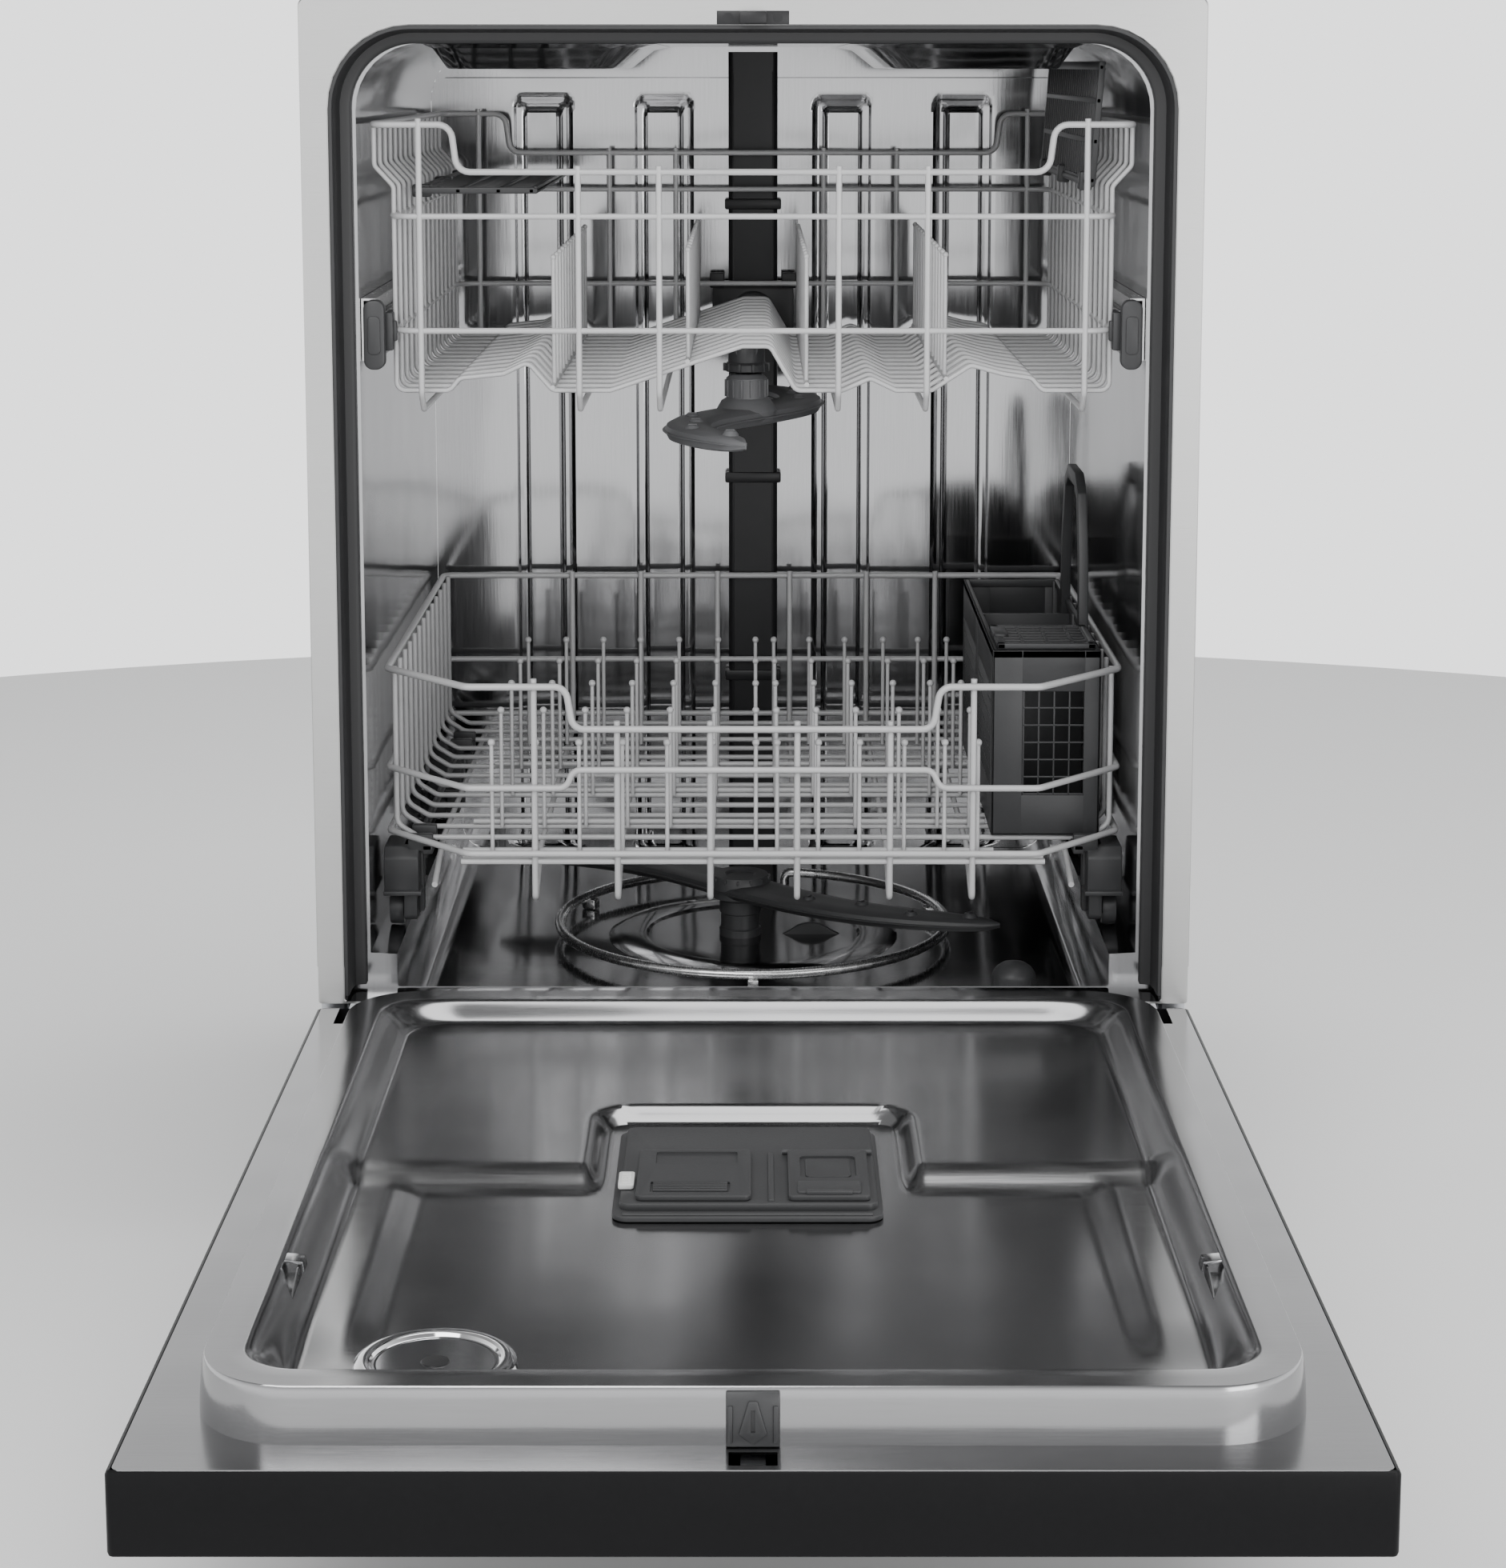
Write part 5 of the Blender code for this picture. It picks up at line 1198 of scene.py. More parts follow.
lower = [wires([lower_ring(L_TOP, L_DIP)], 0.0025, 0.009), wires([lower_ring(L_MID, L_RISE)], 0.0023, 0.008),
         wires([lower_ring(L_LOW)], 0.0023, 0.012)]
print("lower rack rails at", [round(z, 4) for z in (L_LOW, L_MID, L_TOP)])

# %% Lower rack wires
def lower_rib():
    """A cross wire: down one side, over the floor and up the other."""
    y = L_FRONT + CHAMFER + 0.008
    inner = L_HALF - 0.0042
    return [(-inner, y, L_TOP), (-inner, y, L_FLOOR + 0.01), (-inner + 0.016, y, L_FLOOR),
            (inner - 0.016, y, L_FLOOR), (inner, y, L_FLOOR + 0.01), (inner, y, L_TOP)]


def hook_wire(x, top, back_top):
    """A front wire that hooks under the floor, runs back and climbs the rear rails."""
    hook = L_FLOOR - 0.028
    under = L_FLOOR - 0.0038
    return [(x, L_FRONT + 0.004, top + 0.005), (x, L_FRONT + 0.004, hook), (x, L_FRONT + 0.06, under),
            (x, L_BACK - 0.004, under), (x, L_BACK - 0.004, back_top + 0.004)]


LOWER_RIBS = 13
lower_pitch = (L_BACK - L_FRONT - CHAMFER - 0.016) / (LOWER_RIBS - 1)
lower += [
    wires([lower_rib()], 0.002, 0.01, copies=LOWER_RIBS, pitch=(0, lower_pitch, 0)),
    wires([hook_wire(x, L_TOP if abs(x) > 0.13 else L_DIP, L_TOP)
           for x in (-0.153, -0.095, -0.03, 0.031, 0.096, 0.154)], 0.0022, 0.004),
    wires([[(-0.205, L_FRONT + y, L_FLOOR), (0.205, L_FRONT + y, L_FLOOR)] for y in (0.006, 0.02)], 0.0021),
    wires([[(x, L_FRONT + 0.026, L_FLOOR - 0.022), (x, L_FRONT + 0.09, L_FLOOR - 0.0038),
            (x, L_BACK - 0.012, L_FLOOR - 0.0038)] for x in (-0.226, 0.226)], 0.0021, 0.02),
]
print("lower rib pitch", round(lower_pitch * 1000, 1), "mm")

# %% Lower rack tines
def tine_row(xs, y, top, lean):
    """A row of plate tines with round tips; each leans a little along X."""
    return wires([[(x, y, L_FLOOR + 0.001), (x + lean * 0.4, y, L_FLOOR + 0.03), (x + lean, y, top)]
                  for x in xs], THIN, 0.01, ball=0.0027, sides=8)


LEFT_TINES = (-0.184, -0.153, -0.1225, -0.092, -0.0605, -0.0285, 0.002)
RIGHT_TINES = (0.017, 0.046, 0.075, 0.1065, 0.135, 0.1585)
for i, y in enumerate((0.058, 0.144, 0.246, 0.338, 0.43)):
    top = L_TOP - (0.0435 if i == 0 else 0.038)
    lower.append(tine_row(LEFT_TINES, y, top, 0.0))
    lower.append(tine_row(RIGHT_TINES, y, top, 0.0))
    lower.append(wires([[(-0.205, y + 0.0035, L_FLOOR + 0.004), (0.17, y + 0.0035, L_FLOOR + 0.004)]], 0.002))
piece("lower_rack_wires", lower, COATED_WIRE, "lower_rack", ["lower_rack"], angle=60)

# %% [markdown]
# ## Wheels and their brackets
#
# Four moulded brackets clip over the wires and carry a wheel each.  The wheel has a rubbed
# tread, a dished face and five spokes, so that its turning can be seen.

# %% Wheel brackets
def wheel_bracket(y, z, inner, outer):
    """A bracket for one wheel on the right: a hood, a cheek beside the wheel and two clips."""
    top = L_FLOOR - WIRE + 0.001
    cheek = prism(rounded(about(y, 0.017), (z - 0.006, top), 0.005), "X", inner, outer, 0.0007)
    hood = prism([(y - 0.022, z + 0.0145), (y + 0.022, z + 0.0145), (y + 0.022, top - 0.008),
                  (y + 0.016, top),
                  (y - 0.016, top), (y - 0.022, top - 0.008)], "X", inner - 0.002, outer + 0.0135, 0.0014)
    brim = block((inner - 0.004, outer + 0.014), about(y, 0.024), (z + 0.014, z + 0.0175), 0.001)
    rib = block((inner - 0.004, inner), about(y, 0.006), (z - 0.002, top - 0.002), 0.001)
    clip = [block((inner - 0.012, inner + 0.006), (y + s * 0.0145 - 0.0035, y + s * 0.0145 + 0.0035),
                  (top - 0.004, top + 0.0085), 0.0014) for s in (-1, 1)]
    bridge = block((inner - 0.012, inner - 0.004), about(y, 0.018), (top - 0.006, top + 0.001), 0.0012)
    return [cheek, hood, brim, rib, bridge] + clip


def wheel(x0, x1, y, z, radius):
    """A wheel on an X axle: tread, dished face, five spokes and a cap."""
    tread = turned([(radius * 0.78, x0 + 0.001), (radius * 0.97, x0), (radius, x0 + 0.0012),
                    (radius, x1 - 0.0012), (radius * 0.97, x1), (radius * 0.78, x1 - 0.0008),
                    (radius * 0.74, x1 - 0.0025), (radius * 0.74, x0 + 0.0025)], (0, 0, 0), "X", 40)
    hub = turned([(0.0034, x0 + 0.0004), (0.005, x0 + 0.0004), (0.005, x1 - 0.0006), (0.0034, x1 - 0.0002)],
                 (0, 0, 0), "X", 24)
    spokes = []
    for i in range(5):
        spoke = block((x0 + 0.002, x1 - 0.002), (-0.0012, 0.0012), (0.004, radius * 0.78), 0.0003)
        spoke.transform(Matrix.Rotation(2 * pi * i / 5, 4, "X"))
        spokes.append(spoke)
    parts = [tread, hub] + spokes
    for mesh in parts:
        mesh.transform(Matrix.Translation((0, y, z)))
    return parts


CARRIER_LOW = extent("wheel_carrier_right")[0]
for word, flip in SIDES:
    brackets = []
    for place in ("front", "rear"):
        w_low, w_high = extent(f"wheel_{place}_right")
        y, z, radius = (w_low.y + w_high.y) / 2, (w_low.z + w_high.z) / 2, (w_high.z - w_low.z) / 2
        brackets += wheel_bracket(y, z, CARRIER_LOW.x + 0.001, w_low.x - 0.001)
        parts = [flip(m) for m in wheel(w_low.x, w_high.x, y, z, radius)]
        piece(f"roller_{place}_{word}", parts, DARK_GREY, f"wheel_{place}_{word}",
              [f"wheel_{place}_{word}"])
    bar = block((CARRIER_LOW.x + 0.001, CARRIER_LOW.x + 0.0045), (0.13, 0.42),
                (L_FLOOR - WIRE - 0.0085, L_FLOOR - WIRE - 0.0005), 0.0012)
    piece("wheel_brackets_" + word, [flip(m) for m in brackets + [bar]], DARK_GREY, "lower_rack",
          ["wheel_carrier_" + word])

# %% [markdown]
# ## The silverware basket
#
# A tall basket with walls of moulded grille, a top that slopes down to the front, and an
# arched handle.  A grille is one bar repeated along a row and another repeated up a column.

# %% Basket grille and walls
BASKET_LOW, BASKET_HIGH = extent("silverware_basket")
LID_LOW, LID_HIGH = extent("basket_lid")
B_X = (BASKET_LOW.x, BASKET_HIGH.x)
B_Y = (BASKET_LOW.y, BASKET_HIGH.y)
B_FLOOR = BASKET_LOW.z
B_TOP = LID_LOW.z - GAP
B_WALL = 0.0022


def grille(corner, across, up, columns, rows, bar=0.0012, depth=0.0016):
    """Bars filling a window whose corner, width vector and height are given."""
    a = Vector(across)
    unit = a.normalized()
    thin = Vector((abs(unit.y), abs(unit.x), 0)) * depth
    c = Vector(corner)
    upright = block((0, abs(unit.x) * bar + thin.x), (0, abs(unit.y) * bar + thin.y), (0, up), 0.0003)
    upright.transform(Matrix.Translation(c))
    level = block((0, abs(a.x) + thin.x), (0, abs(a.y) + thin.y), (0, bar), 0.0003)
    level.transform(Matrix.Translation(c))
    step = a / columns
    return [in_grid(upright, DARK_GREY, columns + 1, tuple(step)),
            in_grid(level, DARK_GREY, rows + 1, (0, 0, up / rows))]


def wall_with_window(x, y, z, window_span, window_z, axis):
    """A thin wall with one window, as four blocks round the hole."""
    w0, w1 = window_span
    z0, z1 = window_z
    span, lap = x if axis == "X" else y, (w0 - 0.001, w1 + 0.001)
    bars = (((span[0], w0), z), ((w1, span[1]), z), (lap, (z[0], z0)), (lap, (z1, z[1])))
    return [block(along, y, up) if axis == "X" else block(x, along, up) for along, up in bars]


def basket_walls():
    w, (x0, x1), (y0, y1) = B_WALL, B_X, B_Y
    z = (B_FLOOR, B_TOP)
    parts = [block((x0, x1), (y0, y1), (B_FLOOR, B_FLOOR + 0.0024), 0.0009)]
    window_z = (B_FLOOR + 0.03, B_TOP - 0.03)
    height = window_z[1] - window_z[0]
    for y in (y0, y1 - w):
        parts += wall_with_window((x0, x1), (y, y + w), z, (x0 + 0.022, x1 - 0.012), window_z, "X")
        parts += grille((x0 + 0.022, y + 0.0003, window_z[0]), (x1 - x0 - 0.034, 0, 0), height, 4, 6)
    for x in (x0, x1 - w):
        for a, b in ((y0, (y0 + y1) / 2), ((y0 + y1) / 2, y1)):
            parts += wall_with_window((x, x + w), (a, b), z, (a + 0.014, b - 0.014), window_z, "Y")
            parts += grille((x + 0.0003, a + 0.014, window_z[0]), (0, b - a - 0.028, 0), height, 14, 6)
    for y in (y0 + (y1 - y0) / 3, y0 + 2 * (y1 - y0) / 3):
        parts.append(block((x0 + w, x1 - w), about(y, 0.001), (B_FLOOR + 0.002, B_TOP - 0.01), 0.0004))
    return parts


def basket_handle():
    """An arch of flat section standing on the basket's right wall."""
    mid = (B_Y[0] + B_Y[1]) / 2
    x0, x1 = B_X[1] - 0.0078, B_X[1] - 0.0006
    line = [(mid - 0.07, B_TOP - 0.02), (mid - 0.062, B_TOP + 0.05), (mid - 0.046, BASKET_HIGH.z - 0.016),
            (mid - 0.026, BASKET_HIGH.z - 0.006), (mid + 0.026, BASKET_HIGH.z - 0.006),
            (mid + 0.046, BASKET_HIGH.z - 0.016), (mid + 0.062, B_TOP + 0.05), (mid + 0.07, B_TOP - 0.02)]
    outer, inner = [], []
    for i, (y, z) in enumerate(line):
        before, after = line[max(i - 1, 0)], line[min(i + 1, len(line) - 1)]
        along = Vector((after[0] - before[0], after[1] - before[1])).normalized()
        half = 0.0056
        outer.append((y - along.y * half, z + along.x * half))
        inner.append((y + along.y * half, z - along.x * half))
    return prism(outer + inner[::-1], "X", x0, x1, 0.0012)


def bars_round(x, y, z, width):
    """Four bars along the sides of a rectangle."""
    return [block((x[0], x[0] + width), y, z), block((x[1] - width, x[1]), y, z),
            block(x, (y[0], y[0] + width), z), block(x, (y[1] - width, y[1]), z)]


def basket_rim():
    (x0, x1), (y0, y1) = B_X, B_Y
    z = (B_TOP - 0.006, B_TOP)
    out = bars_round(B_X, B_Y, z, 0.0042)
    posts = [block(about(x, 0.0028), about(y, 0.0028), (B_FLOOR, B_TOP - 0.001), 0.0012)
             for x in (x0 + 0.0029, x1 - 0.0029) for y in (y0 + 0.0029, (y0 + y1) / 2, y1 - 0.0029)]
    return out + posts


piece("basket_body", basket_walls() + basket_rim() + [basket_handle()], DARK_GREY, "silverware_basket",
      ["silverware_basket"])

# %% Basket lid
def basket_lid():
    (x0, x1), (y0, y1) = (LID_LOW.x, LID_HIGH.x), (LID_LOW.y, LID_HIGH.y)
    z = (LID_LOW.z, LID_HIGH.z)
    rim = bars_round((x0, x1), (y0, y1), z, 0.006)
    slots_across = in_grid(block((x0 + 0.004, x1 - 0.004), (y0 + 0.017, y0 + 0.0195),
                                 (z[0] + 0.0004, z[1] - 0.0004),
                                 0.0005), DARK_GREY, 6, (0, (y1 - y0 - 0.006) / 6.5, 0))
    slots_along = in_grid(block((x0 + 0.018, x0 + 0.0205), (y0 + 0.003, y1 - 0.003),
                                (z[0] + 0.0006, z[1] - 0.0006), 0.0005), DARK_GREY, 3, ((x1 - x0) / 4, 0, 0))
    tab = slab((x0 - 0.0005, x0 + 0.01), (y0 + 0.03, y0 + 0.06), 0.004, z[0], z[1] + 0.0015, 0.0006)
    barrel = turned([(0.0026, y0 + 0.01), (0.0026, y1 - 0.01)], (x1 - 0.0026, 0, z[0] + 0.0022), "Y", 16)
    return rim + [slots_across, slots_along, tab, barrel]


piece("basket_flap", basket_lid(), DARK_GREY, "basket_lid", ["basket_lid"])

# %% [markdown]
# ## The door liner
#
# The liner is one steel pressing.  Its height at any point depends on two distances: how far
# the point lies inside the rim's outer rounded rectangle, and how far outside the tray's.
# Blending between the two gives the sloping inner wall without drawing it.

# %% Door liner height
RIM_HALF, RIM_FAR, RIM_NEAR = 0.2695, -0.707, -0.056
FLANGE_Z = TRAY_Z - 0.008
TRAY_HALF, TRAY_FAR, TRAY_NEAR = 0.225, -0.668, -0.094
RISE, RIM_FLAT = 0.003, 0.0185
CHAMBER_LOW, CHAMBER_HIGH = extent("dispenser_housing")
HINGE_LOW, HINGE_HIGH = extent("hinge_arm_right")
HINGE_Z = (HINGE_LOW.z + HINGE_HIGH.z) / 2
HINGE_Y = HINGE_HIGH.y - (HINGE_HIGH.z - HINGE_LOW.z) / 2


def inside_rounded(x, y, half, low, high, radius):
    """How far a point lies inside a rounded rectangle; negative outside it."""
    cy, hy = (low + high) / 2, (high - low) / 2
    dx = abs(x) - (half - radius)
    dy = abs(y - cy) - (hy - radius)
    outside = hypot(max(dx, 0.0), max(dy, 0.0))
    return radius - outside - min(max(dx, dy), 0.0)


def smooth(t):
    t = min(max(t, 0.0), 1.0)
    return t * t * (3 - 2 * t)


def tray_floor(x, y):
    """The tray: a step up toward the hinge, recessed again round the dispenser."""
    step = 0.0085 * smooth((y + 0.396) / 0.034)
    around = inside_rounded(x, y, 0.094, CHAMBER_LOW.y - 0.018, CHAMBER_HIGH.y + 0.03, 0.024)
    step *= 1 - smooth((around + 0.004) / 0.012)
    side = smooth((abs(x) - 0.186) / 0.022) * smooth((y + 0.64) / 0.06)
    return TRAY_Z + max(step, 0.003 * side)


def liner_height(x, y):
    rim = inside_rounded(x, y, RIM_HALF, RIM_FAR, RIM_NEAR, 0.05)
    if rim <= 0:
        return FLANGE_Z
    if rim < RISE:
        return FLANGE_Z + (RIM_TOP - FLANGE_Z) * sin(pi / 2 * rim / RISE) ** 0.7
    past = rim - RISE - RIM_FLAT
    if past <= 0:
        return RIM_TOP
    tray = -inside_rounded(x, y, TRAY_HALF, TRAY_FAR, TRAY_NEAR, 0.03)
    floor = tray_floor(x, y)
    if tray <= 0:
        return floor
    return RIM_TOP + (floor - RIM_TOP) * smooth(past / (past + tray))


def level_line(half, low, high, radius, sides=64, turns=14):
    """A rounded rectangle with the same count of points whatever its size."""
    r = max(min(radius, half * 0.9, (high - low) * 0.45), 0.0005)
    corners = ((half - r, high - r, 0), (-half + r, high - r, 90), (-half + r, low + r, 180),
               (half - r, low + r, 270))
    turned_corners = [arc(cx, cy, r, start, 90, turns) for cx, cy, start in corners]
    line = []
    for k, corner in enumerate(turned_corners):
        a, b = Vector(corner[-1]), Vector(turned_corners[(k + 1) % 4][0])
        line += corner + [tuple(a.lerp(b, i / sides)) for i in range(1, sides)]
    return line


def contour_lines():
    """Rounded rectangles from the liner's edge to the middle of its tray, close where it is steep."""
    edge = (LINER_HIGH.x, LINER_LOW.y, LINER_HIGH.y, 0.004)
    rim = (RIM_HALF, RIM_FAR, RIM_NEAR, 0.05)
    tray = (TRAY_HALF, TRAY_FAR, TRAY_NEAR, 0.03)
    past_rim = [0, 0.0002, 0.0005, 0.0009, 0.0014, 0.002, 0.0026, RISE, 0.006, 0.013, RISE + RIM_FLAT]
    inner = [(rim[0] - d, rim[1] + d, rim[2] - d, rim[3] - d) for d in past_rim]
    found = [tuple(a + (b - a) * t for a, b in zip(edge, rim)) for t in (0, 0.35, 0.7, 0.9)] + inner
    found += [tuple(a + (b - a) * i / 18 for a, b in zip(inner[-1], tray)) for i in range(1, 19)]
    middle = (TRAY_NEAR - TRAY_FAR) / 2
    for i in range(1, 84):
        t = i / 84
        found.append((TRAY_HALF * (1 - t), TRAY_FAR + middle * t, TRAY_NEAR - middle * t, 0.03 * (1 - t)))
    return [level_line(*values) for values in found]


def pressed_door():
    """Contour lines lifted to their height, closed by a skirt and a flat underside."""
    contours = contour_lines()
    bm = bmesh.new()
    rings = [[bm.verts.new((x, y, liner_height(x, y))) for x, y in line] for line in contours]
    rings.insert(0, [bm.verts.new((x, y, LINER_LOW.z)) for x, y in contours[0]])
    for outer, inner in zip(rings, rings[1:]):
        for k, v in enumerate(outer):
            n = (k + 1) % len(outer)
            bm.faces.new((v, outer[n], inner[n], inner[k]))
    bm.faces.new(rings[0])
    bm.faces.new(rings[-1])
    return to_mesh(bm)


def notch_clip(side):
    """A small folded clip with a triangular gusset, on the rim's inner wall."""
    y = -0.548
    gusset = prism([(y - 0.06, TRAY_Z + 0.0012), (y + 0.006, TRAY_Z + 0.0012), (y + 0.006, RIM_TOP - 0.0016),
                    (y - 0.004, RIM_TOP - 0.0016)], "X", side * 0.236, side * 0.2372, 0.0003)
    fold = prism([(0.235, RIM_TOP - 0.001), (0.244, RIM_TOP + 0.0004), (0.244, RIM_TOP + 0.0014),
                  (0.2345, RIM_TOP + 0.0004), (0.2335, RIM_TOP - 0.005), (0.2345, RIM_TOP - 0.005)],
                 "Y", y - 0.001, y + 0.01, 0.0002)
    if side < 0:
        fold = mirror_x(fold)
    return [gusset, fold]


def opened(pressing):
    """The pressing with a slot for the strike and a notch for each hinge plate."""
    strike_low, strike_high = extent("latch_strike")
    strike_y = HINGE_Y - ((strike_low.z + strike_high.z) / 2 - HINGE_Z)
    through = (LINER_LOW.z - 0.01, FLANGE_Z + 0.01)
    cuts = [block((-0.0115, 0.0115), about(strike_y, 0.0072), through, 0)]
    for side in (-1, 1):
        span = sorted(side * (HALF - d) for d in (0.0252, 0.0158))
        cuts.append(block(span, (HINGE_Y - 0.018, LINER_HIGH.y + 0.01), through, 0))
    for shape in cuts:
        pressing = cut_out(pressing, shape)
    return pressing


piece("door_pressing", [opened(pressed_door())] + notch_clip(1) + notch_clip(-1), DOOR_STEEL, "door",
      ["door_liner"])

# %% [markdown]
# ## The door's outside
#
# The black panel is a folded box: its edges are rounded, and the far edge, which is the
# door's top when shut, carries a pocket handle.

# %% Outer panel
SKIN_LOW, SKIN_HIGH = extent("door_outer_panel")
POCKET_LOW, POCKET_HIGH = extent("grip_pocket")
BUTTON_LOW, BUTTON_HIGH = extent("power_button")


def outer_skin():
    """The panel with its pocket opening and the button's hole cut through."""
    low, high = SKIN_LOW, SKIN_HIGH
    outline = rounded((low.x, high.x), (low.y, high.y), 0.0035)
    skin = prism(outline, "Z", low.z, high.z, 0.0022)
    room = block((low.x + 0.0024, high.x - 0.0024), (low.y + 0.0024, high.y - 0.0012),
                 (low.z + 0.0024, high.z + 0.01), 0)
    skin = cut_out(skin, room)
    pocket = slab((POCKET_LOW.x - 0.0006, POCKET_HIGH.x + 0.0006),
                           (POCKET_LOW.y - 0.0006, POCKET_HIGH.y + 0.0006), 0.01,
                   low.z - 0.01, POCKET_HIGH.z + 0.0006, 0)
    middle = (BUTTON_LOW + BUTTON_HIGH) / 2
    radius = (BUTTON_HIGH.x - BUTTON_LOW.x) / 2 + 0.0006
    hole = turned([(radius, low.z - 0.01), (radius, BUTTON_HIGH.z + 0.0006)],
                  (middle.x, middle.y, 0), "Z", 40)
    skin = cut_out(skin, pocket)
    return cut_out(skin, hole)


piece("door_skin", [outer_skin()], BLACK_ENAMEL, "door", ["door_outer_panel"])


def pocket_shell():
    """The finger pocket: a round-cornered cup."""
    low, high = POCKET_LOW, POCKET_HIGH
    cup = slab((low.x, high.x), (low.y, high.y), 0.0095, low.z, high.z, 0.0008)
    hollow = slab((low.x + 0.0025, high.x - 0.0025), (low.y + 0.0025, high.y - 0.0025), 0.008,
                   low.z - 0.01, high.z - 0.0025, 0.003)
    return cut_out(cup, hollow)


piece("pocket_cup", [pocket_shell()], BLACK_PLASTIC, "door", ["grip_pocket"])


def button():
    c = (BUTTON_LOW + BUTTON_HIGH) / 2
    r = (BUTTON_HIGH.x - BUTTON_LOW.x) / 2
    z0, z1 = BUTTON_LOW.z, BUTTON_HIGH.z
    return turned([(0, z0 + 0.0006), (r * 0.55, z0 + 0.0003), (r * 0.86, z0), (r, z0 + 0.0006),
                   (r, z1), (0, z1)],
                  (c.x, c.y, 0), "Z", 40)


piece("round_button", [button()], MID_GREY, "power_button", ["power_button"])

# %% [markdown]
# ## The dispenser
#
# One moulded housing stands in the tray's recess.  A sliding lid covers the detergent cup and
# a hinged one the rinse aid; a white slider beside them lets the lid go.

# %% Dispenser housing
def spans(node):
    low, high = extent(node)
    return (low.x, high.x), (low.y, high.y), (low.z, high.z)


DX, DY, DZ = spans("dispenser_housing")
CUP_X, CUP_Y, LID_Z = spans("detergent_lid")
RINSE_X, RINSE_Y, _ = spans("rinse_aid_cap")
KEY_X, KEY_Y, _ = spans("lid_release")
CUP = (within(CUP_X, 0.006, 0.006), within(CUP_Y, 0.006, 0.006))


def housing():
    """A stepped block with round corners, hollowed for the detergent."""
    foot = slab(within(DX, 0.009, 0.009), within(DY, 0.009, 0.009), 0.01, DZ[0], TRAY_Z + 0.001, 0.001)
    plate = slab(DX, DY, 0.009, TRAY_Z + 0.0004, TRAY_Z + 0.0034, 0.0007)
    top = slab(within(DX, 0.004, 0.003), within(DY, 0.01, 0.004), 0.006, TRAY_Z + 0.003, DZ[1], 0.001)
    well = prism(rounded(*CUP, 0.006), "Z", DZ[1] - 0.03, DZ[1] + 0.01, 0.001)
    return [cut_out(mesh, well) for mesh in (foot, plate, top)]


def ribs_along(x, y, z, count):
    """A block of narrow ribs with equal gaps, to push with a thumb."""
    pitch = (y[1] - y[0]) / count
    rib = block(x, (y[0], y[0] + pitch * 0.55), z, 0.00035)
    return in_grid(rib, DARK_GREY, count, (0, pitch, 0))


dispenser = housing()
dispenser += [block(within(DX, 0.006, 0.006), (DY[0] + 0.0022, DY[0] + 0.006),
                    (TRAY_Z + 0.003, TRAY_Z + 0.0046), 0.0008),
              block((CUP_X[1] + 0.0095, RINSE_X[0] - 0.008), RINSE_Y,
                    (DZ[1] - 0.001, DZ[1] + 0.0012), 0.0005)]
piece("dispenser_body", dispenser, DARK_GREY, "door", ["dispenser_housing"])

# %% Dispenser lids
def detergent_lid():
    """The sliding lid: a recessed window above and a ribbed grip below."""
    plate = slab(CUP_X, CUP_Y, 0.004, *LID_Z, 0.0006)
    window = slab(within(CUP_X, 0.01, 0.008), (CUP_Y[1] - 0.026, CUP_Y[1] - 0.005),
                           0.002, LID_Z[1] - 0.0012, LID_Z[1] + 0.01, 0)
    dish = slab(within(CUP_X, 0.008, 0.012), (CUP_Y[0] + 0.006, CUP_Y[0] + 0.023),
                         0.0015, LID_Z[1] - 0.0012, LID_Z[1] + 0.01, 0)
    lid = cut_out(cut_out(plate, window), dish)
    ribs = ribs_along(within(CUP_X, 0.0095, 0.0135), (CUP_Y[0] + 0.008, CUP_Y[0] + 0.022),
                      (LID_Z[1] - 0.0014, LID_Z[1] + 0.0008), 5)
    return [lid, ribs]


def rinse_cap():
    """The hinged cap: a raised frame, a round-cornered window and a tab to lift."""
    plate = slab(RINSE_X, RINSE_Y, 0.003, *LID_Z, 0.0006)
    window = slab(within(RINSE_X, 0.007, 0.007), within(RINSE_Y, 0.03, 0.012), 0.004, LID_Z[1] - 0.0014,
                  LID_Z[1] + 0.01, 0)
    plate = cut_out(plate, window)
    pane = slab(within(RINSE_X, 0.01, 0.01), within(RINSE_Y, 0.033, 0.015), 0.003, LID_Z[1] - 0.0016,
                LID_Z[1] - 0.0005, 0.0004)
    tab = slab(within(RINSE_X, 0.005, 0.005), (RINSE_Y[0] + 0.003, RINSE_Y[0] + 0.021), 0.002,
               LID_Z[1] - 0.0004, LID_Z[1] + 0.0014, 0.0006)
    lip = block(within(RINSE_X, 0.01, 0.01), (RINSE_Y[0] + 0.0015, RINSE_Y[0] + 0.005),
                (LID_Z[1] - 0.0002, LID_Z[1] + 0.0022), 0.0006)
    pins = [turned([(0.0016, x), (0.0016, x + 0.006)], (0, RINSE_Y[1] - 0.0018, LID_Z[0] + 0.0016), "X", 16)
            for x in (RINSE_X[0] - 0.003, RINSE_X[1] - 0.003)]
    return [plate, pane, tab, lip] + pins


def release_key():
    plate = slab(KEY_X, KEY_Y, 0.0018, *LID_Z, 0.0006)
    ribs = in_grid(block(within(KEY_X, 0.0018, 0.0018), (KEY_Y[0] + 0.003, KEY_Y[0] + 0.0042),
                         (LID_Z[1] - 0.0003, LID_Z[1] + 0.0007), 0.0003), WHITE_PLASTIC, 6, (0, 0.0028, 0))
    return [plate, ribs]


piece("detergent_cover", detergent_lid(), DARK_GREY, "detergent_lid", ["detergent_lid"])
piece("rinse_cover", rinse_cap(), DARK_GREY, "rinse_aid_cap", ["rinse_aid_cap"])
piece("release_slider", release_key(), WHITE_PLASTIC, "lid_release", ["lid_release"])

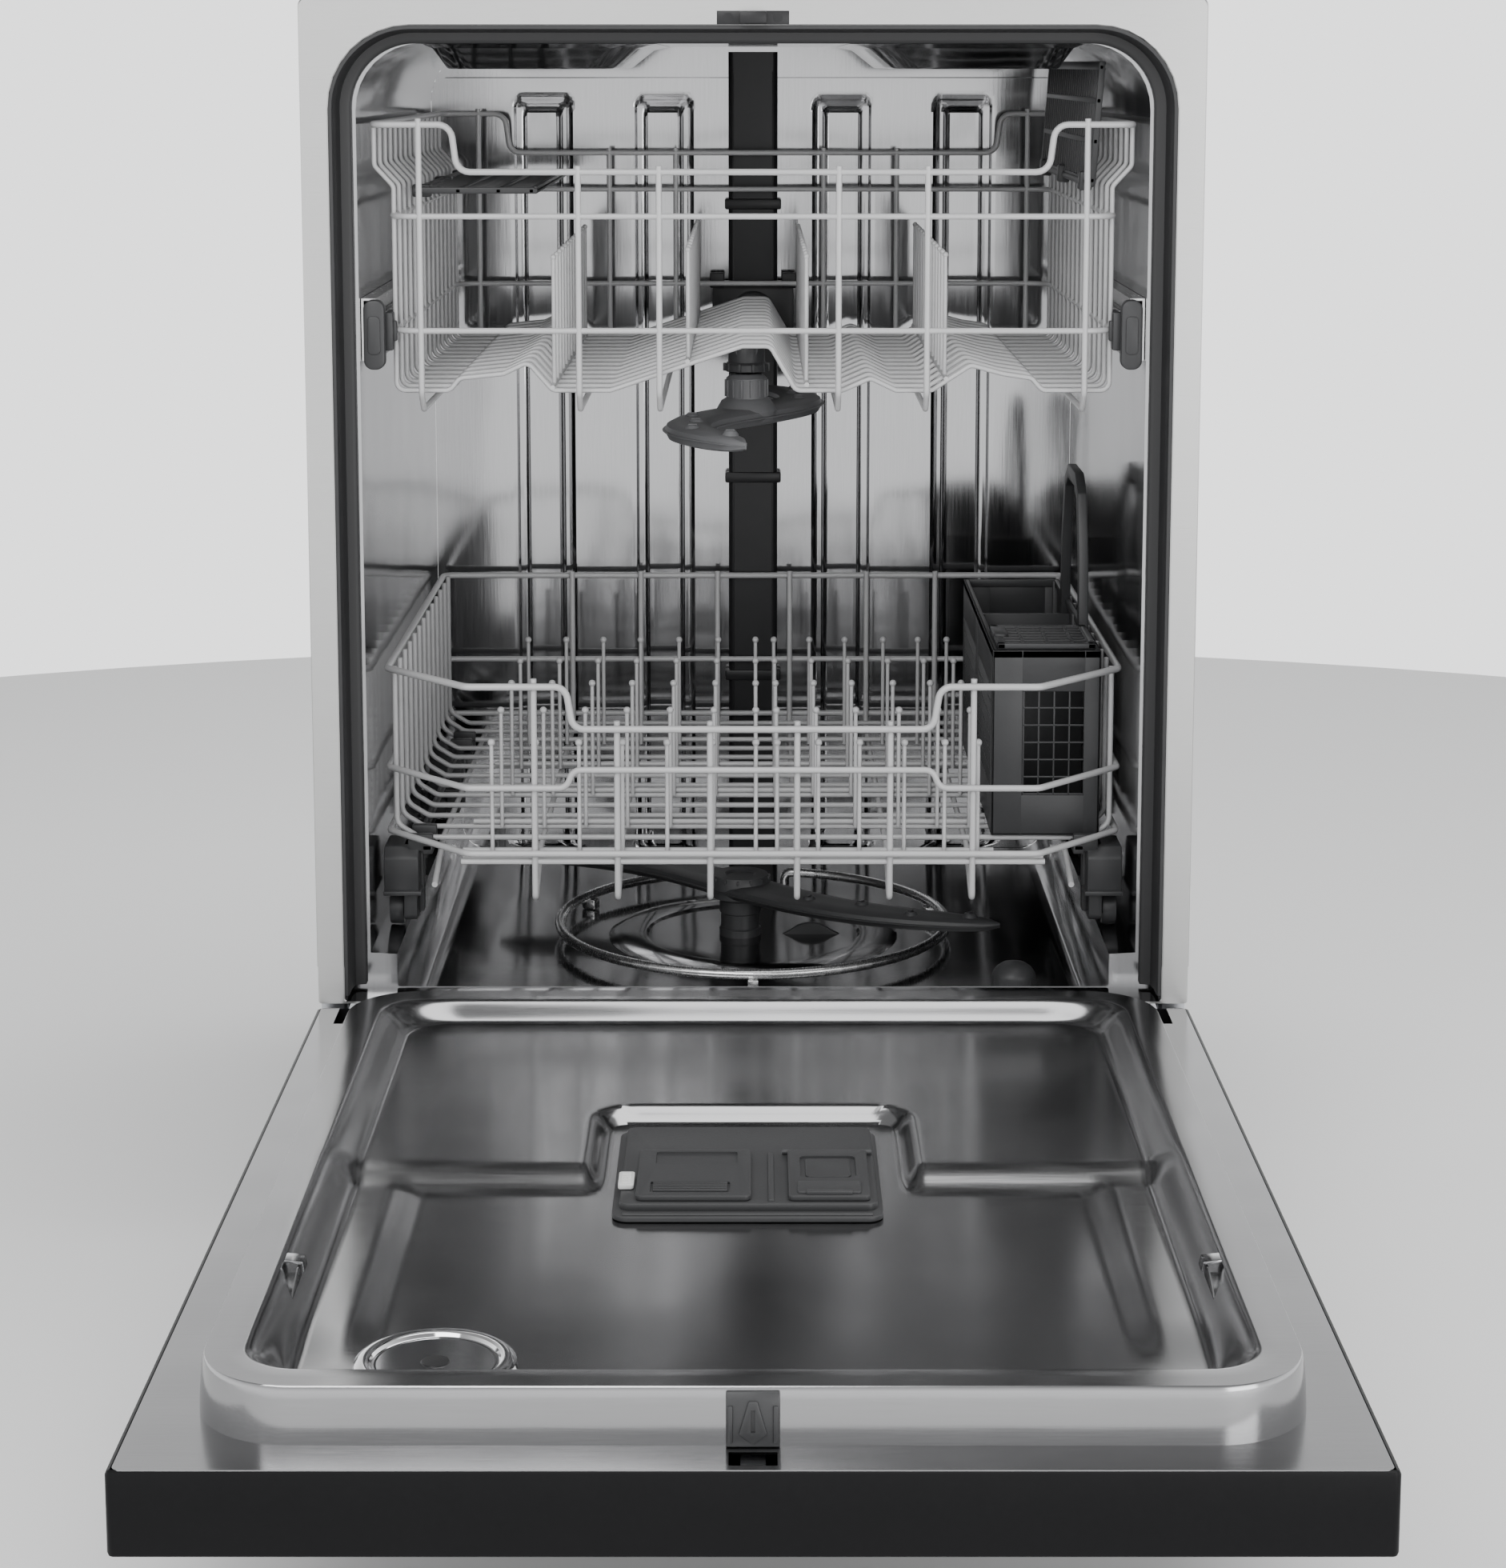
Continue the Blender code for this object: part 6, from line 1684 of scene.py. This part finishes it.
# %% Vent and latch
VENT_LOW, VENT_HIGH = extent("door_vent")
vent_x, vent_y = (VENT_LOW.x + VENT_HIGH.x) / 2, (VENT_LOW.y + VENT_HIGH.y) / 2
vent_r, vent_z = (VENT_HIGH.x - VENT_LOW.x) / 2, VENT_LOW.z
vent_middle = (vent_x, vent_y, vent_z)
collar = turned([(vent_r - 0.0095, 0.0004), (vent_r - 0.0005, 0), (vent_r, 0.0012),
                 (vent_r - 0.0008, 0.0034), (vent_r - 0.0032, 0.0052),
                 (vent_r - 0.006, 0.0056), (vent_r - 0.0085, 0.0046),
                 (vent_r - 0.0095, 0.003)], vent_middle, "Z", 96)
piece("vent_collar", [collar], CHROME, "door", ["door_vent"])


def vent_disc():
    """A dark disc with two rings of radial slots, made by cutting one slotted sector shape away."""
    r = vent_r - 0.0098
    disc = turned([(0, 0.0004), (r, 0.0004), (r, 0.0026), (r - 0.0012, 0.0032),
                   (r - 0.004, 0.0024), (0.0075, 0.0028), (0.0068, 0.0036), (0, 0.0038)],
                  vent_middle, "Z", 72)
    outer, inner = [in_ring(block((r * a, r * b), (-0.00055, 0.00055), (0.0012, 0.008), 0), DARK_GREY, count,
                            vent_middle) for a, b, count in ((0.66, 0.88, 24), (0.34, 0.58, 12))]
    return [cut_out(cut_out(disc, outer), inner)]


piece("vent_grille", vent_disc(), BLACK_PLASTIC, "door")

COVER_X, COVER_Y, COVER_Z = spans("latch_cover")


def latch_face():
    """The strike's cover on the rim's far wall, with a raised arrowhead for the hook's slot."""
    wall = COVER_Y[1]
    shell = prism([(COVER_Y[0] + 0.0012, COVER_Z[0]), (wall, COVER_Z[0]), (wall, COVER_Z[1] - 0.001),
                   (COVER_Y[0] + 0.0036, COVER_Z[1] - 0.001), (COVER_Y[0] + 0.0016, COVER_Z[1] - 0.006)],
                  "X", COVER_X[0], COVER_X[1], 0.0009)
    mid = (COVER_Z[0] + COVER_Z[1]) / 2 - 0.001
    head = [(-0.0068, mid - 0.006), (0, mid - 0.0115), (0.0068, mid - 0.006), (0.0022, mid + 0.01),
            (-0.0022, mid + 0.01)]
    arrow = prism(head, "Y", COVER_Y[0] + 0.0002, COVER_Y[0] + 0.003, 0.0007)
    slot = block((-0.001, 0.001), (COVER_Y[0] - 0.01, COVER_Y[0] + 0.0022), (mid - 0.005, mid + 0.006), 0)
    sides = [block((s * 0.0108 - 0.0012, s * 0.0108 + 0.0012), (COVER_Y[0] + 0.0004, COVER_Y[0] + 0.003),
                   within(COVER_Z, 0.002, 0.007), 0.0006) for s in (-1, 1)]
    return [shell, cut_out(arrow, slot)] + sides


piece("latch_cap", latch_face(), DARK_GREY, "door", ["latch_cover"])

# %% [markdown]
# ## Washing: sump, filters, heater and float
#
# Water gathers in the sump under a fine sheet of round holes.  A twist-out cup strains the
# rest, a steel heater lies in a ring round them, and a small dome floats to stop overfilling.

# %% Filters
STRAINER_X, _, STRAINER_Z = spans("coarse_filter")
FINE_X, _, FINE_Z = spans("fine_filter")
cup_x, cup_r = (STRAINER_X[0] + STRAINER_X[1]) / 2, (STRAINER_X[1] - STRAINER_X[0]) / 2


def pan_profile():
    r, z = SUMP_RADIUS, TUB_FLOOR
    low = SUMP_LOW.z
    return [(r * 0.42, low), (r * 0.47, low + 0.001), (r * 0.52, low + 0.02), (r - 0.006, z - 0.03),
            (r - 0.001, z - 0.01), (r, z - 0.0012), (r - 0.002, z - 0.0006), (r - 0.0034, z - 0.011),
            (r - 0.008, z - 0.029), (r * 0.5, low + 0.023), (r * 0.42, low + 0.003)]


def filter_disc():
    """The fine filter with the cup's and the column's holes cut in it."""
    disc = turned([(0, FINE_Z[0]), (FINE_X[1], FINE_Z[0]), (FINE_X[1], FINE_Z[1]), (0, FINE_Z[1])],
                  (0, SUMP_Y, 0), "Z", 80)
    for x, r in ((cup_x, cup_r + 0.0004), (column_x, COLUMN_HIGH.x - column_x + 0.0004)):
        disc = cut_out(disc, turned([(r, FINE_Z[0] - 0.01), (r, FINE_Z[1] + 0.01)], (x, SUMP_Y, 0)))
    return disc


def eyelets():
    """Raised eyelets on rings, left out where the holes are."""
    eyelet = turned([(0.0007, 0.0), (0.0017, 0.0), (0.0014, 0.0005), (0.0009, 0.0005)], (0, 0, 0), "Z", 8)
    found = []
    for ring in range(11):
        radius = 0.02 + ring * 0.0052
        count = int(2 * pi * radius / 0.0056)
        for i in range(count):
            x, y = radius * cos(2 * pi * i / count), radius * sin(2 * pi * i / count)
            if hypot(x - cup_x, y) < cup_r + 0.003 or hypot(x - column_x, y) < 0.02:
                continue
            one = eyelet.copy()
            one.transform(Matrix.Translation((x, SUMP_Y + y, FINE_Z[1] - 0.0001)))
            found.append(one)
    return found


sump_pan = turned(pan_profile(), (0, SUMP_Y, 0), "Z", 72)
piece("sump_pan", [sump_pan], DARK_GREY, "cabinet", ["sump"])
piece("filter_sheet", [filter_disc()] + eyelets(), TUB_STEEL, "cabinet", ["fine_filter"])


def strainer():
    """The coarse filter: a rim, a floor, hoops and staves round a hollow, and a grip across."""
    low, top = STRAINER_Z[0], TUB_FLOOR - 0.002
    r = cup_r
    rim = turned([(r - 0.0035, -0.01), (r, -0.01), (r, -0.0006), (r - 0.0006, 0), (r - 0.0029, 0),
                  (r - 0.0035, -0.0006)], (0, 0, top), "Z", 56)
    foot = turned([(0, 0), (r - 0.001, 0), (r, 0.001), (r, 0.004), (r - 0.002, 0.004), (r - 0.002, 0.0022),
                   (0, 0.0022)], (0, 0, low), "Z", 56)
    hoops = [turned([(r - 0.0022, 0), (r - 0.0004, 0), (r - 0.0004, 0.0016), (r - 0.0022, 0.0016),
                     (r - 0.0022, 0)],
                    (0, 0, z), "Z", 56) for z in spread(low + 0.012, top - 0.019, 3)]
    stave = block((r - 0.002, r - 0.0006), (-0.0006, 0.0006), (low + 0.003, top - 0.009), 0.0002)
    staves = in_ring(stave, DARK_GREY, 40, (0, 0, 0))
    grip = prism([(-r + 0.002, top - 0.007), (r - 0.002, top - 0.007), (r - 0.004, top + 0.002)]
                 + arc(0, top - 0.012, 0.0235, 50, 80, 12) + [(-r + 0.004, top + 0.002)],
                 "Y", -0.0026, 0.0026, 0.0009)
    return at([rim, foot, staves, grip] + hoops, cup_x, SUMP_Y)


piece("filter_cup", strainer(), DARK_GREY, "coarse_filter", ["coarse_filter"])

# %% Column, heater and float
c_low, c_top, c_r = COLUMN_LOW.z, COLUMN_HIGH.z, COLUMN_HIGH.x - column_x
column = turned([(0, c_low), (c_r, c_low), (c_r, c_top - 0.034), (c_r - 0.0012, c_top - 0.033),
                 (c_r - 0.0012, c_top - 0.022),
                 (c_r, c_top - 0.021), (c_r, c_top - 0.0115), (c_r - 0.001, c_top - 0.0102),
                 (0.0069, c_top - 0.01),
                 (0.0069, c_top - 0.001), (0.006, c_top - 0.0002), (0, c_top)], (column_x, SUMP_Y, 0))
piece("arm_post", [column], DARK_GREY, "cabinet", ["arm_column"])

HEAT_X, _, HEAT_Z = spans("heater_element")
heat_z = HEAT_Z[1] - 0.004
heat_r = HEAT_X[1] - 0.004
loop = [(heat_r * cos(a), SUMP_Y + heat_r * sin(a), heat_z)
        for a in (radians(100 + 340 * i / 68) for i in range(69))]
legs = [(loop[0][0], loop[0][1] + 0.001, TUB_FLOOR + 0.0006),
        (loop[-1][0], loop[-1][1] + 0.001, TUB_FLOOR + 0.0006)]
heater = grown(WIRE_TREE, lines([legs[0]] + loop + [legs[1]]), RAIL_STEEL, Wire_radius=0.0038,
               Bend_radius=0.006, Sides=16, Ball_radius=0.00001)
stands = []
for turn in (20, 150, 270):
    a = radians(turn)
    stand = block(about(heat_r, 0.006), (-0.004, 0.004), (TUB_FLOOR + 0.0004, heat_z - 0.003), 0.001)
    stand.transform(Matrix.Translation((0, SUMP_Y, 0)) @ Matrix.Rotation(a, 4, "Z"))
    stands.append(stand)
piece("heater_loop", [heater], RAIL_STEEL, "cabinet", ["heater_element"], angle=60)
piece("heater_stands", stands, RAIL_STEEL, "cabinet")

FLOAT_X, FLOAT_Y, FLOAT_Z = spans("float_dome")
fx, fy, fr = (FLOAT_X[0] + FLOAT_X[1]) / 2, (FLOAT_Y[0] + FLOAT_Y[1]) / 2, (FLOAT_X[1] - FLOAT_X[0]) / 2
f_top = FLOAT_Z[1] - FLOAT_Z[0]
dome = turned([(0, 0), (fr, 0), (fr, 0.013), (fr - 0.0008, 0.0155), (fr - 0.003, 0.0188),
               (fr - 0.0072, 0.0218), (0.004, f_top - 0.0006), (0, f_top)], (0, 0, FLOAT_Z[0]))
flutes = in_ring(block((fr - 0.001, fr + 0.0002), (-0.0007, 0.0007), (0.0015, 0.012), 0.0003), DARK_GREY, 16,
                 (0, 0, FLOAT_Z[0]))
piece("float_cap", at([dome, flutes], fx, fy), DARK_GREY, "float_dome", ["float_dome"])

# %% [markdown]
# ## Under the tub
#
# Two pumps and the inlet valve sit in the base tray, coil springs balance the door, and the
# machine stands on four screw feet.

# %% Pumps and valve
def pump(node, profile, fins, finish):
    """A turned pump body along X with cooling fins round its motor."""
    (x0, x1), (y0, y1), (z0, z1) = spans(node)
    centre = (0, (y0 + y1) / 2, (z0 + z1) / 2)
    radius = (z1 - z0) / 2
    side = -1 if x1 < 0 else 1
    start = x1 if side < 0 else x0
    body = turned([(r * radius, start + side * t * (x1 - x0)) for r, t in profile], centre, "X", 48)
    fin_at, fin_r, count = fins
    rings = []
    for t in spread(fin_at[0], fin_at[1], count):
        x = start + side * t * (x1 - x0)
        rings.append(turned([(fin_r * radius, x), (fin_r * radius + 0.0018, x),
                             (fin_r * radius + 0.0018, x + 0.0016),
                             (fin_r * radius, x + 0.0016)], centre, "X", 40))
    piece(node + "_body", [body] + rings, finish, "cabinet", [node])


pump("circulation_pump", [(0.47, 0), (0.49, 0.02), (0.98, 0.09), (1.0, 0.12), (1.0, 0.4), (0.96, 0.43),
                          (0.77, 0.46), (0.76, 0.98), (0.7, 1.0)], ((0.52, 0.94), 0.75, 9), DARK_GREY)
pump("drain_pump", [(0.58, 0), (0.6, 0.02), (0.97, 0.08), (1.0, 0.11), (1.0, 0.42), (0.95, 0.46), (0.73, 0.5),
                    (0.72, 0.98), (0.66, 1.0)], ((0.56, 0.92), 0.71, 7), BLACK_PLASTIC)
VALVE_X, VALVE_Y, VALVE_Z = spans("inlet_valve")
valve_centre = (0, (VALVE_Y[0] + VALVE_Y[1]) / 2, (VALVE_Z[0] + VALVE_Z[1]) / 2)
threads = [(0.0056 + 0.0004 * (i % 2), VALVE_X[0] + 0.0006 * i) for i in range(4)]
valve = turned(threads + [(0.0118, VALVE_X[0] + 0.0022), (0.012, VALVE_X[0] + 0.003),
                          (0.012, VALVE_X[0] + 0.021),
                          (0.0158, VALVE_X[0] + 0.024), (0.016, VALVE_X[0] + 0.026),
                          (0.016, VALVE_X[1] - 0.002), (0.015, VALVE_X[1])], valve_centre, "X", 40)
piece("inlet_body", [valve], WHITE_PLASTIC, "cabinet", ["inlet_valve"])

# %% Door springs
for word in ("left", "right"):
    (x0, x1), (y0, y1), (z0, z1) = spans("door_spring_" + word)
    middle = ((x0 + x1) / 2, y0 + 0.014, (z0 + z1) / 2)
    coil = grown(COIL_TREE, lines([(0, 0, 0), (0, 0, 0.001)]), ZINC, Turns=36.0, Coil_radius=0.0062,
                 Wire_radius=0.0011, Length=y1 - y0 - 0.028)
    coil.transform(Matrix.Translation(middle) @ Matrix.Rotation(-pi / 2, 4, "X"))
    x, _, z = middle
    hooks = []
    for end, way in ((y0, 1), (y1, -1)):
        path = [(x + 0.0062, end + way * 0.0145, z), (x, end + way * 0.0125, z), (x, end + way * 0.002, z),
                (x, end + way * 0.002, z - 0.005)]
        hooks.append(grown(WIRE_TREE, lines(path), ZINC, Wire_radius=0.0011, Bend_radius=0.003, Sides=8,
                           Ball_radius=0.00001))
    piece("spring_" + word, [coil] + hooks, ZINC, "cabinet", ["door_spring_" + word], angle=60)

# %% Feet and toe kick
def foot(name):
    (x0, x1), (y0, y1), (z0, z1) = spans(name)
    r = (x1 - x0) / 2
    pad = turned([(0, 0.0004), (r - 0.002, 0.0), (r, 0.0012), (r, 0.0046), (r - 0.002, 0.0058),
                  (0.011, 0.0078), (0.0095, 0.008), (0, 0.008)], (0, 0, 0))
    nut = turned([(0.0098, 0.0078), (0.0098, 0.0228), (0.0092, 0.0234)], (0, 0, 0), "Z", 6)
    screw = [(0.0046 if i % 2 else 0.005, 0.023 + 0.0008 * i) for i in range(int((z1 - 0.0236) / 0.0008))]
    stem = turned(screw, (0, 0, 0), "Z", 24)
    flutes = in_ring(block((r - 0.0012, r), (-0.001, 0.001), (0.0012, 0.0046), 0.0003), BLACK_PLASTIC, 24,
                     (0, 0, 0))
    return at([pad, nut, stem, flutes], (x0 + x1) / 2, (y0 + y1) / 2)


for name in ("foot_front_left", "foot_front_right", "foot_rear_left", "foot_rear_right"):
    piece(name + "_screw", foot(name), BLACK_PLASTIC, name, [name])

KICK_X, KICK_Y, KICK_Z = spans("toe_kick")
kick = block(KICK_X, KICK_Y, KICK_Z, 0.0008)
for x in within(KICK_X, 0.06, 0.18):
    slots = in_grid(block((x, x + 0.003), (KICK_Y[0] - 0.01, KICK_Y[1] + 0.01), (0.04, 0.075), 0),
                    BLACK_ENAMEL, 12, (0.0095, 0, 0))
    kick = cut_out(kick, slots)
piece("toe_plate", [kick], BLACK_ENAMEL, "cabinet", ["toe_kick"])

# %% [markdown]
# ## Frame, hinges and blanket
#
# Folded posts hold the flange to the base, the door turns on a pin in each hinge plate, and
# a quilted felt wraps the tub to quieten it.

# %% Posts and hinges
def channel_post(word, side):
    (x0, x1), (y0, y1), (z0, z1) = spans("side_post_" + word)
    outer, inner = (x1, x0) if side > 0 else (x0, x1)
    web = 0.0014 * side
    outline = [(outer, y0), (outer, y1), (inner, y1), (inner, y1 - 0.0014), (outer - web, y1 - 0.0014),
               (outer - web, y0 + 0.0014), (inner, y0 + 0.0014), (inner, y0)]
    post = prism(outline, "Z", z0, z1, 0.0003)
    drill = turned([(0.0032, x0 - 0.01), (0.0032, x1 + 0.01)], (0, (y0 + y1) / 2, z0 + 0.06), "X", 20)
    return cut_out(post, in_grid(drill, ZINC, 8, (0, 0, (z1 - z0 - 0.12) / 7)))


def hinge_plate(word):
    (x0, x1), (y0, y1), (z0, z1) = spans("hinge_bracket_" + word)
    inner, outer = (x0, x1 - 0.0075) if x1 > 0 else (x0 + 0.0075, x1)
    r, mid = (z1 - z0) / 2, (z0 + z1) / 2
    y = y0 + r
    outline = [(y1, z0), (y1, z1)] + arc(y, mid, r, 90, 180, 24)
    plate = prism(outline, "X", inner, outer, 0.0005)
    pin = turned([(0.003, x0), (0.004, x0 + 0.0008), (0.004, x1 - 0.0008), (0.003, x1)], (0, y, mid), "X", 32)
    rivets = [turned([(0.0036, inner - 0.0008), (0.0036, outer + 0.0008)], (0, place, mid), "X", 20)
              for place in (y1 - 0.012, y1 - 0.032)]
    return [plate, pin] + rivets


def hinge_lever(word):
    (x0, x1), (y0, y1), (z0, z1) = spans("hinge_arm_" + word)
    r, mid = (z1 - z0) / 2, (z0 + z1) / 2
    outline = [(y0, z1), (y0, z0)] + arc(y1 - r, mid, r, -90, 180, 24)
    lever = prism(outline, "X", x0, x1, 0.0005)
    hole = turned([(0.0043, x0 - 0.01), (0.0043, x1 + 0.01)], (0, y1 - r, mid), "X", 32)
    slot = block((x0 - 0.01, x1 + 0.01), (y0 + 0.03, y1 - 0.06), about(mid, 0.003), 0)
    return cut_out(cut_out(lever, hole), slot)


for side, word in ((1, "right"), (-1, "left")):
    piece("post_" + word, [channel_post(word, side)], ZINC, "cabinet", ["side_post_" + word])
    piece("hinge_plate_" + word, hinge_plate(word), ZINC, "cabinet", ["hinge_bracket_" + word])
    piece("hinge_lever_" + word, [hinge_lever(word)], ZINC, "door", ["hinge_arm_" + word])

# %% Blanket
BLANKET_X, BLANKET_Y, BLANKET_Z = spans("sound_blanket")


def blanket_loop(y, puff):
    """An arch of felt at one depth; its outside swells between the stitched seams."""
    half, top, low, r = BLANKET_X[1], BLANKET_Z[1], BLANKET_Z[0], 0.05
    inner = half - 0.0096
    path = [(half, low + (top - r - low) * i / 60) for i in range(60)]
    path += arc(half - r, top - r, r, 0, 90, 12)
    path += [(half - r - (2 * half - 2 * r) * i / 48, top) for i in range(1, 48)]
    path += arc(-half + r, top - r, r, 90, 90, 12)
    path += [(-half, top - r - (top - r - low) * (i + 1) / 60) for i in range(60)]
    outer = []
    for k, (x, z) in enumerate(path):
        along = abs(sin(pi * k / len(path) * 14))
        inset = 0.003 * (1 - min(along * 2.2, 1.0) * puff)
        outer.append((x * (1 - inset / half), y, z - inset * (z > top - 0.02)))
    back = [(x * inner / half, y, min(z, top - 0.0096)) for x, z in path[::-1]]
    return outer + back


def quilted_wrap():
    loops = []
    for i in range(89):
        y = BLANKET_Y[0] + (BLANKET_Y[1] - BLANKET_Y[0]) * i / 88
        loops.append(blanket_loop(y, min(abs(sin(pi * i / 88 * 5)) * 2.2, 1.0)))
    return loft(loops)


piece("quilted_blanket", [quilted_wrap()], FELT, "cabinet", ["sound_blanket"], angle=60)

# %% Strike
STRIKE_X, STRIKE_Y, STRIKE_Z = spans("latch_strike")
mid_z = (STRIKE_Z[0] + STRIKE_Z[1]) / 2
plate = block(STRIKE_X, (-0.0008, -0.0002), STRIKE_Z, 0.0002)
tongue = block((-0.009, 0.009), (STRIKE_Y[0], -0.0004), about(mid_z, 0.004), 0.0008)
tongue = cut_out(tongue, block((-0.0055, 0.0055), (STRIKE_Y[0] + 0.0025, -0.003), about(mid_z, 0.01), 0))
screws = [turned([(0.0026, -0.0009), (0.0034, -0.00085), (0.0034, -0.0006)], (x, 0, mid_z), "Y", 20)
          for x in (-0.0165, 0.0165)]
piece("strike_plate", [plate, tongue] + screws, BLACK_PLASTIC, "cabinet", ["latch_strike"])

# %% [markdown]
# ## Nodes kept from the frame
#
# A few plain sheet-metal parts are already right as they stand, so they stay and only take
# one of the finishes above.

# %% Finishes for the kept nodes
KEPT = {"base_pan": BLACK_PLASTIC, "latch_hook": ZINC, "worktop_bracket_left": ZINC,
        "worktop_bracket_right": ZINC, "rail_outer_left": RAIL_STEEL, "rail_outer_right": RAIL_STEEL}
for name, finish in KEPT.items():
    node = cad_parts[name]
    node.data.materials.clear()
    node.data.materials.append(finish)
print(len(made), "pieces made,", len(KEPT), "nodes kept")
